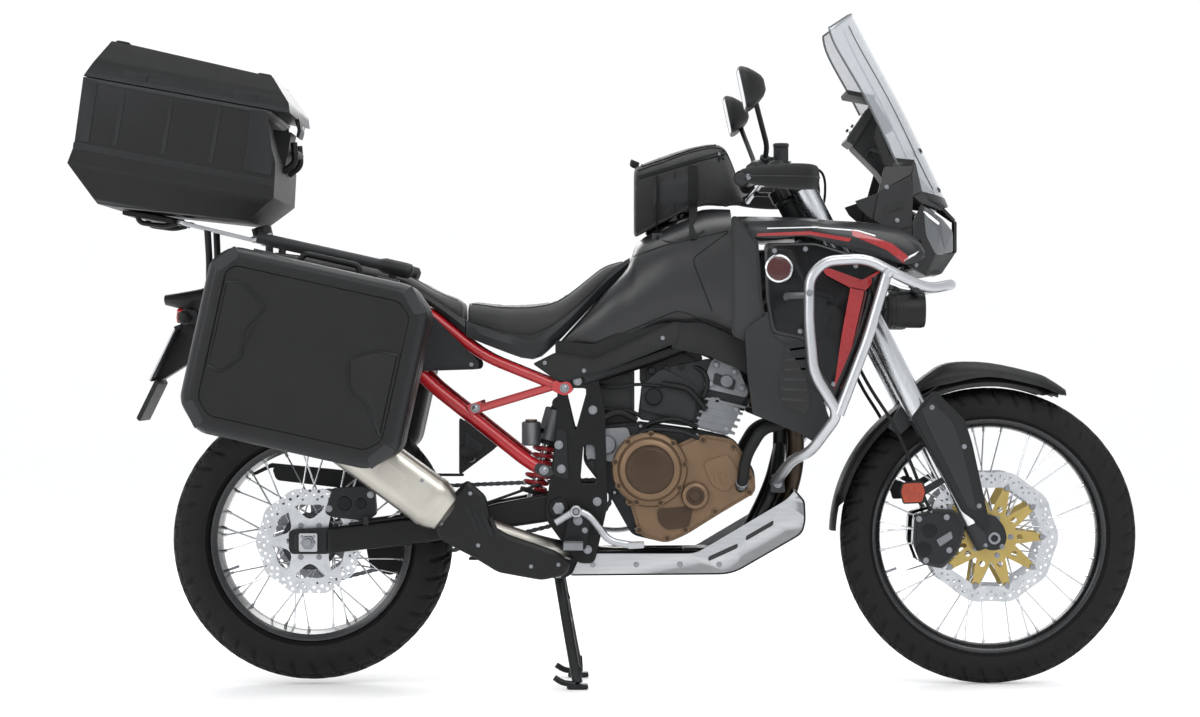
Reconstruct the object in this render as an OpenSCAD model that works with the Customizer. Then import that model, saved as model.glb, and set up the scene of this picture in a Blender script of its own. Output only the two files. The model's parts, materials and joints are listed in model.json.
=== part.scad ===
// Adventure motorcycle with hard luggage, parked on its centre stand.
// Frame: +X forward, +Z up, -Y is the rider's right side, floor at z = 0.

/* [Wheels] */
// Outer radius of the front tyre
front_tyre_r = 345; // [344:0.5:346]
// Width of the front tyre
front_tyre_w = 93; // [88:1:95]
// Outer radius of the rear tyre
rear_tyre_r = 326; // [320:1:328]
// Width of the rear tyre
rear_tyre_w = 150; // [140:1:152]
// Number of spokes in each wheel
spoke_n = 36; // [24:4:36]

/* [Steering] */
// Rake of the steering axis from upright, in degrees
rake = 27; // [27:0.1:27.2]
// Half the distance between the fork legs
fork_y = 105; // [104:1:106]
// Radius of the outer fork tubes
fork_tube_r = 27; // [25:0.5:27]

/* [Luggage] */
// Half the width of the top case
top_case_y = 250; // [230:5:260]
// Inner face of each side case, from the centre plane
pannier_in = 250; // [250:1:255]
// Outer face of each side case, from the centre plane
pannier_out = 490; // [470:5:490]
// Wall thickness of the cases
wall = 4; // [3:0.5:6]

/* [Tubes] */
// Radius of the crash bar tubes
bar_r = 12.5; // [11:0.5:13]
// Radius of the centre stand legs
stand_r = 12; // [10:0.5:13]

/* [Hidden] */
$fn = 48;

front_axle = [882, 0, front_tyre_r];
rear_axle_p = [-693, 0, 336];
axle_offset = 56;                 // axle ahead of the steering axis
fork_x = 33;                      // fork legs ahead of the steering axis
steer_o = [832.1, 0, front_tyre_r - 25.4];
stand_p = [-120, 0, 262];         // centre stand pivot
side_stand_p = [-60, 176, 280];   // side stand pivot
swing_p = [-118, 0, 415];         // swingarm pivot
chain_front = [-40, 0, 430];      // gearbox sprocket centre
case_o = [-975.5, 0, 1085];       // local origin of the top case
case_tilt = 10.3;
pannier_o = [-672, 0, 758];       // centre of each side case
pannier_tilt = 12.5;

// ---- helpers -------------------------------------------------------------
module rod(a, b, r) {
  d = b - a; l = norm(d);
  translate(a) rotate([0, acos(d[2] / l), atan2(d[1], d[0])]) cylinder(h = l, r = r);
}
module path(p, r, k = 1.04, q = 1) {
  for (i = [0 : len(p) - 2]) rod(p[i], p[i + 1], i % 2 == 0 ? r : r * q);
  if (len(p) > 2) for (i = [1 : len(p) - 2]) translate(p[i]) sphere(r = r * k);
}
// a plate cut to an outline in x, z, from y0 to y1
module slab(p, y0, y1) translate([0, y1, 0]) rotate([90, 0, 0]) linear_extrude(y1 - y0) polygon(p);
module sides() { children(); mirror([0, 1, 0]) children(); }
module ycyl(p, r, y0, y1) translate([p[0], y0, p[2]]) rotate([-90, 0, 0]) cylinder(h = y1 - y0, r = r);
module steer() translate(steer_o) rotate([0, -rake, 0]) children();
module rrect(w, h, r) {
  square([w - 2 * r, h], center = true);
  square([w, h - 2 * r], center = true);
  for (i = [-1, 1], j = [-1, 1]) translate([i * (w / 2 - r), j * (h / 2 - r)]) circle(r = r);
}
// cross section at x: z from lo to hi, half widths at the bottom, middle and top
module section(x, lo, hi, wl, wm, wt)
  translate([x - 0.5, 0, 0]) rotate([90, 0, 90]) linear_extrude(1)
    polygon([[-wl, lo], [wl, lo], [wm, (lo + hi) / 2], [wt, hi], [-wt, hi], [-wm, (lo + hi) / 2]]);
// rows are x, z low, z high, half width low, middle, top
module loft(t) for (i = [0 : len(t) - 2]) hull() {
  section(t[i][0], t[i][1], t[i][2], t[i][3], t[i][4], t[i][5]);
  section(t[i + 1][0], t[i + 1][1], t[i + 1][2], t[i + 1][3], t[i + 1][4], t[i + 1][5]);
}
function shrink(p, c, k) = [for (q = p) c + [(q[0] - c[0]) * k[0], (q[1] - c[1]) * k[1]]];

// ---- wheels --------------------------------------------------------------
function tyre_outline(ro, ri, w) = let (h = (ro - ri) * 0.68) concat([[ri, -w * 0.3]],
  [for (a = [-100 : 20 : 100]) [ro - h * (1 - cos(a)), w / 2 * sin(a)]], [[ri, w * 0.3]]);
module tyre(c, ro, ri, w) translate(c) rotate([90, 0, 0]) rotate_extrude($fn = 96) polygon(tyre_outline(ro, ri, w));
function wp(r, a, y) = [r * cos(a), y, r * sin(a)];
module wheel(c, r_bead, r_in, w, hub_r, y0, y1, flange_r, flange_y, bore) translate(c) difference() {
  union() {
    rotate([90, 0, 0]) rotate_extrude($fn = 96)
      polygon([[r_in, -w * 0.2], [r_in + 7, -w / 2], [r_bead, -w / 2], [r_bead, w / 2], [r_in + 7, w / 2], [r_in, w * 0.2]]);
    ycyl([0, 0, 0], hub_r, y0, y1);
    for (s = [-1, 1]) ycyl([0, 0, 0], flange_r, s * flange_y - 3, s * flange_y + 3);
    for (i = [0 : spoke_n - 1]) {
      a = i * 360 / spoke_n; s = i % 2 == 0 ? 1 : -1; k = floor(i / 2) % 2 == 0 ? 1 : -1;
      rod(wp(flange_r - 4, a + k * 42, s * flange_y), wp(r_in + 4, a, s * w * 0.12), 2);
    }
  }
  ycyl([0, 0, 0], bore, y0 - 1, y1 + 1);
}
module front_tyre() color("#1b1b1c") tyre(front_axle, front_tyre_r, 268, front_tyre_w);
module rear_tyre() color("#1b1b1c") tyre(rear_axle_p, rear_tyre_r, 229, rear_tyre_w);
module front_rim() color("#26272a") wheel(front_axle, 268, 252, 62, 26, -62, 62, 38, 30, 10.06);
module rear_rim() color("#26272a") wheel(rear_axle_p, 229, 211, 112, 40, -86, 84, 54, 40, 12.56);
module front_discs() color("#c2a25a") sides() translate(front_axle) difference() {
  union() { ycyl([0, 0, 0], 122, 62, 66.5); ycyl([0, 0, 0], 155, 66, 71); }
  ycyl([0, 0, 0], 15, 61, 72);
  ycyl([0, 0, 0], 116, 66.5, 72);
  for (a = [0 : 60 : 300]) ycyl(wp(76, a, 0), 24, 61, 72);
}
module rear_disc() color("#b9bcc0") translate(rear_axle_p) difference() {
  ycyl([0, 0, 0], 125, -91, -86);
  ycyl([0, 0, 0], 20, -92, -85);
  for (a = [0 : 60 : 300]) ycyl(wp(62, a, 0), 19, -92, -85);
}
module rear_sprocket() color("#9b9da1") translate(rear_axle_p) difference() {
  ycyl([0, 0, 0], 101, 84, 92);
  ycyl([0, 0, 0], 20, 83, 93);
  for (a = [0 : 60 : 300]) ycyl(wp(62, a, 0), 20, 83, 93);
}

// ---- steered parts, in the frame of the steering axis ------------------------
module fork_tubes_set() color("#c9ccd0") steer() sides() difference() {
  translate([fork_x, fork_y, 285]) cylinder(h = 670, r = fork_tube_r);
  translate([fork_x, fork_y, 284]) cylinder(h = 660, r = 22);
}
module fork_legs_set() color("#303236") difference() {
  union() {
    steer() sides() {
      translate([fork_x, fork_y, 0]) cylinder(h = 330, r = 21.5);
      translate([fork_x, fork_y, -12]) cylinder(h = 62, r = 25);
    }
    sides() ycyl(front_axle, 25, 82, 128);
  }
  ycyl(front_axle, 10, -130, 130);
}
module clamp(z, h) difference() {
  union() {
    for (s = [-1, 1]) translate([fork_x, s * fork_y, z]) cylinder(h = h, r = 36);
    translate([0, 0, z]) cylinder(h = h, r = 40);
    translate([-6, -fork_y, z]) cube([44, 2 * fork_y, h]);
  }
  for (s = [-1, 1]) translate([fork_x, s * fork_y, z - 1]) cylinder(h = h + 2, r = fork_tube_r);
}
module triple_clamps() color("#2b2c2f") steer() {
  clamp(914, 28);
  clamp(700, 32);
  translate([0, 0, 700]) cylinder(h = 248, r = 23.95);
}
bar_pts = [[287, -470, 1152], [345, -250, 1190], [398, -120, 1200], [398, 120, 1200], [345, 250, 1190], [287, 470, 1152]];
module handlebar() color("#1c1d1f") {
  path(bar_pts, 11, 1.1, 0.97);
  for (s = [-1, 1]) rod([404, s * 45, 1168], [398, s * 45, 1206], 17);
}
bar_dir = (bar_pts[1] - bar_pts[0]) / norm(bar_pts[1] - bar_pts[0]);
module hand_controls() color("#161718") sides() difference() {
  union() {
    rod(bar_pts[0] + bar_dir * 2, bar_pts[0] + bar_dir * 128, 17);
    rod(bar_pts[0] + bar_dir * 127, bar_pts[0] + bar_dir * 178, 21);
    rod([352, -305, 1182], [378, -275, 1190], 7);
    path([[375, -268, 1190], [366, -310, 1180], [343, -455, 1148]], 5.5);
    translate([385, -250, 1200]) cylinder(h = 44, r = 18);
    rod([355, -280, 1186], [392, -238, 1204], 12);
  }
  rod(bar_pts[0] - bar_dir * 10, bar_pts[0] + bar_dir * 200, 11);
}
module hand_guards() color("#17181a") sides() {
  translate([0, 0, 1128]) linear_extrude(58)
    polygon([[283, -476], [292, -485], [372, -484], [440, -462], [462, -424], [462, -352], [455, -352], [454, -420], [434, -455], [370, -477]]);
  rod([287, -467, 1152], [300, -482, 1154], 8);
  rod([352, -352, 1160], [457, -362, 1158], 6);
}
module mirrors() color("#1a1b1d") sides() {
  path([[345, -262, 1195], [352, -298, 1232], [326, -372, 1312], [318, -385, 1340]], 6);
  hull() {
    translate([290, -400, 1352]) rotate([0, 78, 0]) linear_extrude(6) rrect(100, 140, 34);
    translate([336, -396, 1338]) rotate([0, 90, 0]) linear_extrude(8) rrect(46, 76, 20);
  }
}
module front_fender() color("#1d1e20") {
  difference() {
    ycyl(front_axle, 371, -62, 62);
    ycyl(front_axle, 362, -63, 63);
    slab([[882, 345], [1500, 1500], [1500, -400], [300, -400], [300, 372]], -70, 70);
  }
  difference() {
    loft([[702, 672, 692, 56, 58, 50], [788, 700, 748, 60, 58, 34], [991, 680, 725, 58, 52, 30], [1062, 676, 687, 34, 32, 20]]);
    ycyl(front_axle, 366, -63, 63);
  }
  sides() slab([[700, 690], [640, 600], [668, 580], [735, 640]], 58, 82);
}
module fork_guards() color("#141516") sides()
  slab([[736, 681], [747, 683], [814, 617], [831, 562], [866, 402], [868, 362], [806, 407], [702, 601], [689, 621]], 131.5, 138);
caliper_f = [[702, 398], [752, 412], [800, 408], [822, 372], [806, 316], [768, 272], [716, 284], [698, 330]];
module front_calipers() color("#111214") sides() difference() {
  slab(caliper_f, 46, 99);
  difference() { slab(shrink(caliper_f, [760, 340], [1.4, 1.4]), 59.5, 74); ycyl(front_axle, 1000, 50, 80) ; }
  intersection() { slab(shrink(caliper_f, [760, 340], [1.6, 1.6]), 59.5, 74); ycyl(front_axle, 159, 50, 80); }
}
module front_axle() color("#8f9296") difference() {
  union() {
    ycyl(front_axle, 10, -130, 130);
    for (s = [-1, 1]) ycyl(front_axle, 13.5, s > 0 ? 63 : -81, s > 0 ? 81 : -63);
  }
  ycyl(front_axle, 8.25, -131, -94);
  ycyl(front_axle, 8.25, 94, 131);
}

// ---- frame ---------------------------------------------------------------
spar = [[451, -22, 1023], [300, -100, 842], [100, -122, 762], [-60, -130, 712]];
module main_frame() color("#17181a") {
  steer() difference() {
    translate([0, 0, 733]) cylinder(h = 180, r = 34);
    translate([0, 0, 732]) cylinder(h = 182, r = 24);
  }
  difference() {
    union() {
      sides() path(spar, 18);
      path([[453, 0, 996], [404, 0, 880], [398, 0, 545]], 18);
      sides() path([[398, 0, 560], [378, -105, 455], [300, -105, 302], [-60, -105, 300]], 15);
    }
    steer() translate([0, 0, 700]) cylinder(h = 240, r = 30);
  }
  sides() difference() {
    slab([[-119, 721], [-31, 728], [-12, 640], [-6, 420], [-36, 288], [-75, 288], [-150, 392], [-140, 470], [-128, 560]], -140, -120);
    slab([[-104, 690], [-52, 690], [-80, 590]], -141, -119);
    ycyl(swing_p, 18, -141, -119);
  }
  sides() ycyl([-48, 0, 300], 13, -125, -95);
  rod([-120, -125, 655], [-120, 125, 655], 14);
  sides() slab([[-40, 288], [-40, 310], [-90, 296], [-134, 268], [-132, 252], [-108, 250]], -106, -96.5);
  ycyl(stand_p, 8, -106, 106);
  slab([[-85, 292], [-40, 292], [-30, 262], [-48, 262], [-76, 274]], 120, 166);
  ycyl(side_stand_p, 6, 160, 186);
  ycyl(side_stand_p, 14, 120, 168.5);
}
module subframe() color("#b51f26") sides() {
  path([[-110, -130, 690], [-297, -130, 766], [-440, -130, 882], [-830, -130, 915]], 12.5);
  path([[-160, -130, 505], [-196, -130, 526], [-436, -130, 717], [-560, -130, 893]], 15);
  rod([-313, -130, 639], [-118, -130, 698], 9.5);
  rod([-150, -130, 500], [-118, -130, 520], 14);
}
engine_side = [[-60, 600], [-62, 520], [0, 440], [50, 352], [130, 333], [175, 353], [250, 400], [335, 450], [332, 500], [285, 574], [208, 592], [60, 612]];
module engine_block() color("#3a3b3d") {
  slab(engine_side, -118, 118);
  slab([[-56, 590], [-56, 700], [-30, 728], [56, 738], [56, 590]], -98, 98);
}
module engine_covers() color("#8a6b4c") {
  slab([[20, 470], [46, 423], [66, 353], [130, 335], [175, 355], [250, 402], [334, 452], [330, 490], [285, 572], [208, 585], [150, 560]], -160, -118);
  ycyl([90, 0, 505], 87, -182, -118);
  ycyl([90, 0, 505], 66, -190, -182);
  ycyl([194, 0, 444], 32, -176, -150);
  slab([[20, 470], [66, 370], [130, 340], [210, 380], [240, 470], [200, 560], [60, 570]], 118, 150);
  ycyl([120, 0, 470], 72, 150, 172);
}
module cylinder_head() color("#8d8f92") slab([[60, 612.5], [208, 592.5], [276, 575], [303, 637], [320, 675], [293, 740], [236, 764], [120, 740], [70, 700]], -116, 116);
module fuel_tank() color("#242527") {
  difference() {
    loft([[-128, 776, 785, 100, 118, 112], [-38, 764, 884, 118, 136, 120], [41, 802, 971, 130, 152, 112],
          [60, 812, 1026, 132, 158, 70], [120, 836, 1062, 140, 172, 88], [210, 838, 1105, 150, 190, 96], [277, 812, 1105, 160, 196, 104]]);
    sides() path(spar, 22);
    slab([[-200, 700], [300, 700], [300, 850], [120, 800], [-40, 742], [-200, 740]], -118, 118);
    steer() translate([0, 0, 700]) cylinder(h = 300, r = 147);
  }
  sides() slab([[276, 812], [312, 793], [360, 813], [346, 891], [337, 1024], [290, 1082], [276, 1082]], -197, -172);
}
module frame_covers_set() color("#1a1b1c") sides()
{
  slab([[-178, 746], [-115, 702], [-20, 726], [160, 797], [161, 850], [-38, 756], [-126, 772]], -150, -142);
  slab([[144, 790], [161, 833], [208, 833], [276, 807], [320, 797], [361, 811], [407, 850], [407, 790], [330, 643], [316, 700], [314, 725], [220, 765]], -150, -142);
}
fairing = [[337, 1028], [441, 1034], [465, 1028], [568, 997], [669, 969], [683, 967], [717, 988], [710, 1009], [655, 1044], [613, 1064], [475, 1070]];
module side_fairings_set() color("#222325") sides() hull() {
  slab(fairing, -236, -230);
  slab([[292, 1084], [396, 1082], [475, 1076], [600, 1068], [600, 1050], [340, 1046]], -178, -156);
}
module radiator_shrouds_set() color("#191a1b") sides() {
  slab([[348, 1020], [465, 1022], [568, 990], [660, 964], [621, 956], [582, 800], [517, 656], [471, 725], [440, 800], [366, 815], [352, 895]], -226, -218);
  slab([[366, 815], [440, 800], [471, 725], [517, 656], [500, 650], [440, 720], [400, 790]], -220, -160);
  slab([[311, 725], [323, 632], [432, 587], [468, 564], [502, 609], [466, 709], [448, 891], [430, 914], [305, 823]], -219, -211);
}
module radiators_set() color("#2d2e30") sides()
  slab([[470, 940], [552, 936], [540, 760], [508, 668], [486, 690], [462, 800]], -208, -156);
module front_cowl() color("#232426") {
  difference() {
    union() {
      hull() { section(690, 962, 1150, 150, 160, 140); section(758, 950, 1135, 96, 116, 96); section(806, 1004, 1090, 22, 30, 24); }
      hull() { section(690, 1100, 1215, 140, 134, 118); section(770, 1110, 1150, 84, 70, 50); }
      sides() hull() { slab([[690, 962], [690, 1180], [560, 1120], [600, 1060], [684, 968]], -162, -152); slab([[690, 962], [690, 1150], [684, 968]], -150, -140); }
      sides() slab([[612, 1294], [640, 1216], [700, 1214], [690, 1130], [600, 1120], [628, 1200]], -152, -142);
    }
    steer() translate([0, 0, 600]) cylinder(h = 480, r = 150);
  }
}
module headlamps() color("#d9dde2") sides()
  hull() { slab([[716, 1111], [760, 1078], [762, 1000], [744, 998], [722, 1040]], -128, -118);
           slab([[765, 1095], [794, 1052], [796, 1004], [770, 1000], [756, 1050]], -46, -36); }
// rows are x, z, y of the screen edge line; centre line in the first two columns
screen = [[790, 1112, 716, 1128, 122], [755, 1190, 660, 1206, 148], [685, 1337, 590, 1352, 140], [606, 1484, 520, 1478, 122], [566, 1562, 505, 1530, 92]];
module pane(a, b, c, d) hull() for (p = [a, b, c, d]) translate(p) cube([4, 3, 3], center = true);
module windscreen() color("#9aa3ad", 0.45)
  for (i = [0 : 3]) {
    t = screen[i]; u = screen[i + 1]; k = 0.5;
    pane([t[0], -t[4] * k, t[1]], [t[0], t[4] * k, t[1]], [u[0], -u[4] * k, u[1]], [u[0], u[4] * k, u[1]]);
    sides() pane([t[0], -t[4] * k, t[1]], [t[2], -t[4], t[3]], [u[0], -u[4] * k, u[1]], [u[2], -u[4], u[3]]);
  }
module instrument_panel() color("#101113") {
  slab([[545, 1262], [596, 1338], [608, 1330], [560, 1250]], -84, 84);
  slab([[545, 1379], [612, 1366], [612, 1356], [548, 1368]], -88, 88);
  slab([[560, 1250], [608, 1334], [652, 1250], [664, 1170], [640, 1160]], -60, 60);
  slab([[598, 1330], [612, 1366], [660, 1290], [640, 1280]], -40, 40);
}
module crash_bars() color("#c8cacd") {
  sides() {
    path([[378, -112, 470], [413, -205, 528], [451, -250, 546], [513, -286, 633], [456, -290, 725], [446, -290, 839],
          [447, -290, 940], [482, -290, 977], [575, -288, 983], [633, -284, 952], [716, -262, 914], [776, -214, 926]], bar_r, 1.1, 0.97);
    path([[622, -284, 950], [577, -288, 800], [515, -286, 640]], bar_r, 1.1, 0.97);
    rod([447, -290, 900], [400, -230, 900], 8);
    rod([400, -236, 900], [392, -140, 860], 8);
    rod([392, -145, 860], [330, -108, 853], 9);
  }
  rod([776, -214, 926], [776, 214, 926], bar_r);
  for (s = [-1, 1]) translate([776, s * 214, 926]) sphere(r = bar_r * 1.1);
}
module fog_lamps() color("#131415") sides() {
  rod([624, -226, 868], [712, -226, 868], 41);
  rod([680, -226, 868], [690, -262, 922], 7);
}
skid = [[-90, 259], [280, 262], [442, 356], [449, 387], [447, 431], [425, 457], [407, 435], [196, 310], [-66, 310]];
module skid_plate() color("#b4b6b9") difference() {
  slab(skid, -130, 130);
  slab([[-100, 263], [279, 266], [438, 358], [445, 387], [443, 429], [424, 480], [380, 480], [196, 340], [-100, 340]], -126, 126);
  for (p = [[[311, 350], [375, 387], [375, 378], [311, 341]], [[225, 303], [293, 334], [293, 325], [225, 294]]]) slab(p, -131, 131);
}
module exhaust_pipes() color("#7c6a58") {
  sides() path([[305, -40, 666], [392, -40, 655], [432, -40, 600], [432, -40, 495], [396, -40, 395], [310, -40, 325], [222, -40, 296]], 19);
  translate([168, -62, 273]) cube([64, 124, 46]);
  path([[190, 0, 296], [0, 0, 296], [-150, -130, 326], [-368, -190, 402]], 21);
}
module heat_shield() color("#131415") {
  slab([[-325, 484], [-408, 394], [-387, 346], [-312, 307], [-255, 272], [-155, 254], [-99, 267], [-90, 294], [-120, 320], [-234, 359], [-269, 381], [-282, 446]], -217, -211);
  rod([-270, -206, 352], [-270, -213, 352], 9);
}
module silencer() color("#b7b6b2") translate([-371, -190, 405]) rotate([0, -53.8, 0]) {
  linear_extrude(455) rrect(117, 108, 34);
  translate([0, 0, 455]) linear_extrude(22) rrect(108, 100, 32);
  translate([-8, 0, 476]) cylinder(h = 12, r = 24);
}
module swingarm() color("#151617") {
  sides() difference() {
    union() {
      slab([[-92, 445], [-92, 388], [-150, 380], [-334, 352], [-334, 404], [-150, 446]], -116, -82);
      slab([[-300, 408], [-300, 350], [-420, 334], [-640, 309], [-738, 309], [-738, 366], [-640, 370], [-486, 388]], -133, -104);
    }
    ycyl(rear_axle_p, 12.5, -141, -100);
  }
  slab([[-262, 372], [-320, 362], [-320, 402], [-262, 408]], -90, 90);
  ycyl(swing_p, 18, -146, 146);
}
module rear_axle() color("#a2a5a9") {
  ycyl(rear_axle_p, 12.5, -156, 156);
  ycyl(rear_axle_p, 17, -104, -92.5);
  ycyl(rear_axle_p, 17, 93, 104);
  sides() slab([[-716, 314], [-716, 358], [-672, 358], [-672, 314]], -140, -133);
}
module shock_absorber() color("#3c3d40") {
  rod([-124, 0, 640], [-192, 0, 402], 13);
  rod([-131, 0, 618], [-150, 0, 548], 28);
  for (i = [0 : 5]) rod([-152 - 5.6 * i, 0, 540 - 19 * i], [-154 - 5.6 * i, 0, 533 - 19 * i], 31);
  rod([-183, -52, 556], [-183, -52, 612], 22);
  rod([-183, -50, 585], [-148, 0, 575], 9);
  rod([-196, 0, 408], [-286, 0, 386], 10);
}
// outline of a belt round two circles, by its tangent points
module belt(a, ra, b, rb) {
  d = norm([b[0] - a[0], b[2] - a[2]]); t = atan2(b[2] - a[2], b[0] - a[0]); k = acos((ra - rb) / d);
  translate([a[0], a[2]]) circle(r = ra, $fn = 96);
  translate([b[0], b[2]]) circle(r = rb);
  polygon([[a[0] + ra * cos(t + k), a[2] + ra * sin(t + k)], [b[0] + rb * cos(t + k), b[2] + rb * sin(t + k)],
           [b[0] + rb * cos(t - k), b[2] + rb * sin(t - k)], [a[0] + ra * cos(t - k), a[2] + ra * sin(t - k)]]);
}
module drive_chain() color("#6f7176") {
  translate([0, 95, 0]) rotate([90, 0, 0]) linear_extrude(14) difference() {
    belt(rear_axle_p, 114, chain_front, 47);
    belt(rear_axle_p, 103, chain_front, 36);
  }
  slab([[-838, 480], [-800, 500], [-560, 478], [-340, 478], [-340, 484], [-560, 488], [-800, 512], [-846, 486]], 80, 100);
}
module rear_caliper() color("#141517") difference() {
  slab([[-658, 400], [-640, 392], [-560, 384], [-538, 396], [-542, 452], [-570, 464], [-640, 460]], -108, -70);
  intersection() { slab([[-720, 340], [-500, 340], [-500, 500], [-720, 500]], -94, -83); ycyl(rear_axle_p, 129, -95, -82); }
}
module rider_seat() color("#18191a")
  loft([[44, 979, 992, 50, 54, 44], [-10, 920, 978, 80, 88, 60], [-93, 832, 914, 110, 124, 90], [-131, 794, 893, 128, 140, 108],
        [-180, 754, 886, 140, 154, 126], [-261, 784, 884, 148, 164, 140], [-330, 812, 894, 146, 156, 132]]);
module pillion_seat() color("#18191a")
  loft([[-334, 818, 894, 140, 150, 126], [-400, 874, 917, 138, 148, 120], [-464, 908, 953, 134, 142, 116], [-600, 932, 986, 124, 130, 104], [-790, 956, 1010, 92, 98, 74]]);
module side_covers_set() color("#3b3c3f") sides()
  slab([[-414, 864], [-300, 750], [-304, 733], [-435, 729], [-470, 770]], -154, -143.5);
module tail_unit_set() color("#17181a") {
  loft([[-440, 846, 880, 90, 100, 96], [-600, 880, 924, 90, 104, 100], [-800, 905, 952, 84, 100, 90], [-950, 870, 919, 66, 86, 70], [-1036, 882, 906, 44, 62, 50]]);
  slab([[-1000, 838], [-986, 836], [-958, 880], [-1000, 884]], -58, 58);
}
module plate_holder_set() color("#161718") {
  slab([[-958, 878], [-1000, 840], [-1012, 822], [-1095, 620], [-1087, 612], [-1058, 648], [-984, 745], [-950, 872]], -26, 26);
  slab([[-1008, 826], [-1005, 824], [-1062, 706], [-1066, 708]], -88, 88);
  slab([[-1050, 712], [-1095, 620], [-1087, 612], [-1044, 700]], -84, 84);
}
module grab_rails() color("#1c1d1f") {
  sides() {
    rod([-800, -150, 1034], [-520, -150, 972], 12.5);
    rod([-524, -150, 973], [-456, -150, 956], 18);
    rod([-500, -150, 966], [-500, -132, 890], 9);
    rod([-780, -150, 1028], [-780, -132, 915], 9);
  }
}
module luggage_luggage_rack() color("#bfc1c4") {
  translate([-904, 0, 1051]) rotate([0, 13.6, 0]) difference() {
    cube([200, 210, 8], center = true);
    for (y = [-60, 0, 60]) translate([0, y, 0]) cube([130, 34, 10], center = true);
  }
  sides() {
    rod([-822, -104, 1032], [-800, -148, 1034], 9);
    rod([-930, -88, 1056], [-930, -60, 905], 9);
    path([[-990, -80, 1072], [-1087, -80, 1092], [-1110, -60, 1094]], 7);
  }
  rod([-1110, -62, 1094], [-1110, 62, 1094], 7);
  translate(case_o) rotate([0, case_tilt, 0]) slab([[-150, -22], [-30, -22], [-30, -10.2], [-150, -10.2]], -90, 90);
  translate([-806, 0, 1030]) rod([0, 0, 0], [-8, 0, 40], 22);
}
module pannier_rails_set() color("#17181a") sides() {
  rod([-860, -240, 900], [-470, -240, 816], 9);
  rod([-780, -238, 884], [-780, -142, 910], 8);
  rod([-500, -238, 824], [-470, -142, 880], 8);
}

// ---- luggage ---------------------------------------------------------------
case_body = [[-268, 68], [-260, 111], [-267, 266], [161, 266], [150, 251], [195, 152], [205, 74], [152, 13], [-151, -9], [-192, -10]];
case_lid = [[-267, 268.5], [-225, 360], [152, 343], [200, 291], [207, 268.5]];
// width profile in y, z of the whole case
function case_front(w) = [[-w + 46, -12], [w - 46, -12], [w, 62], [w, 300], [w - 50, 372], [-w + 50, 372], [-w, 300], [-w, 62]];
module case_shape(side, w) intersection() {
  slab(side, -w, w);
  translate([-400, 0, 0]) rotate([90, 0, 90]) linear_extrude(800) polygon(case_front(w));
}
module top_case_body() color("#1f2022") translate(case_o) rotate([0, case_tilt, 0]) {
  difference() {
    case_shape(case_body, top_case_y);
    case_shape([[-263, 70], [-255, 111], [-262, 280], [154, 280], [145, 251], [190, 151], [200, 76], [149, 17], [-151, -4], [-189, -5]], top_case_y - wall);
  }
  for (s = [-1, 1]) difference() {
    union() { ycyl([-275, 0, 267], 6, s * 92 - 30, s * 92 + 30); translate([-276, s * 92 - 30, 240]) cube([10, 60, 26]); }
  }
  ycyl([-275, 0, 267], 2.5, -92, 92);
}
module top_case_lid() color("#25272a") translate(case_o) rotate([0, case_tilt, 0]) {
  difference() {
    case_shape(case_lid, top_case_y);
    case_shape([[-262, 260], [-222, 355], [150, 338], [196, 289], [202, 260]], top_case_y - wall);
  }
  difference() {
    union() { ycyl([-275, 0, 267], 6, -60, 60); slab([[-276, 268.5], [-264, 268.5], [-262, 284], [-276, 276]], -60, 60); }
    ycyl([-275, 0, 267], 2.56, -61, 61);
  }
  slab([[200, 268.5], [207, 268.5], [216, 246], [216, 230], [210, 230], [210, 246]], -46, 46);
}
pannier_side = [[-248, 168], [-206, 208], [196, 208], [248, 158], [248, -158], [190, -208], [-194, -208], [-248, -150]];
module pannier_half(y0, y1, bevel, open0, open1) {
  k = [(248 - wall) / 248, (208 - wall) / 208];
  difference() {
    union() {
      slab(pannier_side, y0, y1 - bevel);
      if (bevel > 0) hull() { slab(pannier_side, y1 - bevel - 1, y1 - bevel); slab(shrink(pannier_side, [0, 0], [0.93, 0.92]), y1 - 1, y1); }
    }
    slab(shrink(pannier_side, [0, 0], k), open0 ? y0 - 1 : y0 + wall, open1 ? y1 + 1 : y1 - (bevel > 0 ? wall + bevel : wall));
    if (bevel > 0) slab(shrink(pannier_side, [0, 0], [0.9, 0.89]), y1 - bevel - wall - 1, y1 - wall);
  }
}
module pannier_place() translate(pannier_o) rotate([0, pannier_tilt, 0]) children();
module pannier_b() pannier_place() pannier_half(pannier_in, 429, 0, false, true);
module pannier_l() pannier_place() {
  pannier_half(431, pannier_out, 16, true, false);
}
module left_pannier_body_set() color("#1f2022") pannier_b();
module right_pannier_body_set() color("#1f2022") mirror([0, 1, 0]) pannier_b();
module left_pannier_lid() color("#25272a") pannier_l();
module right_pannier_lid() color("#25272a") mirror([0, 1, 0]) pannier_l();

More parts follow.
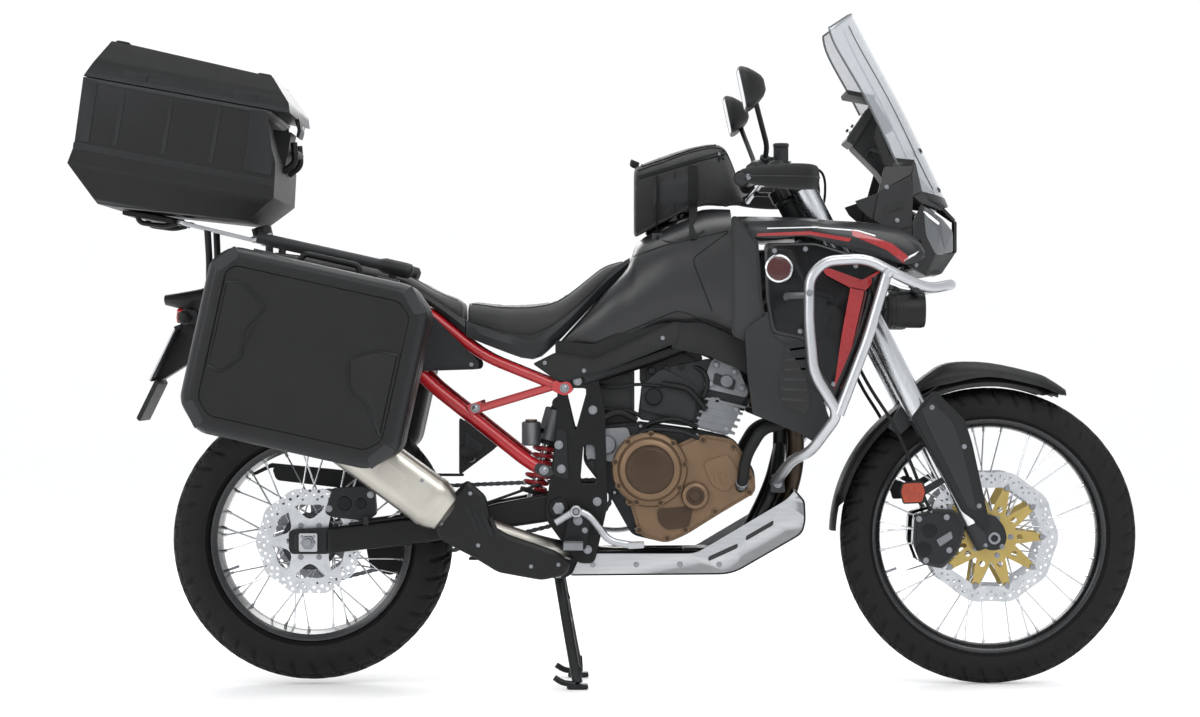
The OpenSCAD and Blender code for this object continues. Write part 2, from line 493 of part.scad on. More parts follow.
// ---- small parts -------------------------------------------------------------
module rider_footpegs_set() color("#6f7174") sides() {
  translate([-106, -276, 325]) cube([44, 92, 18]);
  slab([[-112, 322], [-56, 322], [-40, 400], [-96, 400]], -184, -168);
  rod([-74, -170, 388], [-74, -138, 388], 12);
}
module foot_levers() color("#b9bbbe") {
  path([[-125, -200, 384], [-78, -200, 413], [-49, -200, 402], [-2, -200, 342], [45, -202, 334]], 8, 1.1, 0.97);
  translate([40, -222, 326]) cube([38, 42, 14]);
  rod([-78, -200, 410], [-78, -138, 410], 8);
  hull() {
    translate([-40, 192, 346]) cube([10, 10, 12]);
    translate([62, 194, 349]) cube([10, 12, 12]);
  }
  rod([70, 186, 355], [70, 232, 355], 9);
  rod([-35, 197, 352], [-35, 138, 352], 5.5);
}
module passenger_pegs_set() color("#55575a") sides() {
  slab([[-346, 625], [-346, 490], [-258, 556]], -156, -146);
  rod([-318, -150, 530], [-330, -232, 548], 11);
}
module tank_bag() color("#1b1c1d")
  loft([[52, 1034, 1207, 84, 98, 84], [120, 1068, 1228, 96, 104, 88], [207, 1110, 1256, 100, 100, 80], [262, 1111, 1257, 78, 82, 64], [312, 1112, 1126, 60, 60, 54]]);
module coolant_hose_set() color("#141516")
  path([[298, -150, 462], [302, -176, 480], [309, -176, 534], [347, -176, 599], [400, -170, 608], [452, -166, 690]], 13);

// ---- stands ------------------------------------------------------------------
module centre_stand() color("#141516") {
  difference() {
    union() {
      ycyl(stand_p, 14, -95.5, 95.5);
      sides() {
        path([[-118, -82, 254], [-96, -112, 128], [-75, -140, 12]], stand_r);
        translate([-100, -158, 0]) cube([50, 32, 13]);
      }
      rod([-98, -106, 140], [-98, 106, 140], 9);
    }
    ycyl(stand_p, 8.06, -97, 97);
  }
  sides() rod([-80, -152, 12], [-128, -152, 28], 7);
}
module side_stand() color("#1a1b1c") {
  difference() {
    union() {
      ycyl(side_stand_p, 14, 169, 183);
      rod([-62, 178.2, 280], [-318, 190, 290], 8.5);
      translate([-338, 172, 276]) cube([40, 38, 8]);
      translate([-330, 184, 282]) cube([20, 14, 10]);
    }
    ycyl(side_stand_p, 6.06, 150, 190);
  }
}

module side_panels() { frame_covers_set(); side_covers_set(); }

module cooling() { radiators_set(); coolant_hose_set(); }

module luggage_rack() { luggage_luggage_rack(); pannier_rails_set(); }

module footpegs() { rider_footpegs_set(); passenger_pegs_set(); }

module pannier_bodies() { right_pannier_body_set(); left_pannier_body_set(); }

module front_fork() { fork_tubes_set(); fork_legs_set(); }

module tail_unit() { tail_unit_set(); plate_holder_set(); }

module fairings() { side_fairings_set(); radiator_shrouds_set(); }

side_panels();
cooling();
luggage_rack();
footpegs();
pannier_bodies();
front_fork();
tail_unit();
fairings();
main_frame();
subframe();
engine_block();
engine_covers();
cylinder_head();
fuel_tank();
front_cowl();
headlamps();
windscreen();
instrument_panel();
crash_bars();
fog_lamps();
skid_plate();
exhaust_pipes();
heat_shield();
silencer();
swingarm();
rear_axle();
shock_absorber();
drive_chain();
rear_caliper();
rider_seat();
pillion_seat();
grab_rails();
top_case_body();
foot_levers();
tank_bag();
triple_clamps();
handlebar();
hand_controls();
hand_guards();
mirrors();
front_fender();
fork_guards();
front_calipers();
front_axle();
front_tyre();
front_rim();
front_discs();
rear_tyre();
rear_rim();
rear_disc();
rear_sprocket();
centre_stand();
side_stand();
top_case_lid();
right_pannier_lid();
left_pannier_lid();
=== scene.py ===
import bpy, bmesh, math, json
import numpy as np
from mathutils import Vector, Matrix
from mathutils.geometry import delaunay_2d_cdt


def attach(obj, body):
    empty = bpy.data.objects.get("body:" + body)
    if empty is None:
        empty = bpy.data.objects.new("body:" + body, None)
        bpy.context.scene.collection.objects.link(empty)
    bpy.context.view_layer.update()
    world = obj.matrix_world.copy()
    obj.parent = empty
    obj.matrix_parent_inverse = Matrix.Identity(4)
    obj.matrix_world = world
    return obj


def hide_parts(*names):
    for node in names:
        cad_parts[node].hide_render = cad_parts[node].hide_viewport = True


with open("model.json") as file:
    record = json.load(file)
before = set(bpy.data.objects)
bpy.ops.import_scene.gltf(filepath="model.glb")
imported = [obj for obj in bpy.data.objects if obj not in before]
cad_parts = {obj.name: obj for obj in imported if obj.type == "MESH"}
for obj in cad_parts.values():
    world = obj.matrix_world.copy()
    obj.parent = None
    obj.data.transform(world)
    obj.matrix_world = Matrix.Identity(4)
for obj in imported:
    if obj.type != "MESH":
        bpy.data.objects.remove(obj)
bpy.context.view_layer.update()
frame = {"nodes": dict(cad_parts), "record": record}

REC = frame["record"]
BODY_OF = {n: b for b, l in REC["behaviour"]["bodies"].items() for n in l}
SLOT_OF = {s["node"]: s["material_slot"] for s in REC["subparts"]}

# ---------------------------------------------------------------- camera, floor, light
scene = bpy.context.scene
cam = bpy.data.cameras.new("camera")
cam.sensor_width = 36.0
cam.lens = 96.3
cam.clip_end = 200
cam_o = bpy.data.objects.new("camera", cam)
cam_o.location = (-0.0235, -7.5, 0.758)
cam_o.rotation_euler = (math.radians(90), 0, 0)
scene.collection.objects.link(cam_o)
scene.camera = cam_o
scene.view_settings.view_transform = 'Standard'

def area(name, loc, target, size, size_y, power, col=(1, 1, 1)):
    l = bpy.data.lights.new(name, 'AREA')
    l.shape = 'RECTANGLE'; l.size = size; l.size_y = size_y; l.energy = power; l.color = col
    o = bpy.data.objects.new(name, l)
    o.location = loc
    d = Vector(target) - Vector(loc)
    o.rotation_euler = d.to_track_quat('-Z', 'Y').to_euler()
    scene.collection.objects.link(o)
    return o
area("key", (1.6, -4.2, 4.2), (0, 0, 0.6), 3.6, 2.4, 128)
area("fill", (-3.6, -3.8, 2.4), (-0.2, 0, 0.7), 2.4, 2.4, 66)
area("top", (0, 0.6, 4.8), (0, 0, 0.5), 5.0, 2.2, 110)
area("rim", (-1.0, 4.4, 2.8), (0, 0, 0.8), 4.0, 1.6, 80)
world = bpy.data.worlds.new("studio")
scene.world = world
world.use_nodes = True
world.node_tree.nodes["Background"].inputs[0].default_value = (0.93, 0.94, 0.95, 1)
world.node_tree.nodes["Background"].inputs[1].default_value = 0.92

# ---------------------------------------------------------------- materials
MATS = {}
def lin(h):
    h = h.lstrip('#')
    c = [int(h[i:i + 2], 16) / 255 for i in (0, 2, 4)]
    return tuple(((x + 0.055) / 1.055) ** 2.4 if x > 0.04045 else x / 12.92 for x in c)

def mat(name, col, rough=0.5, metal=0.0, coat=0.0, var=0.12, vscale=14.0, rvar=0.08, grain=0.0, gscale=900.0,
        kind='noise', painted_edge_highlight=0.0, painted_edge_highlight_col=(0.25, 0.25, 0.25), stretch=(1, 1, 1), alpha=1.0, trans=0.0, sheen=0.0,
        ior=1.45, spec=0.32, dist=0.0004, emit=None, coat_rough=0.1):
    m = bpy.data.materials.new(name)
    m.use_nodes = True
    nt = m.node_tree; N = nt.nodes; L = nt.links
    b = N["Principled BSDF"]
    c = lin(col) if isinstance(col, str) else col
    b.inputs["Metallic"].default_value = metal
    b.inputs["IOR"].default_value = ior
    b.inputs["Specular IOR Level"].default_value = spec
    b.inputs["Coat Weight"].default_value = coat
    b.inputs["Coat Roughness"].default_value = coat_rough
    b.inputs["Sheen Weight"].default_value = sheen
    b.inputs["Alpha"].default_value = alpha
    b.inputs["Transmission Weight"].default_value = trans
    if emit:
        b.inputs["Emission Color"].default_value = (*emit[0], 1)
        b.inputs["Emission Strength"].default_value = emit[1]
    tc = N.new("ShaderNodeTexCoord")
    mp = N.new("ShaderNodeMapping"); mp.inputs["Scale"].default_value = stretch
    L.new(tc.outputs["Object"], mp.inputs["Vector"])
    n1 = N.new("ShaderNodeTexNoise"); n1.inputs["Scale"].default_value = vscale
    n1.inputs["Detail"].default_value = 6; n1.inputs["Roughness"].default_value = 0.6
    L.new(mp.outputs[0], n1.inputs["Vector"])
    ra = N.new("ShaderNodeValToRGB")
    ra.color_ramp.elements[0].position = 0.3; ra.color_ramp.elements[1].position = 0.72
    lo = tuple(max(0, x * (1 - var)) for x in c); hi = tuple(min(1, x * (1 + var) + 0.0005) for x in c)
    ra.color_ramp.elements[0].color = (*lo, 1); ra.color_ramp.elements[1].color = (*hi, 1)
    L.new(n1.outputs["Fac"], ra.inputs[0])
    out = ra.outputs[0]
    # painted edge highlight: convex edges, found by pointiness, are mixed towards a lighter colour
    if painted_edge_highlight > 0:
        g = N.new("ShaderNodeNewGeometry")
        r2 = N.new("ShaderNodeValToRGB")
        r2.color_ramp.elements[0].position = 0.53; r2.color_ramp.elements[1].position = 0.62
        r2.color_ramp.elements[0].color = (0, 0, 0, 1); r2.color_ramp.elements[1].color = (painted_edge_highlight, painted_edge_highlight, painted_edge_highlight, 1)
        L.new(g.outputs["Pointiness"], r2.inputs[0])
        mx = N.new("ShaderNodeMix"); mx.data_type = 'RGBA'
        L.new(r2.outputs[0], mx.inputs[0])
        L.new(out, mx.inputs[6]); mx.inputs[7].default_value = (*painted_edge_highlight_col, 1)
        out = mx.outputs[2]
    L.new(out, b.inputs["Base Color"])
    n2 = N.new("ShaderNodeTexNoise"); n2.inputs["Scale"].default_value = vscale * 3.1
    n2.inputs["Detail"].default_value = 4
    L.new(mp.outputs[0], n2.inputs["Vector"])
    mr = N.new("ShaderNodeMapRange")
    mr.inputs["To Min"].default_value = max(0.02, rough - rvar); mr.inputs["To Max"].default_value = min(1, rough + rvar)
    L.new(n2.outputs["Fac"], mr.inputs["Value"])
    L.new(mr.outputs[0], b.inputs["Roughness"])
    if grain > 0:
        if kind == 'leather':
            t = N.new("ShaderNodeTexVoronoi"); t.inputs["Scale"].default_value = gscale
            t.feature = 'DISTANCE_TO_EDGE'; src = t.outputs["Distance"]
        elif kind == 'weave':
            t = N.new("ShaderNodeTexWave"); t.inputs["Scale"].default_value = gscale
            t.inputs["Distortion"].default_value = 0.4; t.bands_direction = 'DIAGONAL'; src = t.outputs["Fac"]
        else:
            t = N.new("ShaderNodeTexNoise"); t.inputs["Scale"].default_value = gscale
            t.inputs["Detail"].default_value = 3; src = t.outputs["Fac"]
        L.new(mp.outputs[0], t.inputs["Vector"])
        bp = N.new("ShaderNodeBump"); bp.inputs["Strength"].default_value = grain; bp.inputs["Distance"].default_value = dist
        L.new(src, bp.inputs["Height"])
        L.new(bp.outputs[0], b.inputs["Normal"])
    if alpha < 1 or trans > 0:
        m.surface_render_method = 'DITHERED'
    MATS[name] = m
    return m

# painted edge highlight: the edge value and colour given to a material below lighten its convex edges
mat("luggage_grain", "#0b0c0d", 0.5, grain=0.5, gscale=700, kind='leather', painted_edge_highlight=0.3, painted_edge_highlight_col=lin("#6d7074"), var=0.2)
mat("luggage_smooth", "#101112", 0.4, grain=0.15, gscale=1500, painted_edge_highlight=0.35, painted_edge_highlight_col=lin("#7b7f84"))
mat("luggage_panel", "#0c0d0e", 0.52, grain=0.35, gscale=1100, painted_edge_highlight=0.1, var=0.25)
mat("top_panel", "#1c1d1f", 0.5, grain=0.5, gscale=900, kind='leather')
mat("plastic_black", "#0b0c0d", 0.48, grain=0.3, gscale=1400, painted_edge_highlight=0.22, painted_edge_highlight_col=lin("#55585c"))
mat("plastic_grain", "#0c0d0e", 0.56, grain=0.6, gscale=800, kind='leather', painted_edge_highlight=0.12)
mat("panel_satin", "#101113", 0.38, coat=0.25, grain=0.05, gscale=2500, painted_edge_highlight=0.2, painted_edge_highlight_col=lin("#5b5f63"), coat_rough=0.25)
mat("tank_paint", "#141517", 0.4, coat=0.35, grain=0.06, gscale=3000, var=0.08, coat_rough=0.3)
mat("gloss_black", "#0b0c0d", 0.14, coat=0.5, var=0.3)
mat("red_paint", "#8f1318", 0.28, coat=0.7, var=0.08, grain=0.04, gscale=2500)
mat("red_frame", "#9c0f18", 0.33, coat=0.5, var=0.12, grain=0.1, gscale=1200, painted_edge_highlight=0.15, painted_edge_highlight_col=lin("#d98a8a"))
mat("white_paint", "#d8d9da", 0.3, coat=0.5, var=0.04)
# darker red: the badge centre's own colour, and painted shade in the thin strip beside the shroud band
mat("badge_red_and_painted_shade", "#3d0c0e", 0.3, coat=0.5, var=0.2)
mat("frame_paint", "#0a0b0c", 0.36, metal=0.2, grain=0.12, gscale=900, painted_edge_highlight=0.25, painted_edge_highlight_col=lin("#606468"))
mat("bronze", "#6b5744", 0.42, metal=0.55, grain=0.25, gscale=700, painted_edge_highlight=0.3, painted_edge_highlight_col=lin("#b89a78"), var=0.15, vscale=10)
mat("bronze_dark", "#3f3227", 0.42, metal=0.5, grain=0.25, gscale=900, var=0.2)
mat("cast_grey", "#6a6d70", 0.48, metal=0.75, grain=0.6, gscale=500, painted_edge_highlight=0.3, painted_edge_highlight_col=lin("#c4c6c8"), var=0.2)
mat("cast_dark", "#1a1b1d", 0.5, metal=0.4, grain=0.6, gscale=450, painted_edge_highlight=0.3, painted_edge_highlight_col=lin("#707478"), var=0.2)
mat("aluminium", "#a9abae", 0.36, metal=1.0, grain=0.2, gscale=220, stretch=(1, 6, 14), painted_edge_highlight=0.2, painted_edge_highlight_col=(0.8, 0.8, 0.8), var=0.1)
mat("silver_paint", "#b4b6b9", 0.3, metal=0.9, grain=0.1, gscale=1200, var=0.07)
mat("silencer_metal", "#b3b0a8", 0.36, metal=1.0, grain=0.2, gscale=160, stretch=(1, 9, 1), var=0.12, vscale=9)
mat("header_metal", "#3a322b", 0.42, metal=0.9, grain=0.2, gscale=300, var=0.35, vscale=22)
mat("chrome", "#d6d8da", 0.13, metal=1.0, var=0.03, rvar=0.04, grain=0.03, gscale=800)
mat("fork_silver", "#bfc2c5", 0.26, metal=1.0, grain=0.12, gscale=260, stretch=(6, 6, 0.5), var=0.06)
mat("gold", "#a8945c", 0.33, metal=1.0, grain=0.12, gscale=700, var=0.1)
mat("disc_steel", "#b7babd", 0.3, metal=1.0, grain=0.25, gscale=500, var=0.12, vscale=30)
mat("rubber_tyre", "#0c0c0d", 0.72, grain=0.5, gscale=1300, var=0.25, vscale=40, painted_edge_highlight=0.3, painted_edge_highlight_col=lin("#262627"), spec=0.3)
mat("rubber", "#0d0e0f", 0.6, grain=0.4, gscale=1500, var=0.2)
mat("rim_black", "#111214", 0.28, metal=0.3, coat=0.3, grain=0.08, gscale=1500, painted_edge_highlight=0.2, painted_edge_highlight_col=lin("#85888c"))
mat("spoke_steel", "#c9cbce", 0.25, metal=1.0, var=0.06)
mat("hub_black", "#161719", 0.38, metal=0.4, grain=0.3, gscale=800, painted_edge_highlight=0.3, painted_edge_highlight_col=lin("#707478"))
mat("seat_vinyl", "#0d0e0f", 0.55, grain=0.7, gscale=650, kind='leather', var=0.2, sheen=0.15, spec=0.4)
mat("seat_side", "#0c0d0e", 0.5, grain=0.5, gscale=900, kind='leather', var=0.2)
mat("bag_fabric", "#0c0d0e", 0.72, grain=0.8, gscale=420, kind='weave', var=0.2, sheen=0.35, dist=0.0006)
mat("bag_shell", "#151618", 0.5, grain=0.5, gscale=900, kind='leather', var=0.2)
mat("strap_web", "#141516", 0.75, grain=0.8, gscale=700, kind='weave', var=0.2, dist=0.0005)
mat("stitch", "#4a4c50", 0.7, grain=0.4, gscale=1800, var=0.2)
mat("lens_clear", (0.16, 0.17, 0.18), 0.05, alpha=0.45, spec=0.8, coat=0.6, var=0.03, coat_rough=0.02)
mat("lamp_silver", "#6d7175", 0.2, metal=1.0, var=0.06)
mat("lamp_led", "#f4f6f8", 0.25, emit=((0.9, 0.95, 1.0), 0.25), var=0.05)
mat("amber", "#8a2c08", 0.22, coat=0.8, var=0.2, vscale=120, grain=0.5, gscale=350)
mat("tail_red", "#a30f14", 0.2, coat=0.8, var=0.2, vscale=100, grain=0.4, gscale=300)
mat("screen_smoke", (0.42, 0.45, 0.48), 0.06, alpha=0.36, spec=0.7, coat=0.5, var=0.06, coat_rough=0.03)
mat("screen_edge", (0.10, 0.105, 0.11), 0.2, alpha=0.85, coat=0.3, var=0.05)
mat("mirror_glass", "#dfe3e6", 0.03, metal=1.0, var=0.02)
mat("lcd_glass", "#0a0d10", 0.08, coat=0.8, var=0.3)
mat("steel_bolt", "#85888c", 0.33, metal=1.0, var=0.15, vscale=60)
mat("chain_steel", "#55585c", 0.35, metal=1.0, var=0.3, vscale=80)
mat("plate_blank", "#c9cbcd", 0.4, var=0.05, grain=0.1, gscale=600)
mat("radiator_core", "#26282b", 0.5, metal=0.6, grain=0.9, gscale=180, stretch=(1, 1, 8), var=0.3, dist=0.001)
mat("floor_white", (0.84, 0.84, 0.845), 0.62, var=0.01, vscale=1.5, rvar=0.03, spec=0.25, emit=((1.0, 1.0, 1.0), 0.2))

# ---------------------------------------------------------------- mesh builder (millimetres)
def V3(p): return np.array(p, float)
def unit(v):
    n = np.linalg.norm(v); return v / n if n > 1e-9 else v

def fillet(pts, rad, k=6, closed=False):
    """Rounds the corners of a path or outline in 2-D or 3-D with short curves."""
    P = [V3(p) for p in pts]; n = len(P); out = []
    for i in range(n):
        if not closed and i in (0, n - 1): out.append(P[i]); continue
        a, b, c = P[i - 1], P[i], P[(i + 1) % n]
        r = rad[i] if isinstance(rad, (list, tuple)) else rad
        d = min(r, 0.48 * np.linalg.norm(a - b), 0.48 * np.linalg.norm(c - b))
        if d < 0.05: out.append(b); continue
        s = b + unit(a - b) * d; e = b + unit(c - b) * d
        for j in range(k + 1):
            t = j / k
            out.append((1 - t) ** 2 * s + 2 * t * (1 - t) * b + t * t * e)
    return out

def area2(p): return 0.5 * sum(p[i][0] * p[(i + 1) % len(p)][1] - p[(i + 1) % len(p)][0] * p[i][1] for i in range(len(p)))
def inset(pts, d):
    """Moves every edge of an outline inwards by d."""
    P = [V3(p)[:2] for p in pts]
    if area2(P) < 0: P = P[::-1]
    n = len(P); out = []
    for i in range(n):
        a, b, c = P[i - 1], P[i], P[(i + 1) % n]
        u, v = unit(b - a), unit(c - b)
        nu, nv = np.array([-u[1], u[0]]), np.array([-v[1], v[0]])
        k = 1 + np.dot(nu, nv)
        out.append(b + (nu + nv) * d / max(k, 0.25))
    return out

def crom(P, t):
    """Catmull-Rom through the rows of P at t in 0..len-1."""
    P = np.asarray(P, float); n = len(P)
    i = min(int(t), n - 2); f = t - i
    p0, p1, p2, p3 = P[max(i - 1, 0)], P[i], P[i + 1], P[min(i + 2, n - 1)]
    return 0.5 * ((2 * p1) + (-p0 + p2) * f + (2 * p0 - 5 * p1 + 4 * p2 - p3) * f * f + (-p0 + 3 * p1 - 3 * p2 + p3) * f ** 3)

class MB:
    def __init__(s): s.v = []; s.f = []; s.m = []; s.sm = []; s.mats = []
    def mi(s, name):
        if name not in s.mats: s.mats.append(name)
        return s.mats.index(name)
    def add(s, V, F, m, smooth=True):
        o = len(s.v); s.v.extend([tuple(map(float, p)) for p in V]); k = s.mi(m)
        for f in F: s.f.append([i + o for i in f]); s.m.append(k); s.sm.append(smooth)
        return s
    def grid(s, R, m, closed_u=True, cap=True, smooth=True):
        """R: rings of equal length, joined one after another."""
        n = len(R[0]); V = [p for r in R for p in r]; F = []
        for i in range(len(R) - 1):
            for j in range(n if closed_u else n - 1):
                k = (j + 1) % n
                F.append([i * n + j, i * n + k, (i + 1) * n + k, (i + 1) * n + j])
        if cap and closed_u:
            F.append(list(range(n))[::-1]); F.append([(len(R) - 1) * n + j for j in range(n)])
        return s.add(V, F, m, smooth)
    def prism(s, pts, y0, y1, m, round_=0, k=4, smooth=False):
        P = fillet(pts, round_, k, True) if round_ else [V3(p) for p in pts]
        if area2(P) < 0: P = P[::-1]
        return s.grid([[(p[0], y, p[1]) for p in P] for y in (y1, y0)][::-1], m, smooth=smooth)
    def plate(s, outer, holes, y0, y1, m, smooth=False):
        loops = [outer] + list(holes); V2 = []; E = []
        for l in loops:
            o = len(V2); V2 += [Vector((float(p[0]), float(p[1]))) for p in l]
            E += [(o + i, o + (i + 1) % len(l)) for i in range(len(l))]
        r = delaunay_2d_cdt(V2, E, [], 1, 1e-4)
        vs, fs = r[0], r[2]
        S0 = np.array([p for l in loops for p in [tuple(map(float, q)) for q in l]]); S1 = np.array([p for l in loops for p in [tuple(map(float, l[(i + 1) % len(l)])) for i in range(len(l))]])
        def inside(x, y):
            c = (S0[:, 1] > y) != (S1[:, 1] > y)
            a_, b_ = S0[c], S1[c]
            return int(np.sum(x < (b_[:, 0] - a_[:, 0]) * (y - a_[:, 1]) / (b_[:, 1] - a_[:, 1]) + a_[:, 0])) % 2 == 1
        fs = [f for f in fs if inside(sum(vs[i][0] for i in f) / len(f), sum(vs[i][1] for i in f) / len(f))]
        n = len(vs)
        s.add([(p[0], y0, p[1]) for p in vs] + [(p[0], y1, p[1]) for p in vs],
              [list(f) for f in fs] + [[i + n for i in reversed(f)] for f in fs], m, False)
        for l in loops:
            n = len(l)
            s.add([(p[0], y0, p[1]) for p in l] + [(p[0], y1, p[1]) for p in l],
                  [[i, (i + 1) % n, n + (i + 1) % n, n + i] for i in range(n)], m, True)
        return s
    def frame_at(s, d):
        d = unit(V3(d)); a = np.array([0, 0, 1.]) if abs(d[2]) < 0.9 else np.array([1., 0, 0])
        u = unit(np.cross(a, d)); return u, np.cross(d, u)
    def tube(s, pts, r, m, n=14, cap=True, flat=None):
        P = [V3(p) for p in pts]; R = []
        t = unit(P[1] - P[0]); u, w = s.frame_at(t)
        for i, p in enumerate(P):
            t2 = unit((P[min(i + 1, len(P) - 1)] - P[max(i - 1, 0)]))
            u = unit(u - np.dot(u, t2) * t2); w = np.cross(t2, u)
            rr = r[i] if isinstance(r, (list, tuple, np.ndarray)) else r
            ru, rw = (rr, rr) if flat is None else (rr * flat[0], rr * flat[1])
            R.append([p + ru * math.cos(a) * u + rw * math.sin(a) * w for a in np.linspace(0, 2 * math.pi, n, endpoint=False)])
        return s.grid(R, m, cap=cap)
    def cyl(s, a, b, r, m, n=28, r2=None, bev=0.0):
        a, b = V3(a), V3(b); d = unit(b - a); L = np.linalg.norm(b - a); u, w = s.frame_at(d); r2 = r if r2 is None else r2
        st = [(0, r - bev), (bev, r), (L - bev, r2), (L, r2 - bev)] if bev > 0 else [(0, r), (L, r2)]
        R = [[a + d * h + q * math.cos(t) * u + q * math.sin(t) * w for t in np.linspace(0, 2 * math.pi, n, endpoint=False)] for h, q in st]
        s.grid(R, m, cap=False)
        s.add(R[0], [list(range(n))[::-1]], m, False); s.add(R[-1], [list(range(n))], m, False)
        return s
    def rev(s, prof, c, m, n=64, a0=0.0, a1=360.0, closed=False):
        """prof: rows of (r, y) turned about the axis along Y through c."""
        full = abs(a1 - a0 - 360) < 1e-6
        A = np.radians(np.linspace(a0, a1, n, endpoint=not full))
        P = list(prof) + ([prof[0]] if closed else [])
        R = [[(c[0] + r * math.cos(t), c[1] + y, c[2] + r * math.sin(t)) for t in A] for r, y in P]
        return s.grid(R, m, closed_u=full, cap=False)
    def box(s, lo, hi, m):
        x0, y0, z0 = lo; x1, y1, z1 = hi
        return s.prism([(x0, z0), (x1, z0), (x1, z1), (x0, z1)], y0, y1, m)
    def bolt(s, p, d, r, m="steel_bolt", h=None, n=6, hexed=True):
        p = V3(p); d = unit(V3(d)); h = h or r * 0.7
        s.cyl(p, p + d * h * 0.35, r * 1.35, m, 16)
        s.cyl(p + d * h * 0.3, p + d * h, r, m, 6 if hexed else 14, bev=r * 0.12)
        return s
    def mirror(s):
        o = len(s.v); s.v += [(x, -y, z) for x, y, z in s.v[:o]]
        nf = len(s.f)
        s.f += [[i + o for i in reversed(f)] for f in s.f[:nf]]; s.m += s.m[:nf]; s.sm += s.sm[:nf]
        return s
    def xform(s, M, start=0):
        for i in range(start, len(s.v)): s.v[i] = tuple(M @ Vector(s.v[i]))
        return s
    def obj(s, name, body, slot, replaces=(), bevel=0.0, seg=2, ang=38, sub=0, solid=0.0):
        me = bpy.data.meshes.new(name)
        me.from_pydata([(x * 0.001, y * 0.001, z * 0.001) for x, y, z in s.v], [], s.f)
        for k in s.mats: me.materials.append(MATS[k])
        me.polygons.foreach_set("material_index", s.m)
        me.polygons.foreach_set("use_smooth", s.sm)
        me.validate(); me.update()
        bm = bmesh.new(); bm.from_mesh(me)
        bmesh.ops.remove_doubles(bm, verts=bm.verts, dist=0.00002)
        bmesh.ops.recalc_face_normals(bm, faces=bm.faces)
        bm.to_mesh(me); bm.free()
        o = bpy.data.objects.new(name, me); scene.collection.objects.link(o)
        if sub:
            d = o.modifiers.new("sub", 'SUBSURF'); d.levels = sub; d.render_levels = sub
        if solid:
            d = o.modifiers.new("solid", 'SOLIDIFY'); d.thickness = solid * 0.001; d.offset = -1
        if bevel:
            d = o.modifiers.new("bevel", 'BEVEL'); d.width = bevel * 0.001; d.segments = seg
            d.limit_method = 'ANGLE'; d.angle_limit = math.radians(ang); d.harden_normals = False
            me.shade_smooth()
            w = o.modifiers.new("wn", 'WEIGHTED_NORMAL'); w.keep_sharp = False
        else:
            me.set_sharp_from_angle(angle=math.radians(ang))
        if replaces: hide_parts(*replaces)
        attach(o, body)
        return o

def carry(node, m):
    """A CAD node whose shape is right gets its material."""
    o = frame["nodes"][node]
    o.data.materials.clear()
    o.data.materials.append(MATS[m])

def keep_slot(node): return SLOT_OF[node]

fl = MB(); prof = [(1, 0), (4000, 0), (9000, 0), (12000, 0)]
for k in range(1, 13):
    a = math.radians(90 * k / 12); prof.append((12000 + 4000 * math.sin(a), 4000 * (1 - math.cos(a))))
prof.append((16000, 7000))
fl.grid([[(r_ * math.cos(t_ * math.pi / 32), r_ * math.sin(t_ * math.pi / 32), z_ - 0.5) for r_, z_ in prof] for t_ in range(65)], "floor_white", closed_u=False, cap=False)
me = bpy.data.meshes.new("floor"); me.from_pydata([(x * 0.001, y * 0.001, z * 0.001) for x, y, z in fl.v], [], fl.f)
me.materials.append(MATS["floor_white"]); me.shade_smooth(); floor_o = bpy.data.objects.new("floor", me); scene.collection.objects.link(floor_o)

# ---------------------------------------------------------------- wheels
FA = (882.0, 0.0, 345.0); RA = (-693.0, 0.0, 336.0)
def tyre(name, node, body, c, ro, ri, w, pitches, blocks):
    """A tyre whose tread blocks are cut by grooves into the crown."""
    nth = pitches * 14; h = (ro - ri) * 0.68
    A = np.concatenate([np.linspace(-104, -62, 8), np.linspace(-58, 58, 34), np.linspace(62, 104, 8)])
    R = []
    for it in range(nth):
        t = 2 * math.pi * it / nth; p = pitches * it / nth; ring = []
        ring.append((ri + 0.5, -w * 0.3)); ring.append((ri + 9, -w * 0.36))
        for a in A:
            ar = math.radians(a); y = w / 2 * math.sin(ar); r = ro - h * (1 - math.cos(ar))
            s_ = a / 58.0; d = 0.0
            if abs(a) < 74:
                q = (p + 0.42 * abs(s_) ** 1.3) % 1.0
                half = 0.11 if abs(s_) > 0.34 else 0.0
                g = 0.0
                if abs(s_) > 0.30:
                    e = abs(q - 0.5); g = max(g, min(1, max(0, (0.13 - e) / 0.05)))
                if blocks and abs(s_) < 0.66:
                    q2 = (p - 0.5 * s_ + 0.25) % 1.0; e = abs(q2 - 0.5)
                    if abs(s_) > 0.10: g = max(g, 0.85 * min(1, max(0, (0.08 - e) / 0.04)))
                cg = abs(s_ - 0.09 * math.sin(2 * math.pi * p)); g = max(g, min(1, max(0, (0.075 - cg) / 0.03)))
                for c0 in (-0.60, 0.60):
                    cg = abs(s_ - c0 - 0.05 * math.sin(2 * math.pi * p + 1)); g = max(g, 0.7 * min(1, max(0, (0.055 - cg) / 0.03)))
                fade = min(1, (74 - abs(a)) / 12.0)
                d = -7.0 * g * fade
            elif 84 < abs(a) < 89: d = 0.9
            k = 1 + d / max(r, 1)
            ring.append((r * k, y * (1 + d / 60 * (abs(y) / (w / 2)) * 0.4)))
        ring.append((ri + 9, w * 0.36)); ring.append((ri + 0.5, w * 0.3))
        R.append([(c[0] + r * math.cos(t), c[1] + y, c[2] + r * math.sin(t)) for r, y in ring])
    R.append(R[0])
    b = MB(); b.grid(R, "rubber_tyre", closed_u=False, cap=False)
    o = b.obj(name, body, "tyre_rubber", (node,), ang=50)
    return o
tyre("front_tyre_tread", "front_tyre", "front_wheel", FA, 345, 268, 93, 46, True)
tyre("rear_tyre_tread", "rear_tyre", "rear_wheel", RA, 326, 229, 150, 40, True)

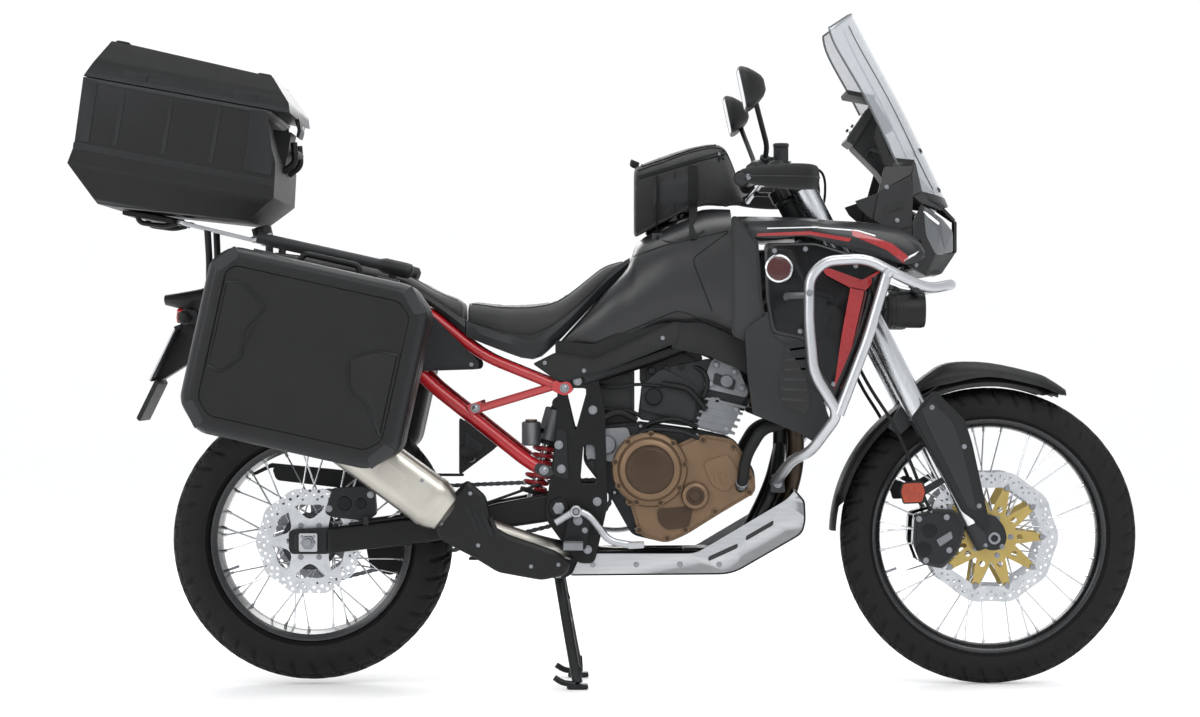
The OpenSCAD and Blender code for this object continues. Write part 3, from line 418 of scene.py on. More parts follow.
def wheel(name, node, body, c, bead, rin, w, hub, n, flange, fy, hole, ends):
    b = MB()
    hw = w / 2
    prof = [(bead + 4, -hw), (bead + 5, -hw + 3), (bead, -hw + 6), (bead - 6, -hw + 14), (bead - 9, -hw * 0.3), (bead - 9, hw * 0.3), (bead - 6, hw - 14), (bead, hw - 6), (bead + 5, hw - 3), (bead + 4, hw),
            (bead - 2, hw - 1), (rin + 7, hw - 5), (rin + 2, hw * 0.42), (rin, hw * 0.18), (rin, -hw * 0.18), (rin + 2, -hw * 0.42), (rin + 7, -hw + 5), (bead - 2, -hw + 1)]
    b.rev(prof, c, "rim_black", 120, closed=True)
    def wp(r, a, y): return V3((c[0] + r * math.cos(math.radians(a)), c[1] + y, c[2] + r * math.sin(math.radians(a))))
    for i in range(n):
        a = i * 360.0 / n; s_ = 1 if i % 2 == 0 else -1; k = 1 if (i // 2) % 2 == 0 else -1
        p0 = wp(flange - 5, a + k * 46, s_ * fy + (2 if (i // 2) % 2 else -2)); p1 = wp(rin + 6, a + k * 2.0, s_ * hw * 0.16)
        b.cyl(p0, p1, 2.0, "spoke_steel", 8)
        d = unit(p0 - p1)
        b.cyl(p1 - d * 2, p1 + d * 15, 3.6, "spoke_steel", 8)
        b.cyl(p0 - V3((0, 3, 0)), p0 + V3((0, 3, 0)), 3.0, "spoke_steel", 8)
    y0, y1 = ends
    hp = [(hole, y0), (hub, y0), (hub, y0 + 6), (hub - 6, y0 + 14), (hub - 6, -fy - 8), (hub, -fy - 5), (flange, -fy - 4), (flange, -fy + 4), (hub - 2, -fy + 7), (hub - 7, 0), (hub - 2, fy - 7), (flange, fy - 4), (flange, fy + 4), (hub, fy + 5), (hub - 6, fy + 8), (hub - 6, y1 - 14), (hub, y1 - 6), (hub, y1), (hole, y1)]
    b.rev(hp, c, "hub_black", 48, closed=True)
    for k in range(12):
        for sy in (-1, 1):
            q = wp(flange - 11, k * 30 + 7, sy * (fy + 4.1))
            b.cyl(q, q + V3((0, sy * 0.8, 0)), 2.6, "cast_dark", 10)
    # valve
    q = wp(rin + 2, 200, 6); b.cyl(q, wp(rin - 26, 200, 8), 3.2, "steel_bolt", 10)
    return b.obj(name, body, SLOT_OF[node], (node,), ang=40)
wheel("front_wheel_spoked", "front_rim", "front_wheel", FA, 268, 252, 62, 28, 36, 40, 30, 10.1, (-62, 62))
wheel("rear_wheel_spoked", "rear_rim", "rear_wheel", RA, 229, 211, 112, 42, 36, 56, 38, 12.7, (-86, 84))

def circle(cx, cz, r, n=14, a0=0): return [(cx + r * math.cos(a0 + 2 * math.pi * i / n), cz + r * math.sin(a0 + 2 * math.pi * i / n)) for i in range(n)]
def wave(cx, cz, r, amp, waves, n=180):
    return [(cx + (r - amp + amp * math.cos(waves * 2 * math.pi * i / n)) * math.cos(2 * math.pi * i / n), cz + (r - amp + amp * math.cos(waves * 2 * math.pi * i / n)) * math.sin(2 * math.pi * i / n)) for i in range(n)]
def rotor(b, c, r, rin, waves, y0, y1, rows, m="disc_steel"):
    holes = [wave(c[0], c[2], rin, 2.2, waves, 120)[::-1]]
    for k, (rr, cnt, hr, off) in enumerate(rows):
        for i in range(cnt):
            a = math.radians(i * 360.0 / cnt + off)
            holes.append(circle(c[0] + rr * math.cos(a), c[2] + rr * math.sin(a), hr, 10))
    b.plate(wave(c[0], c[2], r, 3.0, waves), holes, y0, y1, m)
b = MB()
for sy in (-1, 1):
    y0, y1 = (66.5, 71) if sy > 0 else (-71, -66.5)
    rotor(b, FA, 155, 118, 10, y0, y1, [(149 - 7, 40, 3.6, 0), (134, 40, 3.6, 4.5), (126, 20, 3.0, 0)])
    # gold spider carrier, ten arms with floating bobbins
    arms = []
    n = 10
    for i in range(n):
        a = i * 36.0
        for da, rr in ((-15, 60), (-10.5, 78), (-4.6, 108), (-3.6, 121), (3.6, 121), (4.6, 108), (10.5, 78), (15, 60)):
            t = math.radians(a + da); arms.append((FA[0] + rr * math.cos(t), FA[2] + rr * math.sin(t)))
    holes = [circle(FA[0], FA[2], 30, 40)] + [circle(FA[0] + 66 * math.cos(math.radians(i * 36)), FA[2] + 66 * math.sin(math.radians(i * 36)), 7.0, 12) for i in range(10)]
    yy = (62.6, 67.5) if sy > 0 else (-67.5, -62.6)
    b.plate(arms, holes, yy[0], yy[1], "gold")
    for i in range(n):
        t = math.radians(i * 36.0)
        q = V3((FA[0] + 118 * math.cos(t), sy * 66, FA[2] + 118 * math.sin(t)))
        b.cyl(q, q + V3((0, sy * 6.5, 0)), 7.0, "steel_bolt", 16, bev=1)
        q = V3((FA[0] + 45 * math.cos(t), sy * 67, FA[2] + 45 * math.sin(t)))
        if i % 2 == 0: b.bolt(q, (0, sy, 0), 5.0, h=3.6)
    b.rev([(15.4, sy * 62.2), (34, sy * 62.2), (34, sy * 66), (15.4, sy * 66)], FA, "hub_black", 40, closed=True)
b.obj("front_brake_discs", "front_wheel", SLOT_OF["front_discs"], ("front_discs",), bevel=0)
b = MB()
rotor(b, RA, 125, 88, 10, -91, -86.5, [(117, 36, 3.6, 0), (107, 36, 3.6, 5), (98, 18, 3.0, 0)])
n = 6; arms = []
for i in range(n):
    a = i * 60.0
    for da, rr in ((-30, 52), (-20, 56), (-8, 78), (-5, 93), (5, 93), (8, 78), (20, 56)):
        t = math.radians(a + da); arms.append((RA[0] + rr * math.cos(t), RA[2] + rr * math.sin(t)))
b.plate(arms, [circle(RA[0], RA[2], 21, 32)], -90.5, -86.2, "disc_steel")
for i in range(6):
    t = math.radians(i * 60); b.bolt((RA[0] + 42 * math.cos(t), -90.3, RA[2] + 42 * math.sin(t)), (0, -1, 0), 5, h=1.6)
b.rev([(62, -86.3), (66, -86.3), (66, -84), (44, -80), (42, -86)], RA, "hub_black", 48)
b.obj("rear_brake_disc", "rear_wheel", SLOT_OF["rear_disc"], ("rear_disc",))
b = MB()
teeth = []
for i in range(42):
    for f, rr in ((0.0, 96.5), (0.22, 97.5), (0.42, 101), (0.58, 101), (0.78, 97.5)):
        t = 2 * math.pi * (i + f) / 42; teeth.append((RA[0] + rr * math.cos(t), RA[2] + rr * math.sin(t)))
hl = [circle(RA[0], RA[2], 21, 32)]
for i in range(6):
    a = math.radians(i * 60); hl.append(fillet([(RA[0] + r * math.cos(a + d), RA[2] + r * math.sin(a + d)) for r, d in ((58, -0.3), (82, -0.34), (82, 0.34), (58, 0.3))], 8, 4, True))
b.plate(teeth, hl, 85, 91, "steel_bolt")
for i in range(6):
    a = math.radians(i * 60 + 30); b.bolt((RA[0] + 52 * math.cos(a), 91, RA[2] + 52 * math.sin(a)), (0, 1, 0), 6, h=3)
b.rev([(21, 84), (60, 84), (60, 86), (21, 86)], RA, "hub_black", 40, closed=True)
b.obj("chain_sprocket", "rear_wheel", SLOT_OF["rear_sprocket"], ("rear_sprocket",))

# ---------------------------------------------------------------- luggage
def place(o, tilt):
    """Local case axes to the object's frame, in millimetres."""
    a = math.radians(tilt)
    return Matrix(((math.cos(a), 0, math.sin(a), o[0]), (0, 1, 0, o[1]), (-math.sin(a), 0, math.cos(a), o[2]), (0, 0, 0, 1)))
PAN = [(-248, 168), (-206, 208), (196, 208), (248, 158), (248, -158), (190, -208), (-194, -208), (-248, -150)]
def ring_at(pts, d, y, rad, k=5):
    return [(p[0], y, p[1]) for p in fillet(inset(pts, d), rad, k, True)]
def ribbon(b, pts, w, y, h, m, sgn=-1):
    """A raised rib with a pointed back along a line in x, z, standing on the face y."""
    P = [V3(p) for p in pts]; R = []
    for i, p in enumerate(P):
        t = unit(P[min(i + 1, len(P) - 1)] - P[max(i - 1, 0)]); nrm = np.array([-t[1], t[0]])
        a, c_ = p - nrm * w / 2, p + nrm * w / 2
        R.append([(a[0], y, a[1]), (p[0] - nrm[0] * w * .2, y + sgn * h, p[1] - nrm[1] * w * .2), (p[0] + nrm[0] * w * .2, y + sgn * h, p[1] + nrm[1] * w * .2), (c_[0], y, c_[1])])
    b.grid(R, m, cap=True)
def pannier_lid(name, node, body, side):
    b = MB(); s_ = -1
    R = [ring_at(PAN, 5, -431.5, 22), ring_at(PAN, 0.6, -433, 22), ring_at(PAN, 0, -440, 22), ring_at(PAN, 0, -462, 22), ring_at(PAN, 5, -476, 20), ring_at(PAN, 13, -485, 18), ring_at(PAN, 22, -488.6, 16), ring_at(PAN, 40, -488.6, 14)]
    b.grid(R, "luggage_smooth", cap=False)
    R = [ring_at(PAN, 40, -488.6, 14), ring_at(PAN, 43, -484.0, 13), ring_at(PAN, 46, -483.2, 12)]
    b.grid(R, "luggage_smooth", cap=False)
    f = ring_at(PAN, 46, -483.2, 12); b.add(f, [list(range(len(f)))], "luggage_panel", False)
    # raised end fields with a stepped edge, and the ribs round them
    L = [(-201, 110), (-176, 112), (-112, 95), (-131, 30), (-136, -36), (-201, -52)]
    Rr = [(201, -112), (176, -134), (122, -110), (128, -40), (146, 22), (201, 30)]
    L = [(-200, 128), (-168, 134), (-106, 92), (-138, 38), (-136, -28), (-170, -66), (-200, -60)]
    Rr = [(200, 52), (150, 50), (98, 20), (112, -42), (160, -70), (200, -128)]
    for F in (L, Rr):
        P = fillet(F, 7, 3, True)
        b.grid([[(p[0], -483.0, p[1]) for p in P], [(p[0], -486.4, p[1]) for p in fillet(inset(F, 2.2), 6, 3, True)], [(p[0], -486.8, p[1]) for p in fillet(inset(F, 3.4), 6, 3, True)]], "luggage_panel", cap=True)
    ribbon(b, fillet([(-200, 128), (-168, 134), (-106, 92), (-138, 38), (-136, -28), (-170, -66), (-200, -60)], 8, 4), 5, -486.4, 2.0, "luggage_smooth")
    ribbon(b, fillet([(200, 52), (150, 50), (98, 20), (112, -42), (160, -70), (200, -128)], 8, 4), 5, -486.4, 2.0, "luggage_smooth")
    # corner guards
    for cx, cz in ((-224, 186), (222, 184), (222, -182), (-222, -178)):
        t = math.atan2(cz, cx); e = (-math.sin(t), math.cos(t))
        q = [(cx * 0.985 - e[0] * 34 , cz * 0.985 - e[1] * 34), (cx * 0.985 + e[0] * 34, cz * 0.985 + e[1] * 34), (cx * 0.90 + e[0] * 26, cz * 0.90 + e[1] * 26), (cx * 0.90 - e[0] * 26, cz * 0.90 - e[1] * 26)]
        b.prism(q, -489.2, -476, "luggage_smooth", round_=6)
    # inside of the lid
    b.grid([ring_at(PAN, 5, -431.5, 20), ring_at(PAN, 7, -432, 20), ring_at(PAN, 8, -470, 18), ring_at(PAN, 22, -480, 16)], "plastic_black", cap=False)
    f = ring_at(PAN, 22, -480, 16); b.add(f, [list(range(len(f)))], "plastic_black", False)
    b.xform(place((-672, 0, 758), 12.5))
    if side > 0: b.v = [(x, -y, z) for x, y, z in b.v]
    return b.obj(name, body, SLOT_OF[node], (node,), bevel=1.2, ang=40)
pannier_lid("right_case_lid", "right_pannier_lid", "right_pannier_lid", -1)
pannier_lid("left_case_lid", "left_pannier_lid", "left_pannier_lid", 1)
b = MB()
R = [ring_at(PAN, 26, -250.3, 12), ring_at(PAN, 14, -252, 16), ring_at(PAN, 3, -262, 20), ring_at(PAN, 0, -276, 22), ring_at(PAN, 0, -395, 22), ring_at(PAN, 3.0, -398, 22), ring_at(PAN, 3.0, -412, 22), ring_at(PAN, 0, -415, 22), ring_at(PAN, 0, -427, 22), ring_at(PAN, 1.5, -428.7, 22), ring_at(PAN, 5, -428.7, 20)]
b.grid(R, "luggage_grain", cap=False)
f = ring_at(PAN, 26, -250.3, 12); b.add(f, [list(range(len(f)))], "luggage_grain", False)
b.grid([ring_at(PAN, 5, -428.7, 20), ring_at(PAN, 6, -427, 20), ring_at(PAN, 8, -262, 18)], "plastic_black", cap=False)
f = ring_at(PAN, 8, -262, 18); b.add(f, [list(range(len(f)))], "plastic_black", False)
for x in (-170, -85, 0, 85, 170):
    b.prism([(x - 5, 150), (x + 5, 150), (x + 5, -150), (x - 5, -150)], -251.2, -248.6 , "luggage_smooth")
# carrying handle and catches on the top edge
b.tube(fillet([(-70, -330, 206), (-62, -330, 226), (62, -330, 226), (70, -330, 206)], 12, 5), 7, "rubber", 12)
for x in (-140, 140):
    b.box((x - 24, -428, 202), (x + 24, -404, 212.5), "luggage_smooth")
b.xform(place((-672, 0, 758), 12.5)); b.mirror()
b.obj("side_case_shells", "chassis", SLOT_OF["pannier_bodies"], ("pannier_bodies",), bevel=1.0, ang=40)

CASE_O = (-975.5, 0, 1085)
def hull_ring(side, w, y, d):
    return [(p[0], y, p[1]) for p in fillet(inset(side, d), 10, 4, True)]
BODY = [(-268, 68), (-260, 111), (-267, 266), (161, 266), (150, 251), (195, 152), (205, 74), (152, 13), (-151, -9), (-192, -10)]
LID = [(-267, 268.5), (-225, 360), (152, 343), (200, 291), (207, 268.5)]
def clip_prism(side, w, front, name):
    """The case solid: its side outline met with its front outline, with rounded edges."""
    a = MB(); a.prism(side, -w, w, "luggage_smooth")
    c = MB()
    P = fillet(front, 16, 4, True)
    c.grid([[(x, p[0], p[1]) for p in P] for x in (-420, 420)], "luggage_smooth")
    objs = []
    for k, q in enumerate((a, c)):
        me = bpy.data.meshes.new("tmp%d" % k); me.from_pydata(q.v, [], q.f); me.update()
        bm = bmesh.new(); bm.from_mesh(me); bmesh.ops.recalc_face_normals(bm, faces=bm.faces); bm.to_mesh(me); bm.free()
        o = bpy.data.objects.new("tmp%d" % k, me); scene.collection.objects.link(o); objs.append(o)
    md = objs[0].modifiers.new("b", 'BOOLEAN'); md.operation = 'INTERSECT'; md.object = objs[1]; md.solver = 'EXACT'
    dg = bpy.context.evaluated_depsgraph_get(); ev = objs[0].evaluated_get(dg); me = bpy.data.meshes.new_from_object(ev)
    V = [tuple(v.co) for v in me.vertices]; F = [list(p.vertices) for p in me.polygons]
    for o in objs: bpy.data.objects.remove(o)
    return V, F
def case_front(w): return [(-w + 46, -12), (w - 46, -12), (w, 62), (w, 300), (w - 50, 372), (-w + 50, 372), (-w, 300), (-w, 62)]
V, F = clip_prism(BODY, 250, case_front(250), "body")
b = MB(); b.add(V, F, "luggage_grain", False)
# belt moulding, ribs, catch plate and corner blocks
for sy in (-1, 1):
    y = sy * 250
    b.prism(fillet([(-262, 118), (-262, 104), (192, 98), (200, 88), (203, 96), (194, 112)], 3, 3, True), min(y, y + sy * 0.8), max(y, y + sy * 0.8), "luggage_smooth")
    for x in (-170, -60, 50, 130):
        b.prism([(x - 4, 250), (x + 4, 250), (x + 5, 126), (x - 5, 126)], min(y, y + sy * 1.6), max(y, y + sy * 1.6), "luggage_smooth", round_=2)
    b.prism([(-265, 262), (-232, 262), (-228, 122), (-258, 122)], min(y, y + sy * 2.2), max(y, y + sy * 2.2), "luggage_smooth", round_=6)
    b.prism([(118, 262), (156, 262), (188, 160), (190, 122), (130, 122)], min(y, y + sy * 2.2), max(y, y + sy * 2.2), "luggage_smooth", round_=6)
b.box((-262, -252, 258), (158, 252, 266), "luggage_smooth")
b.box((150, -60, 150), (198, 60, 236), "plastic_black")
b.tube(fillet([(196, -64, 142), (220, -64, 168), (208, -64, 214)], 14, 5), 8, "plastic_black", 12)
b.tube(fillet([(196, 64, 142), (220, 64, 168), (208, 64, 214)], 14, 5), 8, "plastic_black", 12)
b.tube([(214, -66, 190), (214, 66, 190)], 9, "rubber", 14)
for sy in (-1, 1):
    b.cyl((-275, sy * 62, 267), (-275, sy * 122, 267), 6, "plastic_black", 16)
b.cyl((-275, -92, 267), (-275, 92, 267), 2.5, "steel_bolt", 12)
b.xform(place(CASE_O, 10.3))
b.obj("top_case_shell", "chassis", SLOT_OF["top_case_body"], ("top_case_body",), bevel=4.0, seg=3, ang=28)
V, F = clip_prism(LID, 250, case_front(250), "lid")
b = MB(); b.add(V, F, "luggage_smooth", False)
b.box((-262, -252, 268.8), (204, 252, 278), "luggage_grain")
# light top panel between two ribs, and recessed tie-down openings at the ends
def on_top(x): return 360 - (x + 225) * 17.0 / 377.0
def top_prism(x0, x1, y0, y1, h0, h1, m, round_=6):
    P = fillet([(x0, y0), (x1, y0), (x1, y1), (x0, y1)], round_, 3, True)
    b.grid([[(p[0], p[1], on_top(p[0]) + h) for p in P] for h in (h0, h1)], m, smooth=False)
top_prism(-196, 120, -176, 176, -3, 1.0, "top_panel")
for y in (-188, 188): top_prism(-210, 140, y - 9, y + 9, -4, 2.4, "luggage_smooth", 5)
for y in (-110, -55, 0, 55, 110): top_prism(-190, 112, y - 2, y + 2, 0, 2.2, "luggage_grain", 2)
for x0, x1 in ((-222, -200), (126, 148)):
    for y in (-150, 150): top_prism(x0, x1, y - 44, y + 44, -2, 1.4, "gloss_black", 6)
for sy in (-1, 1):
    for x in (-200, 130):
        b.tube(fillet([(x - 16, sy * 196, on_top(x) - 6), (x - 14, sy * 200, on_top(x) + 2), (x + 14, sy * 200, on_top(x) + 2), (x + 16, sy * 196, on_top(x) - 6)], 6, 4), 4, "plastic_black", 10)
    y = sy * 250
    for x in (-150, 100): b.prism([(x - 28, 296), (x + 28, 296), (x + 24, 276), (x - 24, 276)], min(y, y + sy * 2.2), max(y, y + sy * 2.2), "luggage_smooth", round_=4)
b.prism(fillet([(198, 276), (208, 272), (217, 246), (216, 228), (209, 228), (209, 246), (200, 262)], 3, 3, True), -46, 46, "plastic_black")
b.cyl((212, 0, 250), (219, 0, 247), 8, "steel_bolt", 18, bev=1)
b.cyl((-275, -59, 267), (-275, 59, 267), 6, "plastic_black", 16)
b.prism([(-276, 269), (-262, 269), (-258, 288), (-276, 276)], -58, 58, "plastic_black")
b.xform(place(CASE_O, 10.3))
b.obj("top_case_cover", "top_case_lid", SLOT_OF["top_case_lid"], ("top_case_lid",), bevel=4.0, seg=3, ang=28)

# ---------------------------------------------------------------- tubes: bars, frame, racks
def both(b): return b.mirror()
def gusset(b, p, d, r, m="steel_bolt"): b.bolt(p, d, r, m)
b = MB()
main = [[378, -112, 470], [413, -205, 528], [451, -250, 546], [513, -286, 633], [456, -290, 725], [446, -290, 839], [447, -290, 940], [482, -290, 977], [575, -288, 983], [633, -284, 952], [716, -262, 914], [776, -214, 926], [776, 0, 926]]
b.tube(fillet(main, [0, 34, 30, 26, 30, 30, 30, 26, 40, 36, 36, 60, 0], 8), 12.2, "silver_paint", 18)
b.tube(fillet([[622, -284, 950], [577, -288, 800], [513, -286, 632]], 30, 6), 12.2, "silver_paint", 18)
b.tube([[447, -290, 900], [400, -232, 900], [392, -142, 860], [330, -108, 853]], 8, "silver_paint", 12)
for p, d in (((447, -303, 905), (0, -1, 0)), ((393, -150, 862), (0, -1, 0.2))): b.bolt(p, d, 6)
b.prism([(372, 492), (398, 492), (402, 450), (368, 450)], -128, -112, "frame_paint", round_=6)
b.bolt((385, -128, 470), (0, -1, 0), 7)
b.tube([(618, -286, 946), (628, -286, 956)], 15, "silver_paint", 16)
b.mirror()
b.obj("crash_bar_loops", "chassis", SLOT_OF["crash_bars"], ("crash_bars",))

b = MB()
b.tube(fillet([[-110, -130, 690], [-297, -130, 766], [-440, -130, 882], [-830, -130, 915]], 50, 6), 12.5, "red_frame", 18)
b.tube(fillet([[-150, -130, 498], [-196, -130, 526], [-436, -130, 717], [-560, -130, 893]], [0, 20, 60, 0], 6), 15, "red_frame", 18)
b.tube([[-313, -130, 639], [-118, -130, 698]], 9.5, "red_frame", 14)
b.tube([[-436, -130, 717], [-372, -130, 826]], 10, "red_frame", 14)
b.prism([(-130, 708), (-92, 704), (-84, 684), (-104, 672), (-134, 684)], -148, -141, "red_frame", round_=8)
b.prism([(-168, 520), (-138, 512), (-128, 492), (-150, 484), (-176, 500)], -148, -141, "frame_paint", round_=8)
b.prism([(-330, 650), (-296, 662), (-296, 640), (-318, 626)], -146, -140, "red_frame", round_=6)
for p in ((-105, -147, 690), (-152, -147, 502), (-309, -145, 644)): b.bolt(p, (0, -1, 0), 8)
b.mirror()
for x, z in ((-440, 882), (-700, 904)): b.tube([[x, -130, z], [x, 130, z]], 9, "red_frame", 12)
b.obj("rear_subframe", "chassis", SLOT_OF["subframe"], ("subframe",), ang=50)

b = MB()
SO = (832.1, 0, 319.6)
ra = math.radians(-27)
STEER = Matrix(((math.cos(ra), 0, math.sin(ra), SO[0]), (0, 1, 0, 0), (-math.sin(ra), 0, math.cos(ra), SO[2]), (0, 0, 0, 1)))
b.cyl((0, 0, 733), (0, 0, 913), 34, "frame_paint", 40)
b.cyl((0, 0, 733), (0, 0, 745), 37, "frame_paint", 40, bev=2); b.cyl((0, 0, 901), (0, 0, 913), 37, "frame_paint", 40, bev=2)
b.xform(STEER); k0 = len(b.v)
side = MB()
side.tube(fillet([[451, -22, 1023], [300, -100, 842], [100, -122, 762], [-60, -130, 712]], 80, 8), 18, "frame_paint", 18)
side.tube(fillet([[398, 0, 560], [378, -105, 455], [300, -105, 302], [-60, -105, 300]], 60, 8), 15, "frame_paint", 18)
side.plate(fillet([(-119, 721), (-31, 728), (-12, 640), (-6, 420), (-36, 288), (-75, 288), (-150, 392), (-140, 470), (-128, 560)], 16, 5, True),
           [fillet([(-104, 690), (-52, 690), (-80, 590)], 12, 5, True)[::-1], circle(-118, 415, 19, 28), fillet([(-62, 560), (-36, 560), (-30, 470), (-70, 470)], 10, 4, True)], -140, -120, "frame_paint")
side.prism(fillet([(-122, 600), (-100, 590), (-96, 480), (-132, 490)], 8, 4, True), -146, -139, "frame_paint")
for p in ((-75, -140, 706), (-40, -140, 640), (-30, -140, 430), (-52, -140, 320), (-118, -147, 560), (-112, -147, 505)): side.bolt(p, (0, -1, 0), 7.5)
side.cyl((-118, -150, 415), (-118, -140, 415), 24, "frame_paint", 32, bev=2)
side.cyl((-118, -154, 415), (-118, -149, 415), 15, "steel_bolt", 6, bev=1.5)
side.prism([(-40, 288), (-40, 310), (-90, 296), (-134, 268), (-132, 252), (-108, 250)], -106, -96.5, "frame_paint")
side.cyl((-120, -110, 262), (-120, -96.5, 262), 11, "steel_bolt", 6, bev=1)
side.mirror()
b.v += side.v
o = k0
for f, m_, q in zip(side.f, side.m, side.sm): b.f.append([i + o for i in f]); b.m.append(b.mi(side.mats[m_])); b.sm.append(q)
b.tube(fillet([[453, 0, 996], [404, 0, 880], [398, 0, 545]], 60, 8), 18, "frame_paint", 20)
b.tube([[-120, -125, 655], [-120, 125, 655]], 14, "frame_paint", 16)
b.cyl((-120, -97, 262), (-120, 97, 262), 8, "steel_bolt", 16)
b.prism([(-85, 292), (-40, 292), (-30, 262), (-48, 262), (-76, 274)], 120, 166, "frame_paint")
b.cyl((-60, 120, 280), (-60, 168.4, 280), 14, "frame_paint", 24, bev=1.5)
b.cyl((-60, 168, 280), (-60, 188, 280), 6, "steel_bolt", 16); b.bolt((-60, 184, 280), (0, 1, 0), 8)
b.obj("frame_cradle", "chassis", SLOT_OF["main_frame"], ("main_frame",), bevel=1.2, ang=45)

b = MB()
b.tube(fillet([[-808, -150, 1036], [-520, -150, 972]], 10), 12.5, "plastic_black", 18)
b.tube([[-530, -150, 974], [-516, -150, 971], [-470, -150, 960], [-458, -150, 957], [-452, -150, 955]], [12.5, 17.5, 18, 17, 8], "plastic_black", 20)
b.tube(fillet([[-500, -150, 966], [-498, -142, 930], [-500, -132, 886]], 20), 9, "plastic_black", 12)
b.tube(fillet([[-780, -150, 1028], [-782, -142, 980], [-780, -132, 912]], 30), 9, "plastic_black", 12)
for x, z in ((-500, 966), (-780, 1029)): b.bolt((x, -150, z + 12), (0, 0, 1), 6)
b.mirror()
b.obj("pillion_grab_bars", "chassis", SLOT_OF["grab_rails"], ("grab_rails",))

b = MB()
M1 = Matrix.Translation(Vector((-904, 0, 1051))) @ Matrix.Rotation(math.radians(13.6), 4, 'Y')
# carrier plate with rounded openings, drawn flat in x, y and then tilted
q = MB()
q.plate(fillet([(-100, -105), (100, -105), (100, 105), (-100, 105)], 22, 5, True), [fillet([(-70, y - 15), (70, y - 15), (70, y + 15), (-70, y + 15)], 12, 4, True)[::-1] for y in (-60, 0, 60)], -4, 4, "aluminium")
q.v = [(x, z, -y) for x, y, z in q.v]
for x in (-88, 88):
    for y in (-90, 90): q.bolt((x, y, 4), (0, 0, 1), 6)
q.xform(M1)
b.v += q.v
for f, m_, s_ in zip(q.f, q.m, q.sm): b.f.append(f); b.m.append(b.mi(q.mats[m_])); b.sm.append(s_)
s2 = MB()
s2.tube([[-822, -104, 1032], [-800, -148, 1034]], 8, "aluminium", 12)
s2.tube(fillet([[-930, -88, 1056], [-926, -80, 980], [-930, -60, 905]], 30), 8, "frame_paint", 12)
s2.tube(fillet([[-990, -80, 1072], [-1060, -82, 1088], [-1110, -80, 1094], [-1112, -30, 1094], [-1112, 0, 1094]], 16), 7, "frame_paint", 14)
s2.tube(fillet([[-1000, -84, 1070], [-1030, -84, 1064], [-1087, -84, 1072], [-1094, -84, 1092]], 12), 6, "frame_paint", 12)
s2.tube([[-860, -240, 900], [-470, -240, 816]], 8.5, "frame_paint", 14)
s2.tube([[-780, -238, 884], [-780, -142, 910]], 7.5, "frame_paint", 12)
s2.tube([[-500, -238, 824], [-470, -142, 880]], 7.5, "frame_paint", 12)
s2.mirror()
o = len(b.v); b.v += s2.v
for f, m_, s_ in zip(s2.f, s2.m, s2.sm): b.f.append([i + o for i in f]); b.m.append(b.mi(s2.mats[m_])); b.sm.append(s_)
o = len(b.v)
b.prism([(-150, -22), (-30, -22), (-30, -10.6), (-150, -10.6)], -90, 90, "plastic_black", round_=4)
b.xform(place(CASE_O, 10.3), o)
b.cyl((-806, 0, 1030), (-814, 0, 1066), 22, "plastic_black", 24, bev=4)
for i in range(8):
    a = math.radians(i * 45); b.cyl((-808 + 22 * math.cos(a), 22 * math.sin(a), 1036 - 5 * math.cos(a)), (-813 + 22 * math.cos(a), 22 * math.sin(a), 1056 - 5 * math.cos(a)), 3, "plastic_black", 8)
b.obj("rear_rack", "chassis", SLOT_OF["luggage_rack"], ("luggage_rack",), bevel=1.0, ang=45)

# ---------------------------------------------------------------- engine, exhaust, skid plate
b = MB()
ES = [(-60, 600), (-62, 520), (0, 440), (50, 352), (130, 333), (175, 353), (250, 400), (335, 450), (332, 500), (285, 574), (208, 591.5), (60, 611.5)]
b.prism(ES, -110, 110, "cast_dark", round_=14)
for sy in (-1, 1):
    y = sy * 118
    b.prism(inset(ES, 7), min(y, sy * 109), max(y, sy * 109), "cast_dark", round_=14)
    for p in ((-50, 590), (-50, 530), (10, 450), (60, 366), (128, 345), (240, 408), (322, 456), (322, 498), (280, 562), (200, 582), (70, 602)):
        b.cyl((p[0], sy * 112, p[1]), (p[0], sy * 119.5, p[1]), 8, "cast_dark", 16, bev=1); b.bolt((p[0], sy * 117.5, p[1]), (0, sy, 0), 4.4, h=0.5 + 1.9)
# gearbox and starter area on the right, breather hoses and sensors
b.prism([(-56, 594), (40, 600), (56, 548), (10, 520), (-56, 530)], -128, -112, "cast_grey", round_=10)
b.cyl((-8, -138, 560), (-8, -112, 560), 22, "cast_grey", 28, bev=3)
b.tube(fillet([(60, -124, 616), (20, -134, 640), (-20, -132, 620), (-30, -126, 590)], 24, 6), 8, "rubber", 12)
b.tube(fillet([(200, -124, 600), (150, -140, 622), (90, -138, 610), (70, -124, 590)], 24, 6), 6, "rubber", 12)
b.cyl((250, -124, 440), (262, -140, 420), 13, "cast_dark", 24, bev=2)
for i in range(9):
    x = 60 + i * 26; b.prism([(x - 2, 590), (x + 2, 590), (x + 2 + i, 440), (x - 2 + i, 440)], 116, 121, "cast_dark")
b.prism([(-56, 596), (-56, 700), (-30, 728), (56, 738), (56, 596)], -98, 98, "cast_dark", round_=12)
b.prism([(-44, 612), (-44, 690), (-24, 714), (46, 722), (46, 612)], -104, -96, "plastic_black", round_=10)
b.prism([(70, 748), (70, 700), (110, 690), (200, 700), (214, 764), (176, 784), (96, 772)], -96, 96, "plastic_black", round_=8)
b.prism([(84, 744), (84, 708), (150, 700), (192, 708), (200, 752), (168, 770), (104, 762)], -104, -95, "rubber", round_=8)
for k in range(3): b.cyl((96 + k * 34, -104, 730 + k * 4), (96 + k * 34, -109, 730 + k * 4), 9, "cast_dark", 20, bev=1.5)
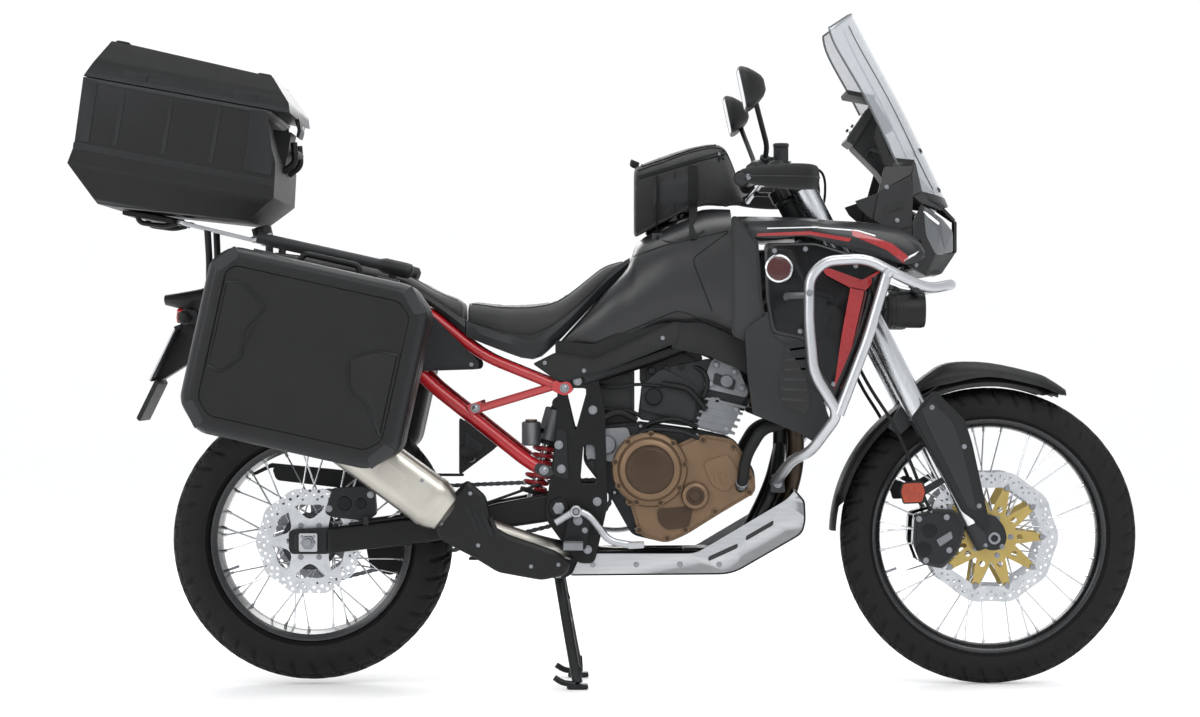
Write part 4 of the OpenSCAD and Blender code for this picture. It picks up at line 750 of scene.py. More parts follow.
b.tube(fillet([(186, -100, 742), (216, -112, 730), (226, -118, 700), (214, -120, 668)], 20, 6), 6, "rubber", 12)
b.tube(fillet([(-50, -106, 660), (-20, -118, 640), (40, -124, 640), (70, -122, 626)], 20, 6), 5, "rubber", 10)
b.tube(fillet([(-46, -104, 700), (10, -118, 690), (60, -120, 700), (120, -118, 694)], 24, 6), 4, "rubber", 10)
b.obj("engine_case", "chassis", SLOT_OF["engine_block"], ("engine_block",), bevel=1.6, ang=40)

b = MB()
COV = [(20, 470), (46, 423), (66, 353), (130, 335), (175, 355), (250, 402), (334, 452), (330, 490), (285, 572), (208, 585), (150, 560)]
b.prism(COV, -150, -118.5, "bronze", round_=18, k=5)
b.prism(inset(COV, 8), -158, -149, "bronze", round_=16, k=5)
def disc(cx, cz, prof, m, y0=0.0, n=64):
    b.rev([(r, -y) for r, y in prof], (cx, 0, cz), m, n)
disc(90, 505, [(87, 118.5), (87, 160), (84, 168), (78, 172), (74, 172.5), (72, 176), (70, 184), (66, 188), (58, 189.5), (56, 189.5)], "bronze", n=80)
disc(90, 505, [(56, 189.5), (54, 186.0), (50, 185.5), (46, 187), (44, 187.6), (0.5, 188)], "bronze_dark", n=80)
disc(194, 444, [(32, 150), (32, 168), (29, 174), (24, 176), (21, 176)], "bronze")
disc(194, 444, [(21, 176), (20, 173.5), (14, 173), (12, 175), (0.5, 175.5)], "bronze_dark")
for i in range(9):
    a = math.radians(i * 40 + 8); x, z = 90 + 80 * math.cos(a), 505 + 80 * math.sin(a)
    b.cyl((x, -158, z), (x, -171.5, z), 8.5, "bronze", 18, bev=1.5); b.bolt((x, -171, z), (0, -1, 0), 4.2, "bronze_dark", h=3)
for x, z in ((66, 366), (130, 347), (172, 366), (240, 408), (318, 452), (318, 486), (282, 556), (212, 572), (44, 430)):
    b.cyl((x, -148, z), (x, -161, z), 9, "bronze", 18, bev=1.5); b.bolt((x, -160, z), (0, -1, 0), 4.2, "bronze_dark", h=3)
b.prism([(107, 414), (190, 420), (180, 372), (128, 366), (110, 384)], -162, -156, "bronze_dark", round_=10)
b.prism([(212, 520), (268, 540), (300, 486), (262, 452), (232, 470)], -163, -156, "bronze", round_=12)
for k in range(4): b.prism([(236 + k * 16, 500 - k * 3), (242 + k * 16, 501 - k * 3), (250 + k * 14, 470), (245 + k * 14, 469)], -165, -162, "bronze")
b.tube(fillet([(30, -150, 560), (80, -168, 598), (170, -160, 592), (230, -150, 560)], 30, 6), 5, "cast_dark", 10)
# left side covers
k0 = len(b.v)
L = [(20, 470), (66, 370), (130, 340), (210, 380), (240, 470), (200, 560), (60, 570)]
b.prism(L, 118.5, 146, "bronze", round_=22); b.prism(inset(L, 10), 145, 150, "bronze", round_=20)
b.rev([(72, 150), (72, 162), (66, 169), (58, 171.5), (30, 171.8), (28, 170), (0.5, 170)], (120, 0, 470), "bronze", 64)
for i in range(8):
    a = math.radians(i * 45); b.bolt((120 + 64 * math.cos(a), 168, 470 + 64 * math.sin(a)), (0, 1, 0), 4.6, h=4)
b.obj("engine_side_covers", "chassis", SLOT_OF["engine_covers"], ("engine_covers",), bevel=1.8, seg=3, ang=35)

b = MB()
HD = [(60, 613), (208, 593), (276, 576), (303, 637), (320, 675), (293, 740), (236, 764), (120, 740), (70, 700)]
b.prism(inset(HD, 5), -108, 108, "cast_dark", round_=10)
# head, cam cover and fins as separate layers, along the cylinder's own lean
b.prism([(196, 600), (272, 580), (300, 640), (232, 672)], -116, 116, "cast_grey", round_=10)
b.prism([(214, 690), (312, 668), (318, 680), (294, 738), (238, 761), (226, 738)], -114, 114, "cast_grey", round_=12)
for k in range(5):
    z0 = 604 + k * 15; x0 = 202 + k * 6
    b.prism([(x0 - 10, z0), (x0 + 84, z0 - 22), (x0 + 86, z0 - 16), (x0 - 8, z0 + 6)], -118, 118, "cast_grey", round_=2)
for x, z in ((244, 744), (286, 728), (304, 690), (232, 700), (290, 640), (246, 660), (268, 596)):
    b.bolt((x, -114, z), (0, -1, 0), 5.5, h=4); b.cyl((x, -108, z), (x, -115.5, z), 9, "cast_grey", 16, bev=1)
b.prism([(240, 726), (290, 708), (284, 684), (236, 700)], -119, -112, "cast_dark", round_=6)
b.cyl((268, -112, 706), (268, -121, 706), 15, "cast_grey", 24, bev=2)
b.prism([(70, 640), (190, 612), (206, 690), (120, 736), (74, 698)], -116, 116, "cast_dark", round_=14)
for sy in (-1, 1):
    b.tube(fillet([(120, sy * 122, 700), (180, sy * 128, 690), (220, sy * 124, 640)], 20), 7, "rubber", 12)
    b.cyl((100, sy * 112, 670), (100, sy * 126, 670), 20, "cast_dark", 24, bev=3)
b.obj("engine_top_end", "chassis", SLOT_OF["cylinder_head"], ("cylinder_head",), bevel=1.4, ang=38)

b = MB()
for s_ in (-1, 1):
    y = s_ * 40
    b.tube(fillet([[305, y, 666], [392, y, 655], [432, y, 600], [432, y, 495], [396, y, 395], [310, y, 325], [222, y, 296]], 60, 8), 19, "header_metal", 22)
    b.cyl((318, y, 666), (306, y, 668), 31, "cast_dark", 24, bev=2)
    for a in (0.6, 3.7): b.bolt((318, y + 26 * math.cos(a), 665 + 26 * math.sin(a)), (1, 0, 0), 5)
b.prism([(168, 273), (232, 273), (232, 319), (168, 319)], -62, 62, "header_metal", round_=10)
b.tube(fillet([[190, 0, 296], [0, 0, 296], [-150, -130, 326], [-368, -190, 402]], 50, 8), 21, "silencer_metal", 22)
b.obj("exhaust_headers", "chassis", SLOT_OF["exhaust_pipes"], ("exhaust_pipes",))

b = MB()
HS = [(-325, 484), (-408, 394), (-387, 346), (-312, 307), (-255, 272), (-155, 254), (-99, 267), (-90, 294), (-120, 320), (-234, 359), (-269, 381), (-282, 446)]
b.grid([[(p[0], y, p[1]) for p in fillet(inset(HS, d), 12, 4, True)] for y, d in ((-186, 1.5), (-208, 0), (-213, 3), (-216, 9), (-216.6, 14))], "plastic_black", cap=False)
f = [(p[0], -216.6, p[1]) for p in fillet(inset(HS, 14), 12, 4, True)]; b.add(f, [list(range(len(f)))], "plastic_black", False)
for p in ((-318, 452), (-384, 384), (-300, 334), (-180, 286), (-118, 290)): b.bolt((p[0], -216, p[1]), (0, -1, 0), 5, h=1.0)
for k in range(4): b.prism([(-330 + k * 18, 420 - k * 8), (-322 + k * 18, 424 - k * 8), (-300 + k * 18, 372 - k * 8), (-308 + k * 18, 368 - k * 8)], -218, -214, "frame_paint", round_=3)
b.obj("exhaust_heat_guard", "chassis", SLOT_OF["heat_shield"], ("heat_shield",), bevel=1.0, ang=40)

b = MB()
ax = math.radians(-53.8)
SIL = Matrix(((math.cos(ax), 0, math.sin(ax), -371), (0, 1, 0, -190), (-math.sin(ax), 0, math.cos(ax), 405), (0, 0, 0, 1)))
def rr_ring(w, h, r, z, k=8): return [(p[0], p[1], z) for p in fillet([(-w / 2, -h / 2), (w / 2, -h / 2), (w / 2, h / 2), (-w / 2, h / 2)], r, k, True)]
b.grid([rr_ring(60, 56, 27, -6), rr_ring(92, 84, 30, 4), rr_ring(112, 103, 34, 26), rr_ring(116.5, 107.5, 36, 40), rr_ring(117, 108, 36, 52), rr_ring(117, 108, 36, 420), rr_ring(117, 108, 36, 440), rr_ring(114, 105, 34, 452)], "silencer_metal", cap=False)
for z in (48, 428): b.grid([rr_ring(118.6, 109.6, 37, z - 7), rr_ring(119, 110, 37, z - 5), rr_ring(119, 110, 37, z + 5), rr_ring(118.6, 109.6, 37, z + 7)], "silencer_metal", cap=True)
b.grid([rr_ring(114, 105, 34, 450), rr_ring(110, 101, 32, 470), rr_ring(96, 88, 28, 478), rr_ring(60, 56, 22, 479)], "plastic_black", cap=False)
b.cyl((-8, 0, 470), (-8, 0, 488), 24, "header_metal", 32); b.cyl((-8, 0, 471), (-8, 0, 487), 20.5, "gloss_black", 32)
b.prism([(-20, 120), (20, 120), (20, 180), (-20, 180)], -57, -53, "silencer_metal", round_=6)
for z in (90, 250, 400): b.bolt((30, -54.6, z), (0, -1, 0), 3.4, h=1.6)
b.xform(SIL)
o = b.obj("silencer_can", "chassis", SLOT_OF["silencer"], ("silencer",), ang=30)

b = MB()
sk_out = [(-90, 259), (280, 262), (442, 356), (449, 387), (447, 431), (425, 457)]
sk_top = [(407, 435), (196, 310), (-66, 310)]
for s_ in (-1, 1):
    wallp = fillet(sk_out + sk_top, [4, 30, 20, 10, 8, 4, 20, 20, 6], 5, True)
    hl = [fillet(h, 5, 3, True)[::-1] for h in ([(311, 350), (375, 387), (375, 376), (311, 339)], [(225, 303), (293, 334), (293, 323), (225, 292)])]
    y = (-130, -126.5) if s_ < 0 else (126.5, 130)
    b.plate(wallp, hl, y[0], y[1], "aluminium")
    b.prism([(311, 352), (377, 390), (377, 374), (311, 336)], y[0] + (1 if s_ < 0 else -6), y[1] + (6 if s_ < 0 else -1), "gloss_black")
    b.prism([(223, 304), (295, 337), (295, 321), (223, 289)], y[0] + (1 if s_ < 0 else -6), y[1] + (6 if s_ < 0 else -1), "gloss_black")
bt = fillet(sk_out, [4, 30, 20, 10, 8, 4], 5)
inn = fillet([(-90, 263), (279, 266), (438, 358), (445, 387), (443, 429), (422, 454)], [4, 30, 20, 10, 8, 4], 5)
b.grid([[(p[0], y, p[1]) for p in (bt + inn[::-1])] for y in (-130, 130)], "aluminium", smooth=True)
for x in (-40, 60, 160, 250):
    for s_ in (-1, 1): b.bolt((x, s_ * 130, 285), (0, s_, 0), 5, h=2)
for y in (-90, -45, 0, 45, 90):
    R = [[(p[0] + 1.5, y - 6, p[1] - 1.5), (p[0] + 3.0, y, p[1] - 3.0), (p[0] + 1.5, y + 6, p[1] - 1.5)] for p in [(300, 275), (340, 298), (380, 321), (420, 344)]]
    b.grid(R, "aluminium", closed_u=False, cap=False)
b.obj("belly_skid_plate", "chassis", SLOT_OF["skid_plate"], ("skid_plate",), bevel=1.2, ang=45)

# ---------------------------------------------------------------- swingarm, chain, shock, caliper
b = MB()
for s_ in (-1, 1):
    y = lambda v: s_ * v
    R = []
    for x, zl, zh, yi, yo in ((-96, 392, 442, 84, 116), (-150, 381, 446, 84, 116), (-260, 365, 425, 84, 118), (-330, 353, 406, 90, 124), (-420, 335, 396, 102, 132), (-520, 324, 386, 104, 133), (-636, 311, 371, 104, 133), (-652, 309, 370, 104, 133)):
        P = fillet([(y(yi), zl), (y(yo), zl), (y(yo), zh), (y(yi), zh)], 9, 3, True)
        R.append([(x, p[0], p[1]) for p in P])
    b.grid(R, "frame_paint", cap=True)
    lo, hi = sorted((y(104), y(133)))
    b.prism([(-648, 309), (-732, 309), (-738, 320), (-738, 360), (-728, 366), (-648, 370)], lo, hi, "frame_paint", round_=6)
    b.prism([(-674, 320), (-724, 320), (-724, 354), (-674, 354)], min(y(133.2), y(135)), max(y(133.2), y(135)), "cast_dark", round_=6)
    b.cyl((-738, y(118), 338), (-758 + 14, y(118), 338), 6, "steel_bolt", 6)
b.prism([(-262, 372), (-320, 362), (-320, 402), (-262, 408)], -90, 90, "frame_paint", round_=10)
b.cyl((-118, -146, 415), (-118, 146, 415), 18, "frame_paint", 28)
b.tube(fillet([(-600, -136, 378), (-480, -138, 394), (-300, -128, 420), (-160, -128, 470)], 40), 3.4, "rubber", 10)
for x in (-560, -380): b.box((x - 6, -140, 376 if x < -400 else 396), (x + 6, -132, 396 if x < -400 else 414), "plastic_black")
b.prism([(-576, 312), (-480, 324), (-484, 256), (-520, 246), (-566, 262)], 80, 86, "plastic_black", round_=8)
b.obj("rear_swingarm", "chassis", SLOT_OF["swingarm"], ("swingarm",), bevel=1.2, ang=45)
b = MB()
b.cyl((-693, -140, 336), (-693, 140, 336), 12.5, "steel_bolt", 24)
b.cyl((-693, -104, 336), (-693, -92.6, 336), 17, "cast_grey", 24, bev=1); b.cyl((-693, 93, 336), (-693, 104, 336), 17, "cast_grey", 24, bev=1)
for s_ in (-1, 1):
    y0, y1 = sorted((s_ * 135.2, s_ * 139.8))
    b.prism([(-714, 315), (-714, 357), (-672, 357), (-672, 315)], y0, y1, "aluminium", round_=4)
    b.cyl((-693, s_ * 139, 336), (-693, s_ * 147, 336), 17, "steel_bolt", 6, bev=1.5); b.cyl((-693, s_ * 147, 336), (-693, s_ * 155, 336), 10, "steel_bolt", 20, bev=1)
    for k in (-14, 14): b.bolt((-693 + k, s_ * 139.5, 336 + 14), (0, s_, 0), 2.6, h=1.6)
b.obj("rear_wheel_axle", "chassis", SLOT_OF["rear_axle"], ("rear_axle",), bevel=0.8)
b = MB()
top, bot = V3((-124, 0, 640)), V3((-192, 0, 402)); d = unit(bot - top)
b.cyl(top, bot, 11, "chrome", 22); b.cyl(top + d * 0, top + d * 78, 27, "cast_grey", 30, bev=3)
b.cyl(top + d * 78, top + d * 86, 32, "plastic_black", 30, bev=1.5); b.cyl(top + d * 196, top + d * 206, 32, "plastic_black", 30, bev=1.5)
coil = []
u, w = b.frame_at(d)
for i in range(0, 141):
    t = i / 140; a = t * 2 * math.pi * 6.5; q = top + d * (88 + t * 106); coil.append(q + 25.5 * (math.cos(a) * u + math.sin(a) * w))
b.tube(coil, 5.2, "red_frame", 10)
b.cyl((-124, -16, 640), (-124, 16, 640), 15, "cast_dark", 22); b.cyl((-192, -18, 402), (-192, 18, 402), 14, "cast_dark", 22)
b.tube([(-192, 0, 402), (-286, 0, 386)], 9, "cast_dark", 14)
b.cyl((-183, -52, 556), (-183, -52, 612), 22, "cast_grey", 30, bev=3); b.cyl((-183, -52, 612), (-183, -52, 617), 14, "bronze", 20, bev=1)
b.tube(fillet([(-183, -50, 585), (-165, -30, 590), (-148, 0, 590)], 10), 6, "rubber", 12)
b.obj("rear_shock", "chassis", SLOT_OF["shock_absorber"], ("shock_absorber",))
b = MB()
def belt_pts(ra_, rb_, n=64):
    ax_, az, bx, bz = -693, 336, -40, 430; t = math.atan2(bz - az, bx - ax_); dd = math.hypot(bx - ax_, bz - az); k = math.acos((ra_ - rb_) / dd)
    P = [(ax_ + ra_ * math.cos(a), az + ra_ * math.sin(a)) for a in np.linspace(t + k, t - k + 2 * math.pi, n)]
    return P + [(bx + rb_ * math.cos(a), bz + rb_ * math.sin(a)) for a in np.linspace(t - k, t + k, 24)]
P = belt_pts(108.5, 41.5); L_ = [0.0]
PP = [V3(p) for p in P] + [V3(P[0])]
for i in range(len(PP) - 1): L_.append(L_[-1] + np.linalg.norm(PP[i + 1] - PP[i]))
nl = int(L_[-1] / 15.875 / 2) * 2; step = L_[-1] / nl
def at(s_):
    s_ = s_ % L_[-1]; i = max(0, np.searchsorted(L_, s_) - 1); f = (s_ - L_[i]) / max(1e-6, L_[i + 1] - L_[i]); return PP[i] * (1 - f) + PP[i + 1] * f
for i in range(nl):
    a, c_ = at(i * step), at((i + 1) * step); t = unit(c_ - a); nn = np.array([-t[1], t[0]])
    out = [a - t * 4.4 + nn * 3.2, a - t * 4.4 - nn * 3.2, a - nn * 5.2, (a + c_) / 2 - nn * 3.8, c_ - nn * 5.2, c_ + t * 4.4 - nn * 3.2, c_ + t * 4.4 + nn * 3.2, c_ + nn * 5.2, (a + c_) / 2 + nn * 3.8, a + nn * 5.2]
    off = 0 if i % 2 else 1.9
    for y0, y1 in ((81.2 + off, 82.8 + off), (93.2 - off, 94.8 - off)): b.prism(out, y0, y1, "chain_steel")
    b.cyl((a[0], 81.4, a[1]), (a[0], 94.7, a[1]), 3.6, "chain_steel", 8)
GD = [(-838, 482), (-800, 500), (-560, 480), (-345, 480), (-345, 486), (-560, 487), (-800, 511), (-844, 488)]
b.prism(GD, 80.5, 99.5, "plastic_black", round_=3)
b.prism([(-800, 500), (-560, 480), (-500, 480), (-520, 452), (-640, 452), (-790, 470)], 96.5, 99.5, "plastic_black", round_=10)
b.obj("final_drive_chain", "chassis", SLOT_OF["drive_chain"], ("drive_chain",), ang=50)
b = MB()
RC = [(-658, 402), (-640, 392), (-560, 384), (-538, 398), (-542, 452), (-570, 463), (-640, 459)]
b.prism(RC, -107.5, -94.5, "hub_black", round_=9); b.prism(RC, -82.5, -70.5, "hub_black", round_=9)
b.prism([(-640, 446), (-570, 452), (-570, 463), (-640, 459)], -96, -81, "hub_black", round_=4)
b.cyl((-612, -106, 424), (-612, -110, 424), 17, "hub_black", 28, bev=2); b.cyl((-574, -106, 424), (-574, -110, 424), 13, "hub_black", 28, bev=2)
b.bolt((-648, -107, 412), (0, -1, 0), 6, h=3); b.bolt((-552, -107, 444), (0, -1, 0), 6, h=3)
b.tube(fillet([(-556, -104, 458), (-520, -118, 470), (-440, -128, 430), (-400, -134, 410)], 30), 4, "rubber", 10)
b.obj("rear_brake_caliper", "chassis", SLOT_OF["rear_caliper"], ("rear_caliper",), bevel=1.4, ang=40)

# ---------------------------------------------------------------- tank, fairings, shrouds
def skin(rows, m, b, n=None, close=True, refine=3, smooth=True, cap=True):
    """A lofted skin through rows of points, with extra rows between by Catmull-Rom."""
    A = np.array(rows, float); R = []
    for i in range((len(A) - 1) * refine + 1): R.append(crom(A, i / refine))
    b.grid(R, m, closed_u=close, cap=cap, smooth=smooth)
    return R
def sec(x, pts):
    """Closed section at x from its right-hand half, (y out, z), listed from the bottom centre to the top centre."""
    P = [(x, -y, z) for y, z in pts]
    return P + [(x, y, z) for y, z in pts[::-1]]
def spline(pts, n):
    A = np.array(pts, float); return [crom(A, t) for t in np.linspace(0, len(A) - 1, n)]

b = MB()
rows = []
T = [  # x, then (y, z) from low centre outwards to the top centre
 (-126, [(2, 778), (60, 777), (98, 777), (116, 781), (117, 784.5), (112, 785.5), (60, 785.5), (2, 785.5)]),
 (-90, [(2, 776), (60, 774), (100, 773), (117, 784), (119, 806), (112, 822), (62, 826), (2, 827)]),
 (-38, [(2, 768), (60, 767), (114, 767), (132, 792), (134, 846), (120, 876), (66, 883), (2, 884)]),
 (0, [(2, 786), (64, 785), (122, 784), (142, 820), (143, 888), (116, 920), (62, 924), (2, 924)]),
 (41, [(2, 804), (66, 804), (128, 804), (150, 838), (152, 902), (126, 956), (70, 970), (2, 971)]),
 (64, [(2, 814), (66, 814), (132, 814), (154, 848), (158, 926), (130, 996), (70, 1024), (2, 1027)]),
 (120, [(2, 838), (70, 838), (140, 838), (168, 880), (172, 960), (148, 1020), (86, 1058), (2, 1061)]),
 (170, [(2, 838), (74, 838), (146, 838), (176, 880), (182, 966), (160, 1036), (92, 1080), (2, 1084)]),
 (215, [(2, 838), (78, 838), (150, 838), (182, 880), (190, 972), (168, 1050), (98, 1098), (2, 1104)]),
 (277, [(2, 812), (84, 812), (160, 812), (190, 860), (196, 968), (176, 1056), (106, 1098), (2, 1105)]),
]
for x, pts in T:
    q = spline(pts, 18); rows.append(sec(x, [(p[0], p[1]) for p in q]))
skin(rows, "tank_paint", b, refine=3)
# shoulders ahead of the tank, flush with the fairing
SH = [(276, 812), (312, 793), (360, 813), (346, 891), (337, 1024), (290, 1082), (276, 1082)]
b.prism(SH, -196, -172, "tank_paint", round_=10); b.prism(inset(SH, 7), -197.5, -194, "panel_satin", round_=8)
b.prism(SH, 172, 196, "tank_paint", round_=10); b.prism(inset(SH, 7), 194, 197.5, "panel_satin", round_=8)
b.cyl((150, 0, 1074), (146, 0, 1092), 46, "gloss_black", 40, bev=4)
o = b.obj("tank_shell", "chassis", SLOT_OF["fuel_tank"], ("fuel_tank",), ang=42)
from mathutils.bvhtree import BVHTree
def bvh(o): return BVHTree.FromPolygons([v.co.copy() for v in o.data.vertices], [tuple(p.vertices) for p in o.data.polygons])
def on_side(tree, x, z, s_, off, y0=0.3):
    r = tree.ray_cast(Vector((x * 0.001, s_ * y0, z * 0.001)), Vector((0, -s_, 0)), 0.6)
    if r[0] is None: return None
    c = r[0] + r[1] * (off * 0.001 if r[1].y * s_ > 0 else -off * 0.001); return (c.x * 1000, c.y * 1000, c.z * 1000)
def dense(pts, step=7.0):
    out = []
    for a_, c_ in zip(pts[:-1], pts[1:]):
        n = max(1, int(np.linalg.norm(V3(c_) - V3(a_)) / step)); out += [V3(a_) + (V3(c_) - V3(a_)) * k / n for k in range(n)]
    return out + [V3(pts[-1])]
TT = bvh(o); b = MB()
for s_ in (-1, 1):
    for ln in ([(268, 1046), (186, 985), (232, 866)], [(-118, 792), (-25, 790), (20, 812), (150, 866), (168, 864), (270, 822)], [(46, 990), (120, 1016), (180, 1030), (268, 1050)]):
        P = [on_side(TT, p[0], p[1], s_, -0.3) for p in dense(fillet(ln, 16, 5))]
        P = [p for p in P if p is not None]
        if len(P) > 3: b.tube(P, 1.7, "rubber", 8)
b.obj("tank_creases", "chassis", SLOT_OF["fuel_tank"])

FR = [(337, 1028), (441, 1034), (465, 1028), (568, 997), (669, 969), (683, 967), (717, 988), (710, 1009), (655, 1044), (613, 1064), (475, 1070)]
RF = [(337, 1044), (290, 1078), (292, 1084)]
b = MB()
for s_ in (-1, 1):
    Y = lambda v: s_ * v
    # upper fairing: a rounded wing from the tank shoulder to the lamps, as rows along x
    U = []
    for x, z0, z1, z2, yo in ((292, 1046, 1064, 1083, 178), (330, 1034, 1062, 1083, 206), (380, 1031, 1064, 1082, 226), (441, 1035, 1066, 1079, 234), (500, 1018, 1050, 1074, 236), (568, 998, 1040, 1070, 236), (625, 984, 1030, 1064, 235), (669, 971, 1016, 1052, 233), (700, 979, 1004, 1030, 228), (713, 988, 998, 1010, 220)):
        U.append([(x, Y(yo - 30), z0 + 2), (x, Y(yo - 4), z0), (x, Y(yo), z0 + 0.3 * (z1 - z0)), (x, Y(yo), z1 - 0.2 * (z1 - z0)), (x, Y(yo - 8), z1 + 0.4 * (z2 - z1)), (x, Y(yo - 36), z2 - 2), (x, Y(max(156, yo - 70)), z2), (x, Y(156), z2 - 4), (x, Y(156), z0 + 8)])
    skin(U, "panel_satin", b, refine=3)
    # radiator shroud: bevelled plate with an inner return
    S = [(348, 1020), (465, 1022), (568, 990), (660, 964), (621, 956), (582, 800), (517, 656), (471, 725), (440, 800), (366, 815), (352, 895)]
    def ring(d, y): return [(p[0], Y(y), p[1]) for p in fillet(inset(S, d), 14, 4, True)]
    b.grid([ring(3, 206), ring(0.5, 216), ring(0, 219), ring(1.2, 223), ring(5, 225.4), ring(11, 226)], "panel_satin", cap=False)
    f = ring(11, 226); b.plate([(p[0], p[2]) for p in f], [], Y(225), Y(226), "panel_satin")
    b.prism([(366, 815), (440, 800), (471, 725), (517, 656), (500, 650), (440, 720), (400, 790)], min(Y(160), Y(220)), max(Y(160), Y(220)), "plastic_black", round_=4)
    # front edge blade and inner louvre
    b.grid([[(p[0] + dx, Y(y), p[1]) for p in spline([(660, 964), (622, 940), (600, 860), (570, 775), (520, 660)], 16)] for dx, y in ((-14, 206), (-2, 216), (0, 222), (-4, 226.2), (-14, 227.6), (-26, 227.4))], "gloss_black", closed_u=False, cap=False)
    # bold stripe on the shroud: V at the top and a band down, raised just proud of the panel
    yy = sorted((Y(226.2), Y(227.4)))
    b.prism([(478, 962), (498, 962), (570, 936), (611, 958), (620, 949), (576, 911), (544, 918), (489, 947)], yy[0], yy[1], "red_paint", round_=1.5)
    b.prism([(544, 920), (576, 913), (547, 783), (519, 686), (505, 680), (524, 812)], yy[0], yy[1], "red_paint", round_=1.5)
    # thin darker red strip along the band's front edge: painted shade
    b.prism([(578, 911), (582, 909), (553, 784), (524, 688), (520, 688), (549, 786)], yy[0], yy[1], "badge_red_and_painted_shade")
    RC_ = [(311, 725), (323, 632), (432, 587), (468, 564), (502, 609), (466, 709), (448, 891), (430, 914), (305, 823)]
    b.prism(RC_, min(Y(211), Y(217)), max(Y(211), Y(217)), "plastic_black", round_=7)
    b.prism([(380, 700), (392, 650), (440, 628), (452, 650), (440, 760), (430, 800), (396, 790)], min(Y(216.5), Y(218.5)), max(Y(216.5), Y(218.5)), "gloss_black", round_=8)
    for k in range(6): b.prism([(388 + k * 2, 664 + k * 22), (446 - k, 660 + k * 24), (446 - k, 665 + k * 24), (388 + k * 2, 669 + k * 22)], min(Y(218), Y(220)), max(Y(218), Y(220)), "plastic_black")
    # plain round disc with a ring, no marking
    c = (382, Y(225.0), 962)
    sg = 1 if s_ > 0 else -1
    b.rev([(32, 0), (32, sg * 4), (30, sg * 6), (28, sg * 6.5), (26.5, sg * 5)], c, "chrome", 48)
    b.rev([(26.5, sg * 5), (25, sg * 5.6), (12, sg * 6.6), (0.4, sg * 7)], c, "badge_red_and_painted_shade", 48)
    for p in ((372, 1002), (442, 1006), (556, 968), (430, 820), (506, 700)): b.bolt((p[0], Y(226), p[1]), (0, s_, 0), 4.2, "steel_bolt", 1.8, hexed=False)
o = b.obj("fairing_panels", "chassis", SLOT_OF["fairings"], ("fairings",), ang=34)
TF = bvh(o); b = MB()
for s_ in (-1, 1):
    def stripe(low, high, m, n=40, rows_=4):
        A, C = dense(low, 4), dense(high, 4); R = []
        for t in np.linspace(0, 1, n):
            a_ = A[min(len(A) - 1, int(round(t * (len(A) - 1))))]; c_ = C[min(len(C) - 1, int(round(t * (len(C) - 1))))]
            row = [on_side(TF, *(a_ + (c_ - a_) * k / rows_), s_, 0.55) for k in range(rows_ + 1)]
            if any(q is None for q in row): continue
            R.append(row)
        if len(R) > 2: b.grid(R, m, closed_u=False, cap=False)
    stripe([(334, 1036), (452, 1038), (540, 1022)], [(334, 1042), (452, 1046), (546, 1030)], "red_paint")
    stripe([(548, 1036), (626, 1003), (664, 974)], [(546, 1050), (638, 1018), (676, 988)], "red_paint")
    stripe([(664, 978), (690, 992)], [(672, 988), (700, 1002)], "white_paint", n=10)
    stripe([(356, 1052), (470, 1054)], [(356, 1054.6), (470, 1056.6)], "white_paint")
    stripe([(470, 1053), (560, 1046), (600, 1034)], [(470, 1055.6), (560, 1049), (600, 1037)], "white_paint")
b.obj("fairing_stripes", "chassis", SLOT_OF["fairings"])

b = MB()
for s_ in (-1, 1):
    Y = lambda v: s_ * v
    R0 = [(472, 938), (548, 934), (537, 764), (509, 676), (488, 692), (465, 802)]
    b.prism(R0, min(Y(160), Y(204)), max(Y(160), Y(204)), "radiator_core", round_=6)
    b.prism([(466, 938), (552, 934), (552, 922), (466, 926)], min(Y(157), Y(208)), max(Y(157), Y(208)), "cast_dark", round_=3)
    b.prism([(490, 690), (512, 676), (518, 690), (496, 704)], min(Y(157), Y(208)), max(Y(157), Y(208)), "cast_dark", round_=3)
    for k in range(9):
        z = 745 + 20 * k; b.prism([(540 + k * 1.2, z), (546 + k * 1.2, z), (546 + k * 1.2, z + 3), (540 + k * 1.2, z + 3)], min(Y(162), Y(206)), max(Y(162), Y(206)), "cast_grey")
    b.tube(fillet([[298, Y(150), 462], [302, Y(176), 480], [309, Y(176), 534], [347, Y(176), 599], [400, Y(170), 608], [452, Y(166), 690], [484, Y(168), 716]], 40, 7), 13, "rubber", 16)
    for p, q in (((300, Y(160), 468), (301, Y(171), 476)), ((440, Y(167), 668), (448, Y(166), 681))): b.cyl(p, q, 15, "steel_bolt", 22)
    b.cyl((288, Y(116), 452), (294, Y(152), 458), 17, "cast_grey", 24, bev=2)
b.obj("radiator_pair", "chassis", SLOT_OF["cooling"], ("cooling",), bevel=0.8, ang=45)

